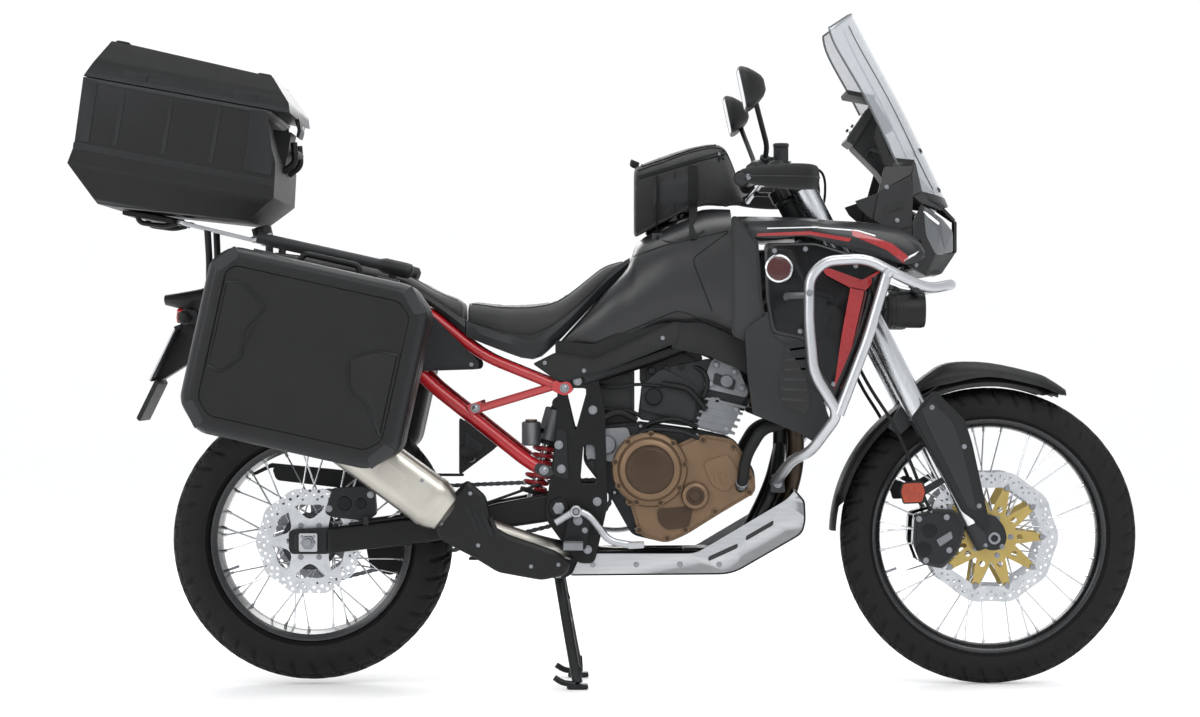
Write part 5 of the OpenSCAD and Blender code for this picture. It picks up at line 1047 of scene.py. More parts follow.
b = MB()
for s_ in (-1, 1):
    Y = lambda v: s_ * v; lo = lambda a, c: (min(Y(a), Y(c)), max(Y(a), Y(c)))
    FC = [(-178, 746), (-115, 702), (-20, 726), (160, 797), (161, 850), (-38, 756), (-126, 772)]
    b.prism(FC, *lo(142.2, 148), "plastic_black", round_=7); b.prism(inset(FC, 5), *lo(147, 150), "plastic_grain", round_=5)
    FD = [(140, 782), (150, 862), (208, 866), (276, 830), (320, 799), (361, 813), (407, 852), (407, 790), (330, 643), (316, 700), (314, 725), (220, 765)]
    b.prism(FD, *lo(142.2, 148.6), "plastic_black", round_=6); b.prism(inset([(150, 786), (161, 833), (276, 806), (320, 799), (361, 813), (400, 846), (400, 790), (330, 655), (318, 716), (222, 768)], 3), *lo(148, 150.4), "plastic_grain", round_=5)
    b.prism([(-126, 800), (-38, 790), (150, 880), (150, 840), (-38, 742), (-126, 762)], *lo(134, 142.5), "rubber", round_=3)
    for p in ((-150, 748), (-60, 730), (120, 805)): b.bolt((p[0], Y(150), p[1]), (0, s_, 0), 3.6, "steel_bolt", 1.6, hexed=False)
    SC = [(-414, 864), (-300, 750), (-304, 733), (-435, 729), (-470, 770)]
    b.prism(SC, *lo(143.7, 151), "top_panel", round_=9); b.prism(inset(SC, 6), *lo(150, 154), "top_panel", round_=7)
    b.prism([(-444, 772), (-410, 830), (-402, 826), (-436, 768)], *lo(153.5, 155.2), "plastic_black", round_=2)
    for p in ((-446, 744), (-318, 744)): b.bolt((p[0], Y(154), p[1]), (0, s_, 0), 3.6, "steel_bolt", 1.6, hexed=False)
b.obj("frame_side_panels", "chassis", SLOT_OF["side_panels"], ("side_panels",), bevel=1.3, ang=40)

# ---------------------------------------------------------------- cowl, lamps, screen, instruments
b = MB()
for s_ in (-1, 1):
    Y = lambda v: s_ * v
    def facet(pts, m="panel_satin", th=5):
        P = [V3((x, Y(y), z)) for x, y, z in pts]
        nrm = unit(sum((np.cross(P[i], P[(i + 1) % len(P)]) for i in range(len(P))), np.zeros(3)))
        cen = sum(P) / len(P)
        if np.dot(nrm, cen - V3((600, 0, 1080))) < 0: nrm = -nrm
        n = len(P); Q = [p - nrm * th for p in P]; I = [cen + (p - cen) * 0.955 + nrm * 1.6 for p in P]
        b.add(Q + P + I, [[i, (i + 1) % n, n + (i + 1) % n, n + i] for i in range(n)] + [[n + i, n + (i + 1) % n, 2 * n + (i + 1) % n, 2 * n + i] for i in range(n)] + [[2 * n + i for i in range(n)]], m, False)
    # nose: centre beak over and under the lamps
    facet([(803, 0, 1084), (803, 26, 1080), (770, 66, 1108), (770, 0, 1112)])
    facet([(770, 0, 1112), (770, 66, 1108), (716, 116, 1140), (700, 118, 1205), (700, 0, 1212)])
    facet([(803, 0, 1084), (803, 0, 1000), (806, 24, 1006), (806, 24, 1076)])
    facet([(802, 0, 1000), (802, 22, 1002), (764, 88, 954), (756, 0, 950)])
    facet([(756, 0, 950), (764, 90, 954), (724, 128, 948), (696, 130, 962), (696, 0, 962)])
    facet([(806, 24, 1006), (796, 46, 1003), (748, 112, 996), (724, 128, 948), (764, 90, 954), (802, 22, 1002)])
    # cheek beside the lamp, upper flank to the screen foot, lower flank to the fairing
    facet([(748, 122, 996), (724, 134, 948), (692, 152, 964), (690, 160, 1060), (716, 136, 1112), (722, 132, 1044)])
    facet([(716, 134, 1113), (768, 70, 1102), (716, 118, 1142), (694, 136, 1130)])
    facet([(690, 160, 1060), (694, 140, 1130), (690, 148, 1180), (612, 160, 1136), (600, 162, 1074), (640, 162, 1046)])
    facet([(690, 160, 1060), (692, 156, 964), (684, 161, 968), (610, 162, 1058), (640, 162, 1046)])
    facet([(716, 118, 1142), (694, 138, 1130), (690, 148, 1180), (698, 132, 1210), (702, 118, 1206)])
    facet([(612, 158, 1136), (690, 148, 1180), (698, 140, 1212), (642, 146, 1216), (628, 148, 1196)])
    facet([(612, 150, 1292), (642, 147, 1218), (698, 141, 1213), (690, 146, 1200), (640, 148, 1196), (628, 150, 1200), (604, 150, 1262)], "plastic_black")
    facet([(560, 162, 1118), (612, 161, 1136), (600, 162, 1074), (570, 162, 1100)])
    # raised crease lines and an intake slot
    b.tube([(716, Y(137), 1113), (690, Y(160), 1060), (640, Y(163), 1046)], 2.2, "plastic_black", 8)
    b.prism([(624, 1100), (668, 1118), (672, 1108), (628, 1088)], min(Y(160), Y(163.5)), max(Y(160), Y(163.5)), "gloss_black", round_=3)
    b.prism([(700, 985), (712, 1030), (720, 1028), (708, 984)], min(Y(136), Y(153)), max(Y(136), Y(153)), "gloss_black", round_=3)
    for p in ((656, 1074), (632, 1150), (700, 972)): b.bolt((p[0], Y(160 if p[0] < 690 else 150), p[1]), (0, s_, 0), 4, "steel_bolt", 2, hexed=False)
o = b.obj("nose_cowl", "chassis", SLOT_OF["front_cowl"], ("front_cowl",), bevel=1.6, seg=3, ang=12)

b = MB()
for s_ in (-1, 1):
    Y = lambda v: s_ * v
    OUT = [(716, 127, 1111), (762, 118, 1080), (795, 42, 1053), (796, 40, 1004), (770, 84, 998), (744, 124, 997), (722, 128, 1040)]
    C = V3((758, Y(94), 1045))
    P = [V3((x, Y(y), z)) for x, y, z in OUT]
    P = fillet(P, 10, 4, True)
    axis = unit(V3((0.82, Y(0.57), 0.08)))
    def pull(k, d): return [C + (p - C) * k + axis * d for p in P]
    b.grid([pull(1.0, -12), pull(1.0, 0), pull(0.965, 2.2), pull(0.9, 2.4)], "gloss_black", cap=False)
    b.grid([pull(0.9, 2.4), pull(0.86, -10), pull(0.6, -26), pull(0.2, -30)], "lamp_silver", cap=True)
    b.grid([pull(0.965, 2.6), pull(0.75, 4.5), pull(0.4, 6), pull(0.02, 6.5)], "lens_clear", cap=True)
    for k, (cx, cy, cz, r) in enumerate(((752, 96, 1046, 26), (776, 66, 1034, 17))):
        c = V3((cx, Y(cy), cz)) - axis * 8
        b.cyl(c - axis * 12, c, r, "gloss_black", 30, bev=2); b.cyl(c - axis * 2, c + axis * 4, r * 0.78, "lens_clear", 30, bev=5); b.cyl(c - axis * 4, c - axis * 0.5, r * 0.74, "lamp_led", 30)
    S = [V3((x, Y(y), z)) for x, y, z in ((722, 127, 1096), (758, 114, 1070), (788, 50, 1048))]
    b.tube([p - axis * 4 for p in S], 3.4, "lamp_led", 10)
b.obj("lamp_units", "chassis", SLOT_OF["headlamps"], ("headlamps",), ang=30)

# the screen: rows of x, z at the centre and at the edge with the edge's y, then bowed across
SCR = [(790, 1112, 716, 1128, 122), (755, 1190, 660, 1206, 148), (685, 1337, 590, 1352, 140), (606, 1484, 520, 1478, 122), (566, 1562, 505, 1530, 92)]
def screen_pt(v, u, off=0.0, scale=1.0):
    r = crom(np.array(SCR, float), v)
    a = abs(u); k = a ** 2.1
    x = r[0] + (r[2] - r[0]) * k; z = r[1] + (r[3] - r[1]) * k
    y = r[4] * (a ** 0.86) * (1 if u >= 0 else -1) * scale
    n = unit(V3((0.88, 0.55 * u, 0.45)))
    return V3((x, y, z)) + n * off
def screen_edge(u):   # the top is rounded: how far up the screen goes at u
    return 4 - 0.62 * max(0.0, abs(u) - 0.35) ** 2
b = MB()
US = np.linspace(-1, 1, 41)
def sheet_rows(off, m, v0=0.0, v1=None, us=US, th=3.0):
    A = []; Bk = []
    for t in np.linspace(0, 1, 33):
        row = []; back = []
        for u in us:
            top = screen_edge(u) if v1 is None else v1
            v = v0 + (top - v0) * t
            row.append(screen_pt(v, u, off)); back.append(screen_pt(v, u, off - th))
        A.append(row); Bk.append(back)
    ring = [r + q[::-1] for r, q in zip(A, Bk)]
    b.grid(ring, m, closed_u=True, cap=True)
sheet_rows(-1.5, "screen_smoke", 0.25)
sheet_rows(-1.2, "panel_satin", 0.0, 0.34, th=3.6)
edge = [screen_pt(0.3 + (screen_edge(-1) - 0.3) * t, -1, -3) for t in np.linspace(0, 1, 18)] + [screen_pt(screen_edge(u), u, -3) for u in US[1:-1]] + [screen_pt(0.3 + (screen_edge(1) - 0.3) * t, 1, -3) for t in np.linspace(1, 0, 18)]
b.tube(edge, 2.6, "screen_edge", 10)
for s_ in (-1, 1):   # moulded creases, bolts and side arms
    cr = [screen_pt(v, 0.62 * s_, -0.6) for v in np.linspace(0.5, 3.55, 24)]
    b.tube(cr, 1.5, "screen_edge", 8)
    for v in (0.55, 1.35): b.bolt(screen_pt(v, 0.42 * s_, -1), unit(V3((0.88, 0.23 * s_, 0.45))), 5, "plastic_black", 4, hexed=False)
    arm = [screen_pt(1.0, 0.8 * s_, -6), (600, s_ * 96, 1240), (596, s_ * 78, 1226)]
    b.tube(fillet(arm, 20), 5, "frame_paint", 12)
b.obj("wind_screen", "chassis", SLOT_OF["windscreen"], ("windscreen",), ang=50)

b = MB()
b.prism([(545, 1262), (596, 1338), (610, 1330), (562, 1250)], -84, 84, "plastic_black", round_=4)
b.prism([(551, 1266), (594, 1330), (590, 1333), (547, 1269)], -76, 76, "lcd_glass", round_=1)
b.prism([(545, 1379), (612, 1366), (612, 1356), (548, 1368)], -88, 88, "plastic_grain", round_=3)
b.prism([(560, 1250), (608, 1334), (650, 1254), (664, 1170), (640, 1160), (620, 1190)], -60, 60, "plastic_black", round_=8)
b.prism([(598, 1330), (612, 1366), (660, 1290), (640, 1280)], -40, 40, "plastic_black", round_=4)
for s_ in (-1, 1):
    b.cyl((556, s_ * 60, 1266), (550, s_ * 60, 1270), 7, "plastic_grain", 20, bev=1.5); b.cyl((562, s_ * 74, 1294), (557, s_ * 74, 1297), 4, "gloss_black", 16)
    b.prism([(566, 1256), (604, 1318), (600, 1330), (556, 1262)], s_ * 72 - 14, s_ * 72 + 14, "plastic_grain", round_=5)
b.obj("instrument_cluster", "chassis", SLOT_OF["instrument_panel"], ("instrument_panel",), bevel=1.5, ang=38)

b = MB()
for s_ in (-1, 1):
    y = s_ * 226
    prof = [(0, 30), (6, 36), (30, 40.5), (70, 41), (80, 41), (83, 39.5), (86, 39.5), (88, 37)]
    A = [[(624 + h, y + r * math.cos(t), 868 + r * math.sin(t)) for t in np.linspace(0, 2 * math.pi, 44, endpoint=False)] for h, r in prof]
    b.grid(A, "plastic_black", cap=False); b.add(A[0], [list(range(44))[::-1]], "plastic_black", False)
    A = [[(712 - h, y + r * math.cos(t), 868 + r * math.sin(t)) for t in np.linspace(0, 2 * math.pi, 44, endpoint=False)] for h, r in ((0.5, 37), (14, 32), (26, 20), (30, 6), (30, 0.5))]
    b.grid(A, "lamp_silver", cap=False)
    A = [[(711 + h, y + r * math.cos(t), 868 + r * math.sin(t)) for t in np.linspace(0, 2 * math.pi, 44, endpoint=False)] for h, r in ((0, 37), (1.2, 28), (1.8, 15), (2, 0.5))]
    b.grid(A, "lens_clear", cap=False)
    b.cyl((690, y, 868), (699, y, 868), 9, "lamp_led", 24, bev=2)
    for k in range(5): b.rev([(41.2, 0), (42.2, 0.4), (42.2, 2.2), (41.2, 2.6)], (0, 0, 0), "gloss_black", 8) if False else None
    for k in range(4):
        x = 634 + k * 10
        A = [[(x + h, y + r * math.cos(t), 868 + r * math.sin(t)) for t in np.linspace(0, 2 * math.pi, 44, endpoint=False)] for h, r in ((0, 39.8), (1, 41), (2, 41), (3, 39.8))]
        b.grid(A, "plastic_black", cap=False)
    b.cyl((682, y, 868 + 36), (690, s_ * 262, 922), 7, "frame_paint", 16)
    b.tube(fillet([(676, y - s_ * 24, 880), (676, y - s_ * 44, 880), (684, s_ * 258, 918)], 8), 4, "frame_paint", 10)
    b.cyl((684, s_ * 258, 914), (692, s_ * 264, 926), 16, "frame_paint", 20, bev=2)
    b.tube(fillet([(624, y, 868), (606, y - s_ * 6, 872), (596, y + s_ * 30, 900), (590, s_ * 276, 940)], 16), 3, "rubber", 8)
b.obj("spot_lamps", "chassis", SLOT_OF["fog_lamps"], ("fog_lamps",), ang=34)

b = MB()
TL = [(-440, 846, 880, 90, 100, 96), (-600, 880, 924, 90, 104, 100), (-800, 905, 952, 84, 100, 90), (-950, 870, 919, 66, 86, 70), (-1034, 882, 906, 44, 62, 50)]
rows = []
for x, lo_, hi_, wl, wm, wt in TL:
    q = spline([(2, lo_), (wl * 0.6, lo_), (wl, lo_ + 2), (wm, (lo_ + hi_) / 2), (wt, hi_ - 2), (wt * 0.6, hi_), (2, hi_)], 15)
    rows.append(sec(x, [(p[0], p[1]) for p in q]))
skin(rows, "plastic_black", b, refine=4)
# tail lamp, indicators, blank plate, flap
b.grid([[(-1003 + d, y * k, 857 + z * k) for y, z in [(p[0], p[1]) for p in fillet([(-58, -17), (58, -17), (52, 17), (-52, 17)], 8, 4, True)]] for d, k in ((16, 1), (6, 1), (0, 0.98), (-3, 0.9), (-4, 0.5), (-4.2, 0.05))], "tail_red", cap=True)
b.box((-990, -58, 838), (-958, 58, 880), "plastic_black")
b.prism([(-958, 878), (-1000, 840), (-1012, 822), (-1060, 714), (-1046, 706), (-984, 745), (-950, 872)], -26, 26, "plastic_black", round_=6)
b.prism([(-1050, 712), (-1095, 620), (-1087, 612), (-1044, 700)], -84, 84, "plastic_grain", round_=3)
for k in range(5): b.prism([(-1056 - k * 7, 700 - k * 15), (-1059 - k * 7, 694 - k * 15), (-1056 - k * 7, 692.5 - k * 15), (-1053 - k * 7, 698.5 - k * 15)], -78, 78, "plastic_black")
b.prism([(-1008, 826), (-1005, 824), (-1062, 706), (-1066, 708)], -88, 88, "plate_blank", round_=0)
b.prism([(-1004, 826), (-1001, 824), (-1059, 705), (-1062, 706)], -91, 91, "plastic_black", round_=0)
for y in (-60, 60): b.bolt((-1014, y, 812), (-0.9, 0, 0.43), 4, "steel_bolt", 3, hexed=False)
b.prism([(-1000, 838), (-1016, 832), (-1012, 822), (-996, 828)], -30, 30, "plastic_black", round_=3)
for s_ in (-1, 1):
    b.cyl((-975, s_ * 40, 852), (-978, s_ * 108, 852), 7, "rubber", 16)
    b.grid([[(-978 + dx * k, s_ * (104 + dy), 852 + dz * k) for dx, dz in [(math.cos(t) * 14, math.sin(t) * 17) for t in np.linspace(0, 2 * math.pi, 24, endpoint=False)]] for dy, k in ((0, 0.7), (4, 0.95), (24, 1), (44, 0.92), (50, 0.6), (51, 0.1))], "plastic_black", cap=True)
    b.grid([[(-991 + d, s_ * (129 + dy * k), 852 + dz * k) for dy, dz in [(math.cos(t) * 20, math.sin(t) * 13) for t in np.linspace(0, 2 * math.pi, 24, endpoint=False)]] for d, k in ((2, 1), (-2, 0.95), (-4, 0.6), (-4.5, 0.05))], "amber", cap=True)
b.obj("tail_section", "chassis", SLOT_OF["tail_unit"], ("tail_unit",), bevel=0.8, ang=40)

# ---------------------------------------------------------------- steered parts
def st(x, y, z): return tuple(STEER @ Vector((x, y, z)))
b = MB()
for s_ in (-1, 1):
    y = s_ * 105
    # outer tube above, lower leg below, both along the steering axis
    b.cyl(st(33, y, 326), st(33, y, 955), 27, "fork_silver", 40, bev=1.5)
    b.cyl(st(33, y, 285), st(33, y, 328), 26.9, "cast_dark", 40, bev=2)
    b.cyl(st(33, y, 955), st(33, y, 959), 22, "cast_dark", 6, bev=1)
    b.cyl(st(33, y, 958), st(33, y, 964), 11, "gold", 20, bev=1)
    b.cyl(st(33, y, 30), st(33, y, 286), 21.6, "chrome", 40)
    b.cyl(st(33, y, 268), st(33, y, 288), 25.5, "rubber", 36, bev=2)
    b.cyl(st(33, y, -12), st(33, y, 52), 25, "cast_dark", 36, bev=4)
    # foot that clamps the axle
    foot = [(836, 376), (858, 400), (884, 398), (905, 372), (912, 345), (903, 322), (880, 316), (856, 322)]
    b.prism(foot, s_ * 105 - 23, s_ * 105 + 23, "cast_dark", round_=10)
    b.bolt((900, s_ * 128, 326), (0, s_, 0), 4.5, h=3); b.bolt((862, s_ * 128, 330), (0, s_, 0), 4.5, h=3)
    b.cyl((846, s_ * 105, 392), (858, s_ * 105, 372), 25.2, "cast_dark", 36)
b.obj("fork_assembly", "steering", SLOT_OF["front_fork"], ("front_fork",), bevel=1.0, ang=45)

b = MB()
k0 = 0
for z, h in ((700, 32), (914, 28)):
    q = MB()
    oc = []
    for a in np.linspace(-150, 150, 22): pass
    def lobe(cx, cy, r, a0, a1, n=12): return [(cx + r * math.cos(math.radians(t)), cy + r * math.sin(math.radians(t))) for t in np.linspace(a0, a1, n)]
    out = lobe(33, 105, 36, -30, 190) + [(-16, 62)] + lobe(0, 0, 40, 110, 250, 14) + [(-16, -62)] + lobe(33, -105, 36, 170, 390) + [(46, -50), (40, 0), (46, 50)]
    # outline in x, y; the fork holes are left solid because the tubes fill them
    P = fillet(out, 6, 2, True); P = P if area2(P) > 0 else P[::-1]
    q.grid([[(p[0], p[1], zz) for p in P] for zz in (z, z + h)], "frame_paint")
    for s_ in (-1, 1):
        for dz in (h * 0.3, h * 0.7): q.bolt((66, s_ * 96, z + dz), (1, 0, 0), 4.2, h=3)
    q.v = [tuple(STEER @ Vector(v)) for v in q.v]
    o = len(b.v); b.v += q.v
    for f, m_, s2_ in zip(q.f, q.m, q.sm): b.f.append([i + o for i in f]); b.m.append(b.mi(q.mats[m_])); b.sm.append(s2_)
b.cyl(st(0, 0, 700), st(0, 0, 947), 23.95, "cast_dark", 36); b.cyl(st(0, 0, 946), st(0, 0, 954), 19, "steel_bolt", 6, bev=1)
b.prism([(452, 1084), (474, 1092), (470, 1102), (448, 1096)], -20, 20, "frame_paint", round_=3)
b.obj("fork_clamps", "steering", SLOT_OF["triple_clamps"], ("triple_clamps",), bevel=1.8, ang=42)

b = MB()
BP = [(287, -470, 1152), (345, -250, 1190), (398, -120, 1200), (398, 120, 1200), (345, 250, 1190), (287, 470, 1152)]
b.tube(fillet(BP, [0, 50, 50, 50, 50, 0], 8), 11, "frame_paint", 20)
for s_ in (-1, 1):
    b.cyl((404, s_ * 45, 1168), (399, s_ * 45, 1200), 16, "frame_paint", 28, bev=2)
    b.prism([(376, 1186), (420, 1186), (422, 1200), (416, 1214), (400, 1219), (384, 1216), (374, 1202)], s_ * 45 - 15, s_ * 45 + 15, "frame_paint", round_=5)
    for x in (382, 416): b.bolt((x, s_ * 45, 1213), (0, 0, 1), 4.2, h=4)
b.obj("handle_bar", "steering", SLOT_OF["handlebar"], ("handlebar",), bevel=1.0, ang=45)

b = MB()
B0 = V3(BP[0]); BD = unit(V3(BP[1]) - B0)
for s_ in (-1,):
    g0, g1 = B0 + BD * 2, B0 + BD * 126
    n = 34; R = []
    u, w = b.frame_at(BD)
    for i in range(n + 1):
        t = i / n; r = 16.2 + (0.8 if i % 2 else -0.5)
        if i in (0, 1): r = 18.4
        if i >= n - 1: r = 19
        R.append([g0 + (g1 - g0) * t + r * math.cos(a) * u + r * math.sin(a) * w for a in np.linspace(0, 2 * math.pi, 28, endpoint=False)])
    b.grid(R, "rubber")
    b.cyl(B0 - BD * 12, B0 + BD * 3, 14, "cast_dark", 28, bev=3)
    b.cyl(B0 + BD * 127, B0 + BD * 133, 21, "plastic_black", 30, bev=1)
    # switch block with buttons
    c0, c1 = B0 + BD * 134, B0 + BD * 178
    R = []
    for t, r in ((0, 17), (0.06, 20.5), (0.94, 20.5), (1, 17)):
        p = c0 + (c1 - c0) * t
        R.append([p + r * (math.cos(a) * u * (1.0 + 0.12 * abs(math.cos(2 * a))) + math.sin(a) * w * (1.0 + 0.12 * abs(math.cos(2 * a)))) for a in np.linspace(0, 2 * math.pi, 32, endpoint=False)])
    b.grid(R, "plastic_black")
    for t, col in ((0.3, "plastic_grain"), (0.55, "tail_red"), (0.8, "plastic_grain")):
        p = c0 + (c1 - c0) * t; b.cyl(p + V3((-14, 0, 8)), p + V3((-20.5, 0, 11)), 4.5, col, 16, bev=1)
    # perch, lever and reservoir
    b.tube(fillet([(350, -283, 1187), (366, -270, 1192), (385, -262, 1196)], 10), 11, "cast_dark", 18)
    lev = fillet([(375, -268, 1190), (368, -300, 1183), (362, -340, 1172), (350, -400, 1158), (343, -455, 1148)], 30, 6)
    L = len(lev); b.tube(lev, [6.6 - 1.4 * math.sin(math.pi * min(1, i / L * 1.2)) * 0.6 for i in range(L)], "aluminium", 14, flat=(0.8, 1.15))
    b.cyl((343, -455, 1148), (342.6, -458, 1147.6), 7.2, "aluminium", 18, bev=1)
    b.cyl((385, -250, 1200), (385, -250, 1235), 17, "plastic_black", 34, bev=2)
    b.cyl((385, -250, 1234), (385, -250, 1244), 18, "frame_paint", 34, bev=2)
    for a in (0.5, 3.6): b.bolt((385 + 12 * math.cos(a), -250 + 12 * math.sin(a), 1242), (0, 0, 1), 2.2, h=2, hexed=False)
    b.cyl((380, -246, 1186), (382, -248, 1201), 9, "cast_dark", 20)
    b.bolt((374, -268, 1198), (0, 0, 1), 5.5, h=4)
b.mirror()
b.obj("grips_and_levers", "steering", SLOT_OF["hand_controls"], ("hand_controls",), bevel=0.0, ang=38)

b = MB()
# hand guards: a bowed blade round the grip, with an inner rib
for s_ in (-1, 1):
    path2 = fillet([(283, -476), (292, -484), (372, -484), (440, -462), (462, -424), (462, -352)], [0, 8, 40, 46, 40, 0], 6)
    arc = [0.0]
    for a_, c_ in zip(path2[:-1], path2[1:]): arc.append(arc[-1] + np.linalg.norm(c_ - a_))
    R = []
    for p, s0 in zip(path2, arc):
        t = s0 / arc[-1]
        zt = 1157 + 29 * math.sin(math.pi * (0.15 + 0.72 * t)) ** 0.8
        zb = 1157 - 29 * math.sin(math.pi * (0.12 + 0.76 * t)) ** 0.9
        i = min(len(path2) - 2, max(1, int(t * (len(path2) - 1)))); d = unit(V3(path2[i + 1]) - V3(path2[i - 1])); nn = np.array([-d[1], d[0]])
        c = V3((290 + 60, -420)); nn = nn if np.dot(nn, p - np.array([360, -410])) > 0 else -nn
        row = []
        for k, o in ((0, 0), (0.08, 2.4), (0.3, 4.0), (0.5, 4.6), (0.7, 4.0), (0.92, 2.4), (1, 0)):
            q = p + nn * (o - 4.6); row.append((q[0], -s_ * q[1] * -1 if s_ < 0 else -q[1], zb + (zt - zb) * k))
        for k in (0.94, 0.5, 0.06):
            q = p + nn * (-7.6); row.append((q[0], q[1] if s_ < 0 else -q[1], zb + (zt - zb) * k))
        R.append([(x, (yy if s_ > 0 else -abs(yy)), z) for x, yy, z in row])
    b.grid(R, "plastic_grain", cap=True)
    b.tube([(V3(path2[i]) * 0 + V3((0, 0))) if False else (path2[i][0], (path2[i][1] if s_ < 0 else -path2[i][1]), 1157) for i in range(4, len(path2) - 3)], 2.0, "frame_paint", 8)
    b.cyl((287, s_ * 467, 1152), (300, s_ * 482, 1154), 8, "frame_paint", 18); b.bolt((300, s_ * 483.5, 1155), (0.1, s_, 0), 5, h=2.4)
    b.tube(fillet([(352, s_ * 352, 1160), (420, s_ * 352, 1158), (457, s_ * 362, 1158)], 16), 6, "frame_paint", 14)
    b.bolt((460, s_ * 372, 1158), (1, 0, 0), 4.5, h=2.4)
b.obj("hand_shields", "steering", SLOT_OF["hand_guards"], ("hand_guards",), ang=40)

b = MB()
for s_ in (-1, 1):
    b.tube(fillet([[345, s_ * 262, 1195], [352, s_ * 298, 1232], [326, s_ * 372, 1312], [318, s_ * 385, 1340]], 22, 7), 6, "frame_paint", 14)
    b.cyl((344, s_ * 261, 1190), (348, s_ * 279, 1213), 11, "frame_paint", 22, bev=2)
    c0 = V3((290, s_ * 400, 1352)); ax = unit(V3((math.sin(math.radians(78)), 0, math.cos(math.radians(78))))); up = unit(V3((-math.cos(math.radians(78)), 0, math.sin(math.radians(78)))))
    def rr(w_, h_, r_, c, k=6): return [c + np.array([0, 1, 0]) * p[0] + up * p[1] for p in fillet([(-w_ / 2 * (1), -h_ / 2 * 0.86), (w_ / 2, -h_ / 2), (w_ / 2, h_ / 2), (-w_ / 2, h_ / 2)], r_, k, True)]
    b.grid([rr(130, 88, 30, c0 - ax * 1.0), rr(139, 97, 33, c0 + ax * 0.5), rr(140, 99, 34, c0 + ax * 4), rr(139, 98, 33, c0 + ax * 9), rr(128, 88, 32, c0 + ax * 20), rr(104, 68, 28, c0 + ax * 34), rr(76, 46, 20, c0 + ax * 46), rr(52, 28, 12, c0 + ax * 51)], "plastic_black", cap=False)
    e = rr(52, 28, 12, c0 + ax * 51); b.add(e, [list(range(len(e)))], "plastic_black", True)
    g = rr(130, 88, 30, c0 - ax * 0.6); b.add(g, [list(range(len(g)))], "mirror_glass", False)
    b.cyl((318, s_ * 385, 1336), (322, s_ * 392, 1344), 10, "frame_paint", 20, bev=2)
b.obj("rear_view_mirrors", "steering", SLOT_OF["mirrors"], ("mirrors",), ang=34)

b = MB()
# front fender: an arched blade over the wheel with a longer pointed nose and fork-side cheeks
FX, FZ = 882.0, 345.0
A = np.radians(np.linspace(178, 64, 40)); R = []
for i, a in enumerate(A):
    t = i / (len(A) - 1)
    hw = 60 - 10 * max(0, (t - 0.75) / 0.25) if t > 0.75 else 60 - 14 * max(0, (0.16 - t) / 0.16)
    row = []
    for k in (-1, -0.98, -0.8, -0.45, 0, 0.45, 0.8, 0.98, 1): row.append((FX + (370 - 9 * abs(k) ** 4 - (13 if abs(k) > 0.97 and 0.1 < t < 0.97 else 0)) * math.cos(a), hw * k, FZ + (370 - 9 * abs(k) ** 4 - (13 if abs(k) > 0.97 and 0.1 < t < 0.97 else 0)) * math.sin(a)))
    back = [(FX + (364.5 - 7 * abs(k) ** 4) * math.cos(a), (hw - 2.4) * k, FZ + (364.5 - 7 * abs(k) ** 4) * math.sin(a)) for k in (0.985, 0.5, 0, -0.5, -0.985)]
    R.append(row + back)
b.grid(R, "plastic_black", cap=True)
NO = [(702, 673, 691, 56, 58, 50), (740, 690, 722, 58, 59, 42), (788, 701, 747, 60, 58, 34), (880, 716, 748, 60, 56, 32), (991, 695, 724, 58, 52, 30), (1030, 680, 706, 46, 42, 25), (1061, 672, 686, 34, 32, 20)]
rows = []
for x, lo_, hi_, wl, wm, wt in NO:
    low = max(lo_, FZ + math.sqrt(max(0, 367.0 ** 2 - (x - FX) ** 2)) if abs(x - FX) < 367 else lo_) if abs(x - 882) < 175 else lo_
    hi2 = max(hi_, low + 9)
    q = spline([(2, low), (wl * 0.6, low), (wl, low - 1), (wl + 0.5, low + 2), (wm, (low + hi2) / 2), (wt, hi2 - 1), (wt * 0.5, hi2), (2, hi2)], 15)
    rows.append(sec(x, [(p[0], p[1]) for p in q]))
skin(rows, "plastic_black", b, refine=4)
for s_ in (-1, 1):
    yy = sorted((s_ * 58, s_ * 82))
    b.prism([(700, 690), (640, 600), (668, 580), (735, 640)], yy[0], yy[1], "plastic_black", round_=8)
    b.bolt((690, s_ * 82, 640), (0, s_, 0), 5, "steel_bolt", 2.5)
    b.tube([(720, s_ * 59, 668), (790, s_ * 56, 714), (900, s_ * 52, 722), (1000, s_ * 48, 704)], 1.6, "plastic_grain", 8)
b.obj("front_mudguard", "steering", SLOT_OF["front_fender"], ("front_fender",), ang=40)

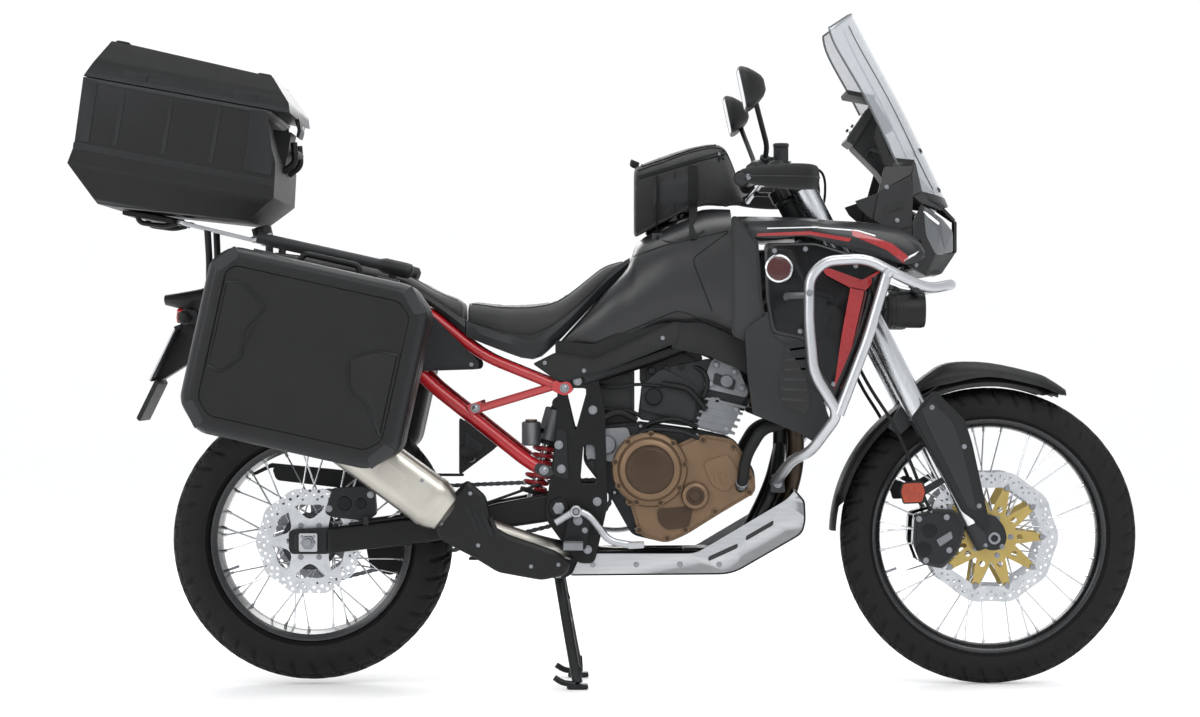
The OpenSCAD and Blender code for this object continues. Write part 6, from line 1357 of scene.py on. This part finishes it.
b = MB()
FG = [(736, 681), (747, 683), (814, 617), (831, 562), (866, 402), (868, 362), (806, 407), (702, 601), (689, 621)]
for s_ in (-1, 1):
    lo2 = lambda a, c: (min(s_ * a, s_ * c), max(s_ * a, s_ * c))
    b.prism(FG, *lo2(131.7, 135.5), "plastic_black", round_=9, k=5)
    b.prism(inset(FG, 6), *lo2(135, 138), "plastic_black", round_=8, k=5)
    b.prism([(712, 640), (736, 660), (786, 612), (806, 556), (842, 408), (820, 416), (740, 580)], *lo2(137.6, 139.2), "panel_satin", round_=10)
    b.prism([(692, 478), (694, 430), (716, 424), (726, 430), (714, 474), (702, 480)], *lo2(126, 130), "plastic_black", round_=4)
    b.cyl((790, s_ * 131.6, 500), (790, s_ * 126, 500), 9, "plastic_black", 16)
    for p in ((738, 646), (812, 556), (846, 420)): b.bolt((p[0], s_ * 139, p[1]), (0, s_, 0), 4.2, "steel_bolt", 2, hexed=False)
    # amber side reflector on a stalk behind the guard
    b.prism([(664, 452), (670, 474), (718, 477), (726, 452), (718, 426), (672, 424)], *lo2(132, 134.5), "plastic_black", round_=5)
    b.prism([(667, 452), (673, 471), (715, 473), (722, 452), (715, 429), (674, 427)], *lo2(134.2, 137.5), "amber", round_=5)
    b.prism([(718, 462), (760, 486), (770, 474), (722, 444)], *lo2(131.8, 133.6), "plastic_black", round_=3)
b.obj("fork_shields", "steering", SLOT_OF["fork_guards"], ("fork_guards",), bevel=1.0, ang=40)

b = MB()
CF = [(702, 398), (752, 412), (800, 408), (822, 372), (806, 316), (768, 272), (716, 284), (698, 330)]
for s_ in (-1, 1):
    lo2 = lambda a, c: (min(s_ * a, s_ * c), max(s_ * a, s_ * c))
    b.prism(CF, *lo2(74.2, 92), "gloss_black", round_=14); b.prism(inset(CF, 7), *lo2(91, 99), "hub_black", round_=12)
    b.prism([(702, 398), (752, 412), (740, 380), (724, 330), (716, 284), (698, 330)], *lo2(59.7, 75), "gloss_black", round_=6)
    b.prism(CF, *lo2(48, 59.5), "gloss_black", round_=14)
    for x, z in ((736, 362), (724, 318)):
        yy = sorted((s_ * 98.6, s_ * 101)); b.rev([(18, s_ * 98.5), (18, s_ * 100), (14, s_ * 101), (0.5, s_ * 101)], (x, 0, z), "hub_black", 32)
    for p in ((776, 392), (782, 316), (712, 388), (728, 292)): b.bolt((p[0], s_ * 98.5, p[1]), (0, s_, 0), 5.2, h=4)
    b.prism([(752, 340), (786, 360), (790, 344), (760, 324)], *lo2(98.6, 100.4), "cast_grey", round_=3)
    # brake hose from the caliper up the fork leg to the lower clamp
    b.tube(fillet([(742, s_ * 92, 400), (722, s_ * 108, 440), (690, s_ * 128, 520), (650, s_ * 136, 610), (590, s_ * 118, 700), (548, s_ * 60, 800), (520, s_ * 30, 900)], 60, 7), 4.0, "rubber", 12)
    b.cyl((742, s_ * 90, 402), (738, s_ * 97, 410), 7, "steel_bolt", 16)
b.obj("front_brake_calipers", "steering", SLOT_OF["front_calipers"], ("front_calipers",), bevel=1.4, ang=40)

b = MB()
FAX = (882, 0, 345)
b.rev([(0.5, -94), (8.25, -94), (8.25, -130), (10, -130), (10, 130), (8.25, 130), (8.25, 94), (0.5, 94)], FAX, "steel_bolt", 36, closed=True)
for s_ in (-1, 1):
    yy = sorted((s_ * 63, s_ * 81)); b.rev([(9.9, yy[0]), (13.5, yy[0]), (13.5, yy[1]), (9.9, yy[1])], FAX, "cast_grey", 36, closed=True)
    b.rev([(8.4, s_ * 128.5), (13.5, s_ * 128.5), (14, s_ * 129.5), (14, s_ * 131.5), (13, s_ * 132.4), (8.4, s_ * 132.4)], FAX, "steel_bolt", 36, closed=True)
b.obj("front_wheel_spindle", "steering", SLOT_OF["front_axle"], ("front_axle",), ang=35)

# ---------------------------------------------------------------- pegs, levers, stands
b = MB()
for s_ in (-1, 1):
    lo2 = lambda a, c: (min(s_ * a, s_ * c), max(s_ * a, s_ * c))
    # serrated foot peg: frame with teeth
    x0, x1 = -106, -62
    for xx in (x0, x1 - 5): b.prism([(xx, 326), (xx + 5, 326), (xx + 5, 342), (xx, 342)], *lo2(186, 274), "cast_grey", round_=1.2)
    b.prism([(x0, 326), (x1, 326), (x1, 342), (x0, 342)], *lo2(270, 276), "cast_grey", round_=2)
    b.prism([(x0, 326), (x1, 326), (x1, 342), (x0, 342)], *lo2(184, 192), "cast_grey", round_=2)
    for k in range(11):
        y = 196 + k * 7
        for xx in (x0, x1 - 5): b.prism([(xx, 341), (xx + 2.5, 343.6), (xx + 5, 341)], *lo2(y, y + 3.2), "cast_grey")
    for yy in (212, 242): b.prism([(x0, 329), (x1, 329), (x1, 340), (x0, 340)], *lo2(yy, yy + 5), "cast_grey", round_=1)
    b.prism([(-112, 322), (-56, 322), (-52, 345), (-40, 400), (-96, 400), (-104, 350)], *lo2(168, 176), "frame_paint", round_=8)
    b.prism([(-104, 324), (-64, 324), (-62, 346), (-102, 346)], *lo2(174, 184), "frame_paint", round_=4)
    b.cyl((-84, s_ * 166, 336), (-84, s_ * 187, 336), 6, "steel_bolt", 16)
    b.cyl((-74, s_ * 138, 388), (-74, s_ * 170, 388), 12, "frame_paint", 22); b.bolt((-74, s_ * 176, 388), (0, s_, 0), 8, h=5); b.bolt((-58, s_ * 176, 366), (0, s_, 0), 5, h=3)
    # passenger pegs
    b.prism([(-346, 625), (-346, 490), (-258, 556)], *lo2(146, 151), "frame_paint", round_=10)
    b.plate(fillet([(-346, 625), (-346, 490), (-258, 556)], 10, 4, True), [fillet([(-334, 596), (-334, 516), (-284, 556)], 8, 3, True)[::-1]], *lo2(150.5, 156), "frame_paint")
    b.tube([(-318, s_ * 150, 530), (-322, s_ * 172, 535), (-326, s_ * 200, 541), (-330, s_ * 232, 548)], [9, 11.5, 12, 11], "rubber", 20)
    for k in range(7):
        t = k / 6; c = V3((-320, s_ * 176, 536)) * (1 - t) + V3((-329, s_ * 228, 547)) * t; d = unit(V3((-330, s_ * 232, 548)) - V3((-318, s_ * 150, 530)))
        b.cyl(c - d * 1.2, c + d * 1.2, 13, "rubber", 20)
    b.bolt((-318, s_ * 156, 530), (0, s_, 0), 7, h=4)
b.obj("foot_rests", "chassis", SLOT_OF["footpegs"], ("footpegs",), bevel=0.8, ang=45)

b = MB()
b.tube(fillet([[-125, -200, 384], [-78, -200, 413], [-49, -200, 402], [-2, -200, 342], [45, -202, 334]], [0, 10, 16, 20, 0], 6), 7.6, "aluminium", 16, flat=(0.8, 1.1))
b.prism([(40, 326), (76, 328), (78, 338), (70, 341), (40, 340)], -222, -180, "aluminium", round_=3)
for k in range(5): b.prism([(44 + k * 7, 340), (46.5 + k * 7, 342.5), (49 + k * 7, 340)], -221, -181, "aluminium")
b.cyl((-78, -138, 410), (-78, -209, 410), 8.2, "cast_dark", 20); b.bolt((-78, -207, 410), (0, -1, 0), 7, h=4)
b.cyl((-78, -190, 410), (-78, -208, 410), 14, "aluminium", 26, bev=2)
b.tube(fillet([[-40, 196, 352], [20, 198, 346], [70, 200, 356]], 20, 6), 6, "aluminium", 14, flat=(0.8, 1.1))
b.cyl((70, 186, 356), (70, 232, 356), 9, "rubber", 22, bev=1)
for k in range(5): b.cyl((70, 204 + k * 6, 356), (70, 206 + k * 6, 356), 10, "rubber", 22)
b.tube([(-36, 196, 352), (-36, 138, 360)], 7, "cast_dark", 16); b.cyl((-38, 190, 352), (-38, 203, 352), 12, "aluminium", 24, bev=1.5)
b.obj("foot_controls", "chassis", SLOT_OF["foot_levers"], ("foot_levers",), bevel=0.6, ang=42)

b = MB()
b.rev([(8.06, -95.5), (14, -95.5), (14, 95.5), (8.06, 95.5)], (-120, 0, 262), "frame_paint", 32, closed=True)
for s_ in (-1, 1):
    lo2 = lambda a, c: (min(s_ * a, s_ * c), max(s_ * a, s_ * c))
    b.tube(fillet([[-118, s_ * 82, 254], [-96, s_ * 112, 128], [-75, s_ * 140, 14]], 40, 7), 12, "frame_paint", 20)
    b.prism([(-100, 3), (-92, 0), (-58, 0), (-50, 3), (-52, 12), (-98, 12)], *lo2(126, 158), "frame_paint", round_=2)
    b.prism([(-98, 0), (-52, 0), (-52, 2.4), (-98, 2.4)], *lo2(128, 156), "steel_bolt")
    b.tube(fillet([(-80, s_ * 152, 12), (-110, s_ * 154, 16), (-128, s_ * 152, 28)], 16), 7, "frame_paint", 14)
    b.prism([(-128, 246), (-112, 240), (-92, 190), (-104, 186)], *lo2(78, 92), "frame_paint", round_=6)
    b.prism([(-86, 52), (-66, 52), (-64, 22), (-82, 20)], *lo2(132, 138), "frame_paint", round_=3)
b.tube([(-98, -106, 140), (-98, 106, 140)], 9, "frame_paint", 16)
b.obj("centre_stand_legs", "centre_stand", SLOT_OF["centre_stand"], ("centre_stand",), bevel=1.0, ang=45)

b = MB()
b.rev([(6.06, 169), (14, 169), (14, 183), (6.06, 183)], (-60, 0, 280), "frame_paint", 32, closed=True)
b.tube([[-70, 178.4, 280.3], [-190, 184, 285], [-316, 190, 290]], [8.5, 8.5, 8.2], "frame_paint", 20)
b.prism([(-338, 276), (-298, 276), (-300, 284), (-336, 284)], 172, 210, "frame_paint", round_=3)
b.prism([(-330, 283), (-310, 283), (-310, 292), (-330, 290)], 184, 198, "frame_paint", round_=2)
b.tube(fillet([(-200, 182, 284), (-206, 196, 292), (-220, 202, 294)], 8), 4, "frame_paint", 12)
b.obj("side_stand_leg", "side_stand", SLOT_OF["side_stand"], ("side_stand",), bevel=1.0, ang=45)

# ---------------------------------------------------------------- soft goods
from mathutils.bvhtree import BVHTree
def soft_rows(T, inset_, nside=20, rx=0.5):
    """Rounded sections through CAD rows x, z low, z high, half widths low, middle, top, drawn in by inset_."""
    out = []
    for x, lo_, hi_, wl, wm, wt in T:
        d = inset_; lo2_, hi2_ = lo_ + d, hi_ - d
        if hi2_ - lo2_ < 2: lo2_, hi2_ = (lo_ + hi_) / 2 - 1, (lo_ + hi_) / 2 + 1
        h = hi2_ - lo2_; m_ = (lo2_ + hi2_) / 2
        q = fillet([(0, lo2_), (wl - d, lo2_), (wm - d, m_), (wt - d, hi2_), (0, hi2_ + 0.001)], [0, min(14, h * 0.3), min(30, h * 0.5), min(30, h * 0.34), 0], 6)
        A = [0.0]
        for a_, c_ in zip(q[:-1], q[1:]): A.append(A[-1] + np.linalg.norm(c_ - a_))
        s_ = np.linspace(0, A[-1], nside); q2 = [(np.interp(t, A, [p[0] for p in q]), np.interp(t, A, [p[1] for p in q])) for t in s_]
        out.append(sec(x, q2))
    return out
def evaluated(o):
    dg = bpy.context.evaluated_depsgraph_get(); e = o.evaluated_get(dg); me = bpy.data.meshes.new_from_object(e, depsgraph=dg)
    return me
def cloth(o, m, pinned, voxel=0.0055, pressure=4.0, cap=0.006, pull=None, frames=20, stiff=12.0, shrink=0.0, seed=3):
    """Puffs a closed mesh as sewn cloth: pinned(co, normal) tells where it is held; pull(co) is the cap there."""
    r = o.modifiers.new("re", 'REMESH'); r.mode = 'VOXEL'; r.voxel_size = voxel; r.use_smooth_shade = True
    me = evaluated(o); o.modifiers.clear(); o.data = me
    sm = o.modifiers.new("sm", 'SMOOTH'); sm.factor = 0.5; sm.iterations = 3
    me = evaluated(o); o.modifiers.clear(); o.data = me
    n = len(me.vertices); rest = np.empty(n * 3); me.vertices.foreach_get("co", rest); rest = rest.reshape(-1, 3)
    nor = np.empty(n * 3); me.vertices.foreach_get("normal", nor); nor = nor.reshape(-1, 3)
    g = o.vertex_groups.new(name="pin")
    for i in range(n):
        w = pinned(rest[i], nor[i])
        if w > 0: g.add([i], float(w), 'REPLACE')
    c = o.modifiers.new("cloth", 'CLOTH'); s_ = c.settings
    s_.quality = 5; s_.mass = 0.25; s_.tension_stiffness = stiff; s_.compression_stiffness = stiff; s_.shear_stiffness = 4; s_.bending_stiffness = 0.35
    s_.use_pressure = True; s_.uniform_pressure_force = pressure; s_.vertex_group_mass = "pin"; s_.pin_stiffness = 1.0
    s_.effector_weights.gravity = 0.0; s_.shrink_min = -shrink
    c.collision_settings.use_collision = False; c.collision_settings.use_self_collision = False
    c.point_cache.frame_start = 1; c.point_cache.frame_end = frames
    for f in range(1, frames + 1): scene.frame_set(f)
    me2 = evaluated(o); now = np.empty(n * 3); me2.vertices.foreach_get("co", now); now = now.reshape(-1, 3)
    d = now - rest; L = np.linalg.norm(d, axis=1); L[~np.isfinite(L)] = 0; d[~np.isfinite(d)] = 0
    capv = np.array([pull(p) if pull else cap for p in rest]); k = np.minimum(1.0, capv / np.maximum(L, 1e-9))
    now = rest + d * k[:, None]
    o.modifiers.clear(); o.vertex_groups.clear(); scene.frame_set(1)
    me.vertices.foreach_set("co", now.ravel()); me.update()
    s2_ = o.modifiers.new("sub", 'SUBSURF'); s2_.levels = 1; s2_.render_levels = 1
    me = evaluated(o); o.modifiers.clear(); o.data = me
    me.materials.clear(); me.materials.append(MATS[m])
    for k in ([] if not isinstance(m, (list, tuple)) else m[1:]): me.materials.append(MATS[k])
    me.shade_smooth()
    return o
def as_object(b, name):
    me = bpy.data.meshes.new(name)
    me.from_pydata([(x * 0.001, y * 0.001, z * 0.001) for x, y, z in b.v], [], b.f)
    bm = bmesh.new(); bm.from_mesh(me); bmesh.ops.remove_doubles(bm, verts=bm.verts, dist=0.00002); bmesh.ops.recalc_face_normals(bm, faces=bm.faces); bm.to_mesh(me); bm.free()
    o = bpy.data.objects.new(name, me); scene.collection.objects.link(o); return o
def tree_of(o):
    return BVHTree.FromPolygons([v.co.copy() for v in o.data.vertices], [tuple(p.vertices) for p in o.data.polygons])
def on_skin(tree, pts, off=0.0, frm=None):
    """Drops points (mm) on a mesh: by the nearest place, or along a ray from frm(p)."""
    out = []
    for p in pts:
        q = Vector([c * 0.001 for c in p]); hit = None
        if frm is not None:
            o_, d_ = frm(p); r = tree.ray_cast(Vector([c * 0.001 for c in o_]), Vector(d_).normalized(), 0.8)
            if r[0] is not None: hit = (r[0], r[1])
        if hit is None:
            r = tree.find_nearest(q); hit = (r[0], r[1])
        if hit[1].dot(Vector((0, 0, 1))) < -0.9 and frm is not None: pass
        c = hit[0] + hit[1] * off * 0.001; out.append((c.x * 1000, c.y * 1000, c.z * 1000))
    return out
def stitches(b, P, m="stitch", step=7.0, ln=4.4, r=0.75):
    L = [0.0]; P = [V3(p) for p in P]
    for a_, c_ in zip(P[:-1], P[1:]): L.append(L[-1] + np.linalg.norm(c_ - a_))
    A = np.array(P); t = 1.0
    while t + ln < L[-1]:
        q = [np.array([np.interp(t + ln * k, L, A[:, i]) for i in range(3)]) for k in (0, 0.5, 1)]
        b.tube(q, [r * 0.5, r, r * 0.5], m, 6); t += step

RS = [(40, 978, 991, 48, 54, 44), (-10, 920, 977, 80, 88, 60), (-50, 878, 948, 96, 108, 76), (-93, 832, 914, 110, 124, 90), (-131, 794, 893, 128, 140, 108), (-180, 760, 885, 140, 153, 126), (-225, 768, 883, 144, 158, 132), (-261, 784, 884, 148, 163, 140), (-326, 812, 892, 146, 156, 132)]
b = MB()
for TAB, d0 in (([(46, 972, 993, 50, 52, 44), (-10, 915, 956, 78, 82, 70), (-50, 873, 914, 94, 100, 90), (-93, 828, 872, 108, 117, 110), (-131, 790, 840, 126, 134, 128), (-180, 756, 812, 138, 146, 138), (-261, 780, 822, 146, 156, 150), (-330, 808, 846, 144, 150, 146)], 0),
                ([(-332, 812, 846, 138, 145, 140), (-400, 868, 892, 136, 143, 138), (-464, 902, 926, 132, 138, 134), (-600, 926, 950, 122, 127, 122), (-788, 950, 972, 90, 95, 88)], 0)):
    skin([sec(x, [(2, lo_), (wl * 0.6, lo_), (wl, lo_ + 1), (wm, (lo_ + hi_) / 2), (wt_, hi_ - 1), (wt_ * 0.6, hi_), (2, hi_)]) for x, lo_, hi_, wl, wm, wt_ in TAB], "plastic_black", b, refine=3)
b.obj("seat_pans", "chassis", SLOT_OF["rider_seat"])
b = MB(); skin(soft_rows(RS, 6.0), "seat_vinyl", b, refine=4); o = as_object(b, "rider_saddle")
def zc(T, x): return np.interp(-x, [-r[0] for r in T], [(r[1] + r[2]) / 2 for r in T])
def zt(T, x): return np.interp(-x, [-r[0] for r in T], [r[2] for r in T])
def wt(T, x): return np.interp(-x, [-r[0] for r in T], [r[5] for r in T])
def wm(T, x): return np.interp(-x, [-r[0] for r in T], [r[4] for r in T])
def seat_pin(T, inner):
    def f(co, nr):
        x, y, z = co * 1000
        if nr[2] < -0.35: return 1.0
        d = abs(abs(y) - (wt(T, x) - inner))
        if d < 3.2 and nr[2] > 0.1: return 0.9
        if z < zc(T, x) - 14: return 0.6
        return 0.0
    return f
cloth(o, "seat_vinyl", seat_pin(RS, 20), pressure=4.0, cap=0.0055, stiff=10)
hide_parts("rider_seat"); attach(o, "chassis")
T0 = tree_of(o); b = MB()
up = lambda p: ((p[0], p[1], 1200), (0, 0, -1))
side_r = lambda p: ((p[0], p[1] * 3, p[2]), (0, -p[1], 0))
for s_ in (-1, 1):
    xs = np.linspace(28, -318, 46)
    seam = on_skin(T0, [(x, s_ * (wt(RS, x) - 20), 900) for x in xs], -0.4, up)
    b.tube(seam, 2.6, "seat_side", 10)
    stitches(b, on_skin(T0, [(x, s_ * (wt(RS, x) - 27), 900) for x in xs], 0.1, up))
    low = on_skin(T0, [(x, s_ * wm(RS, x), zc(RS, x) - 8) for x in np.linspace(10, -318, 36)], 0.0, side_r)
    b.tube(low, 1.8, "seat_side", 8)
for x in (-96, -250):   # cross seams of the seat's centre panel
    w_ = wt(RS, x) - 20; b.tube(on_skin(T0, [(x - 10 * (1 - (y / w_) ** 2), y, 900) for y in np.linspace(-w_, w_, 24)], -0.6, up), 1.8, "seat_side", 8)
so = b.obj("saddle_piping", "chassis", SLOT_OF["rider_seat"])

PS = [(-338, 822, 893, 138, 148, 126), (-400, 874, 916, 138, 148, 120), (-464, 908, 952, 134, 142, 116), (-540, 922, 972, 129, 136, 110), (-600, 932, 985, 124, 130, 104), (-700, 945, 998, 108, 114, 90), (-786, 957, 1009, 92, 98, 74)]
b = MB(); skin(soft_rows(PS, 5.0), "seat_vinyl", b, refine=4); o = as_object(b, "pillion_saddle")
cloth(o, "seat_vinyl", seat_pin(PS, 18), pressure=4.0, cap=0.0045, stiff=10)
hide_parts("pillion_seat"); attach(o, "chassis")
T1 = tree_of(o); b = MB()
for s_ in (-1, 1):
    xs = np.linspace(-350, -776, 50)
    b.tube(on_skin(T1, [(x, s_ * (wt(PS, x) - 18), 1000) for x in xs], -0.4, up), 2.4, "seat_side", 10)
    stitches(b, on_skin(T1, [(x, s_ * (wt(PS, x) - 25), 1000) for x in xs], 0.1, up))
for x in (-480, -640):
    w_ = wt(PS, x) - 18; b.tube(on_skin(T1, [(x - 8 * (1 - (y / w_) ** 2), y, 1000) for y in np.linspace(-w_, w_, 24)], -0.6, up), 1.6, "seat_side", 8)
b.obj("pillion_piping", "chassis", SLOT_OF["pillion_seat"])

TB = [(56, 1036, 1206, 84, 98, 82), (120, 1068, 1227, 96, 104, 86), (207, 1110, 1255, 100, 100, 78), (262, 1111, 1256, 78, 82, 62), (290, 1112, 1196, 70, 74, 56), (310, 1112, 1128, 60, 60, 54)]
b = MB(); skin(soft_rows(TB, 5.0, 22), "bag_fabric", b, refine=4); o = as_object(b, "tank_bag_body")
def zipz(x): return 1172 + (x - 58) * 0.3
def bag_pin(co, nr):
    x, y, z = co * 1000
    if z < np.interp(x, [56, 120, 207, 310], [1036, 1068, 1110, 1112]) + 9: return 1.0
    if abs(z - zipz(x)) < 3.4: return 0.9
    if abs(abs(y) - (wt([(-r[0],) + r[1:] for r in TB], -x) - 8)) < 3 and nr[2] > 0.3: return 0.8
    if x < 70 or x > 296: return 0.35
    if abs(x - 150) < 2.6 and z < zipz(x): return 0.7
    return 0.0
cloth(o, "bag_fabric", bag_pin, pressure=4.5, cap=0.0055, stiff=8)
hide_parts("tank_bag"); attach(o, "chassis")
T2 = tree_of(o); b = MB()
out_r = lambda p: ((p[0], p[1] * 3 if abs(p[1]) > 1 else 0, p[2]), (0, -p[1], 0))
W = lambda x: np.interp(x, [r[0] for r in TB], [r[5] for r in TB])
for s_ in (-1, 1):
    xs = np.linspace(66, 292, 40)
    zline = on_skin(T2, [(x, s_ * 110, zipz(x)) for x in xs], 0.2, out_r)
    b.tube(zline, 4.2, "strap_web", 8, flat=(0.35, 1.5))
    stitches(b, on_skin(T2, [(x, s_ * 110, zipz(x)) for x in xs], 1.6, out_r), "steel_bolt", 2.6, 1.3, 1.0)
    for dz in (-6.5, 6.5): stitches(b, on_skin(T2, [(x, s_ * 110, zipz(x) + dz) for x in xs], 0.2, out_r), step=6, ln=3.8, r=0.6)
    # top edge piping, vertical seam, zip pull
    b.tube(on_skin(T2, [(x, s_ * (W(x) - 8), 1300) for x in np.linspace(64, 296, 40)], 0.1, lambda p: ((p[0], p[1], 1400), (0, 0, -1))), 2.4, "rubber", 8)
    b.tube(on_skin(T2, [(150, s_ * 110, z) for z in np.linspace(1096, zipz(150) - 8, 12)], 0.1, out_r), 1.8, "rubber", 8)
    zp = V3(on_skin(T2, [(252, s_ * 110, zipz(252))], 2.2, out_r)[0]); b.cyl(zp + V3((0, 0, 4)), zp + V3((0, 0, -4)), 3.2, "steel_bolt", 12); b.tube([zp + V3((0, s_ * 2, -3)), zp + V3((-4, s_ * 4, -24))], 3.0, "strap_web", 8, flat=(0.4, 1))
    # side pocket: a raised padded panel with its own flap
    R = []
    for t in np.linspace(0, 1, 13):
        x = 96 + 108 * t; row = []
        for k in np.linspace(0, 1, 9):
            z = 1108 + (zipz(x) - 20 - 1108) * k; e = min(1, 5 * t, 5 * (1 - t), 4 * k, 4 * (1 - k)); e = max(0.0, e)
            q = on_skin(T2, [(x, s_ * 110, z)], -1 + 4.6 * e ** 0.6, out_r)[0]; row.append(q)
        R.append(row)
    b.grid(R, "bag_shell", closed_u=False, cap=False)
    # wing of the base pad, lying on the tank, with a webbing strap and a buckle
    def tank_y(x, z):
        best = 100.0
        for (xa, pa), (xb, pb) in zip(T[:-1], T[1:]):
            if xa <= x <= xb:
                f = (x - xa) / (xb - xa); za = [p[1] * (1 - f) + q[1] * f for p, q in zip(pa, pb)]; ya = [p[0] * (1 - f) + q[0] * f for p, q in zip(pa, pb)]
                best = float(np.interp(z, za[3:8], ya[3:8]))
        return best
    R = []
    for t in np.linspace(0, 1, 15):
        x = 84 + 130 * t; row = []; ztop = float(np.interp(x, [84, 214], [1058, 1100])); zlow = 1024 + 26 * abs(2 * t - 1) ** 2.2
        for k in np.linspace(0, 1, 9):
            z = zlow + (ztop - zlow) * k; e = max(0.0, min(1, 6 * t, 6 * (1 - t), 4 * k)); row.append((x, s_ * (tank_y(x, z) + 0.8 + 4.2 * e ** 0.5), z))
        R.append(row)
    b.grid(R, "bag_fabric", closed_u=False, cap=False)
    edge_ = [r[0] for r in R]; b.tube([(p[0], p[1] + s_ * 1.0, p[2]) for p in edge_], 1.8, "rubber", 8)
    for x0 in (108, 190):
        SP = [(x0, s_ * (tank_y(x0, z) + 5.6), z) for z in np.linspace(1030, 1052, 5)] + on_skin(T2, [(x0, s_ * 110, z) for z in np.linspace(1112 if x0 > 150 else 1084, zipz(x0) - 10, 8)], 4.6, out_r)
        b.tube(SP, 9, "strap_web", 10, flat=(0.16, 1.15) if True else None)
    SB = [(108, s_ * (tank_y(108, 1036) + 7.5), 1036)]
    b.box((96, min(SB[0][1] - 4, SB[0][1] + 4), 1026), (120, max(SB[0][1] - 4, SB[0][1] + 4), 1046), "plastic_black")
# map pocket on the top: a panel in a frame, and a carry handle
R = []
for t in np.linspace(0, 1, 17):
    x = 74 + 170 * t; w_ = W(x) - 16
    R.append(on_skin(T2, [(x, w_ * k, 1300) for k in np.linspace(-1, 1, 13)], 1.0 + 0.8 * math.sin(math.pi * t), lambda p: ((p[0], p[1], 1400), (0, 0, -1))))
b.grid(R, "bag_shell", closed_u=False, cap=False)
per = [r[0] for r in R] + R[-1][1:] + [r[-1] for r in R[::-1]][1:] + R[0][::-1][1:-1]
b.tube(per + per[:2], 1.8, "rubber", 8)
hd = on_skin(T2, [(58, y, 1215) for y in (-30, 30)], 0, None)
b.tube(fillet([(66, -38, 1207), (50, -30, 1214), (48, 0, 1218), (50, 30, 1214), (66, 38, 1207)], 14, 6), 7, "strap_web", 10, flat=(0.25, 1))
b.obj("tank_bag_trim", "chassis", SLOT_OF["tank_bag"], ang=60)

# ---------------------------------------------------------------- cables from the bar into the frame
b = MB()
b.tube(fillet([(398, -210, 1186), (440, -190, 1192), (476, -110, 1182), (486, -50, 1128), (470, -20, 1060)], 50, 8), 3.6, "rubber", 10)
b.tube(fillet([(398, -190, 1188), (452, -150, 1204), (498, -70, 1186), (500, -30, 1120), (478, -12, 1062)], 50, 8), 3.0, "rubber", 10)
b.tube(fillet([(398, 205, 1186), (446, 180, 1196), (480, 100, 1184), (488, 46, 1126), (470, 18, 1060)], 50, 8), 3.6, "rubber", 10)
b.obj("bar_cables", "steering", SLOT_OF["handlebar"])
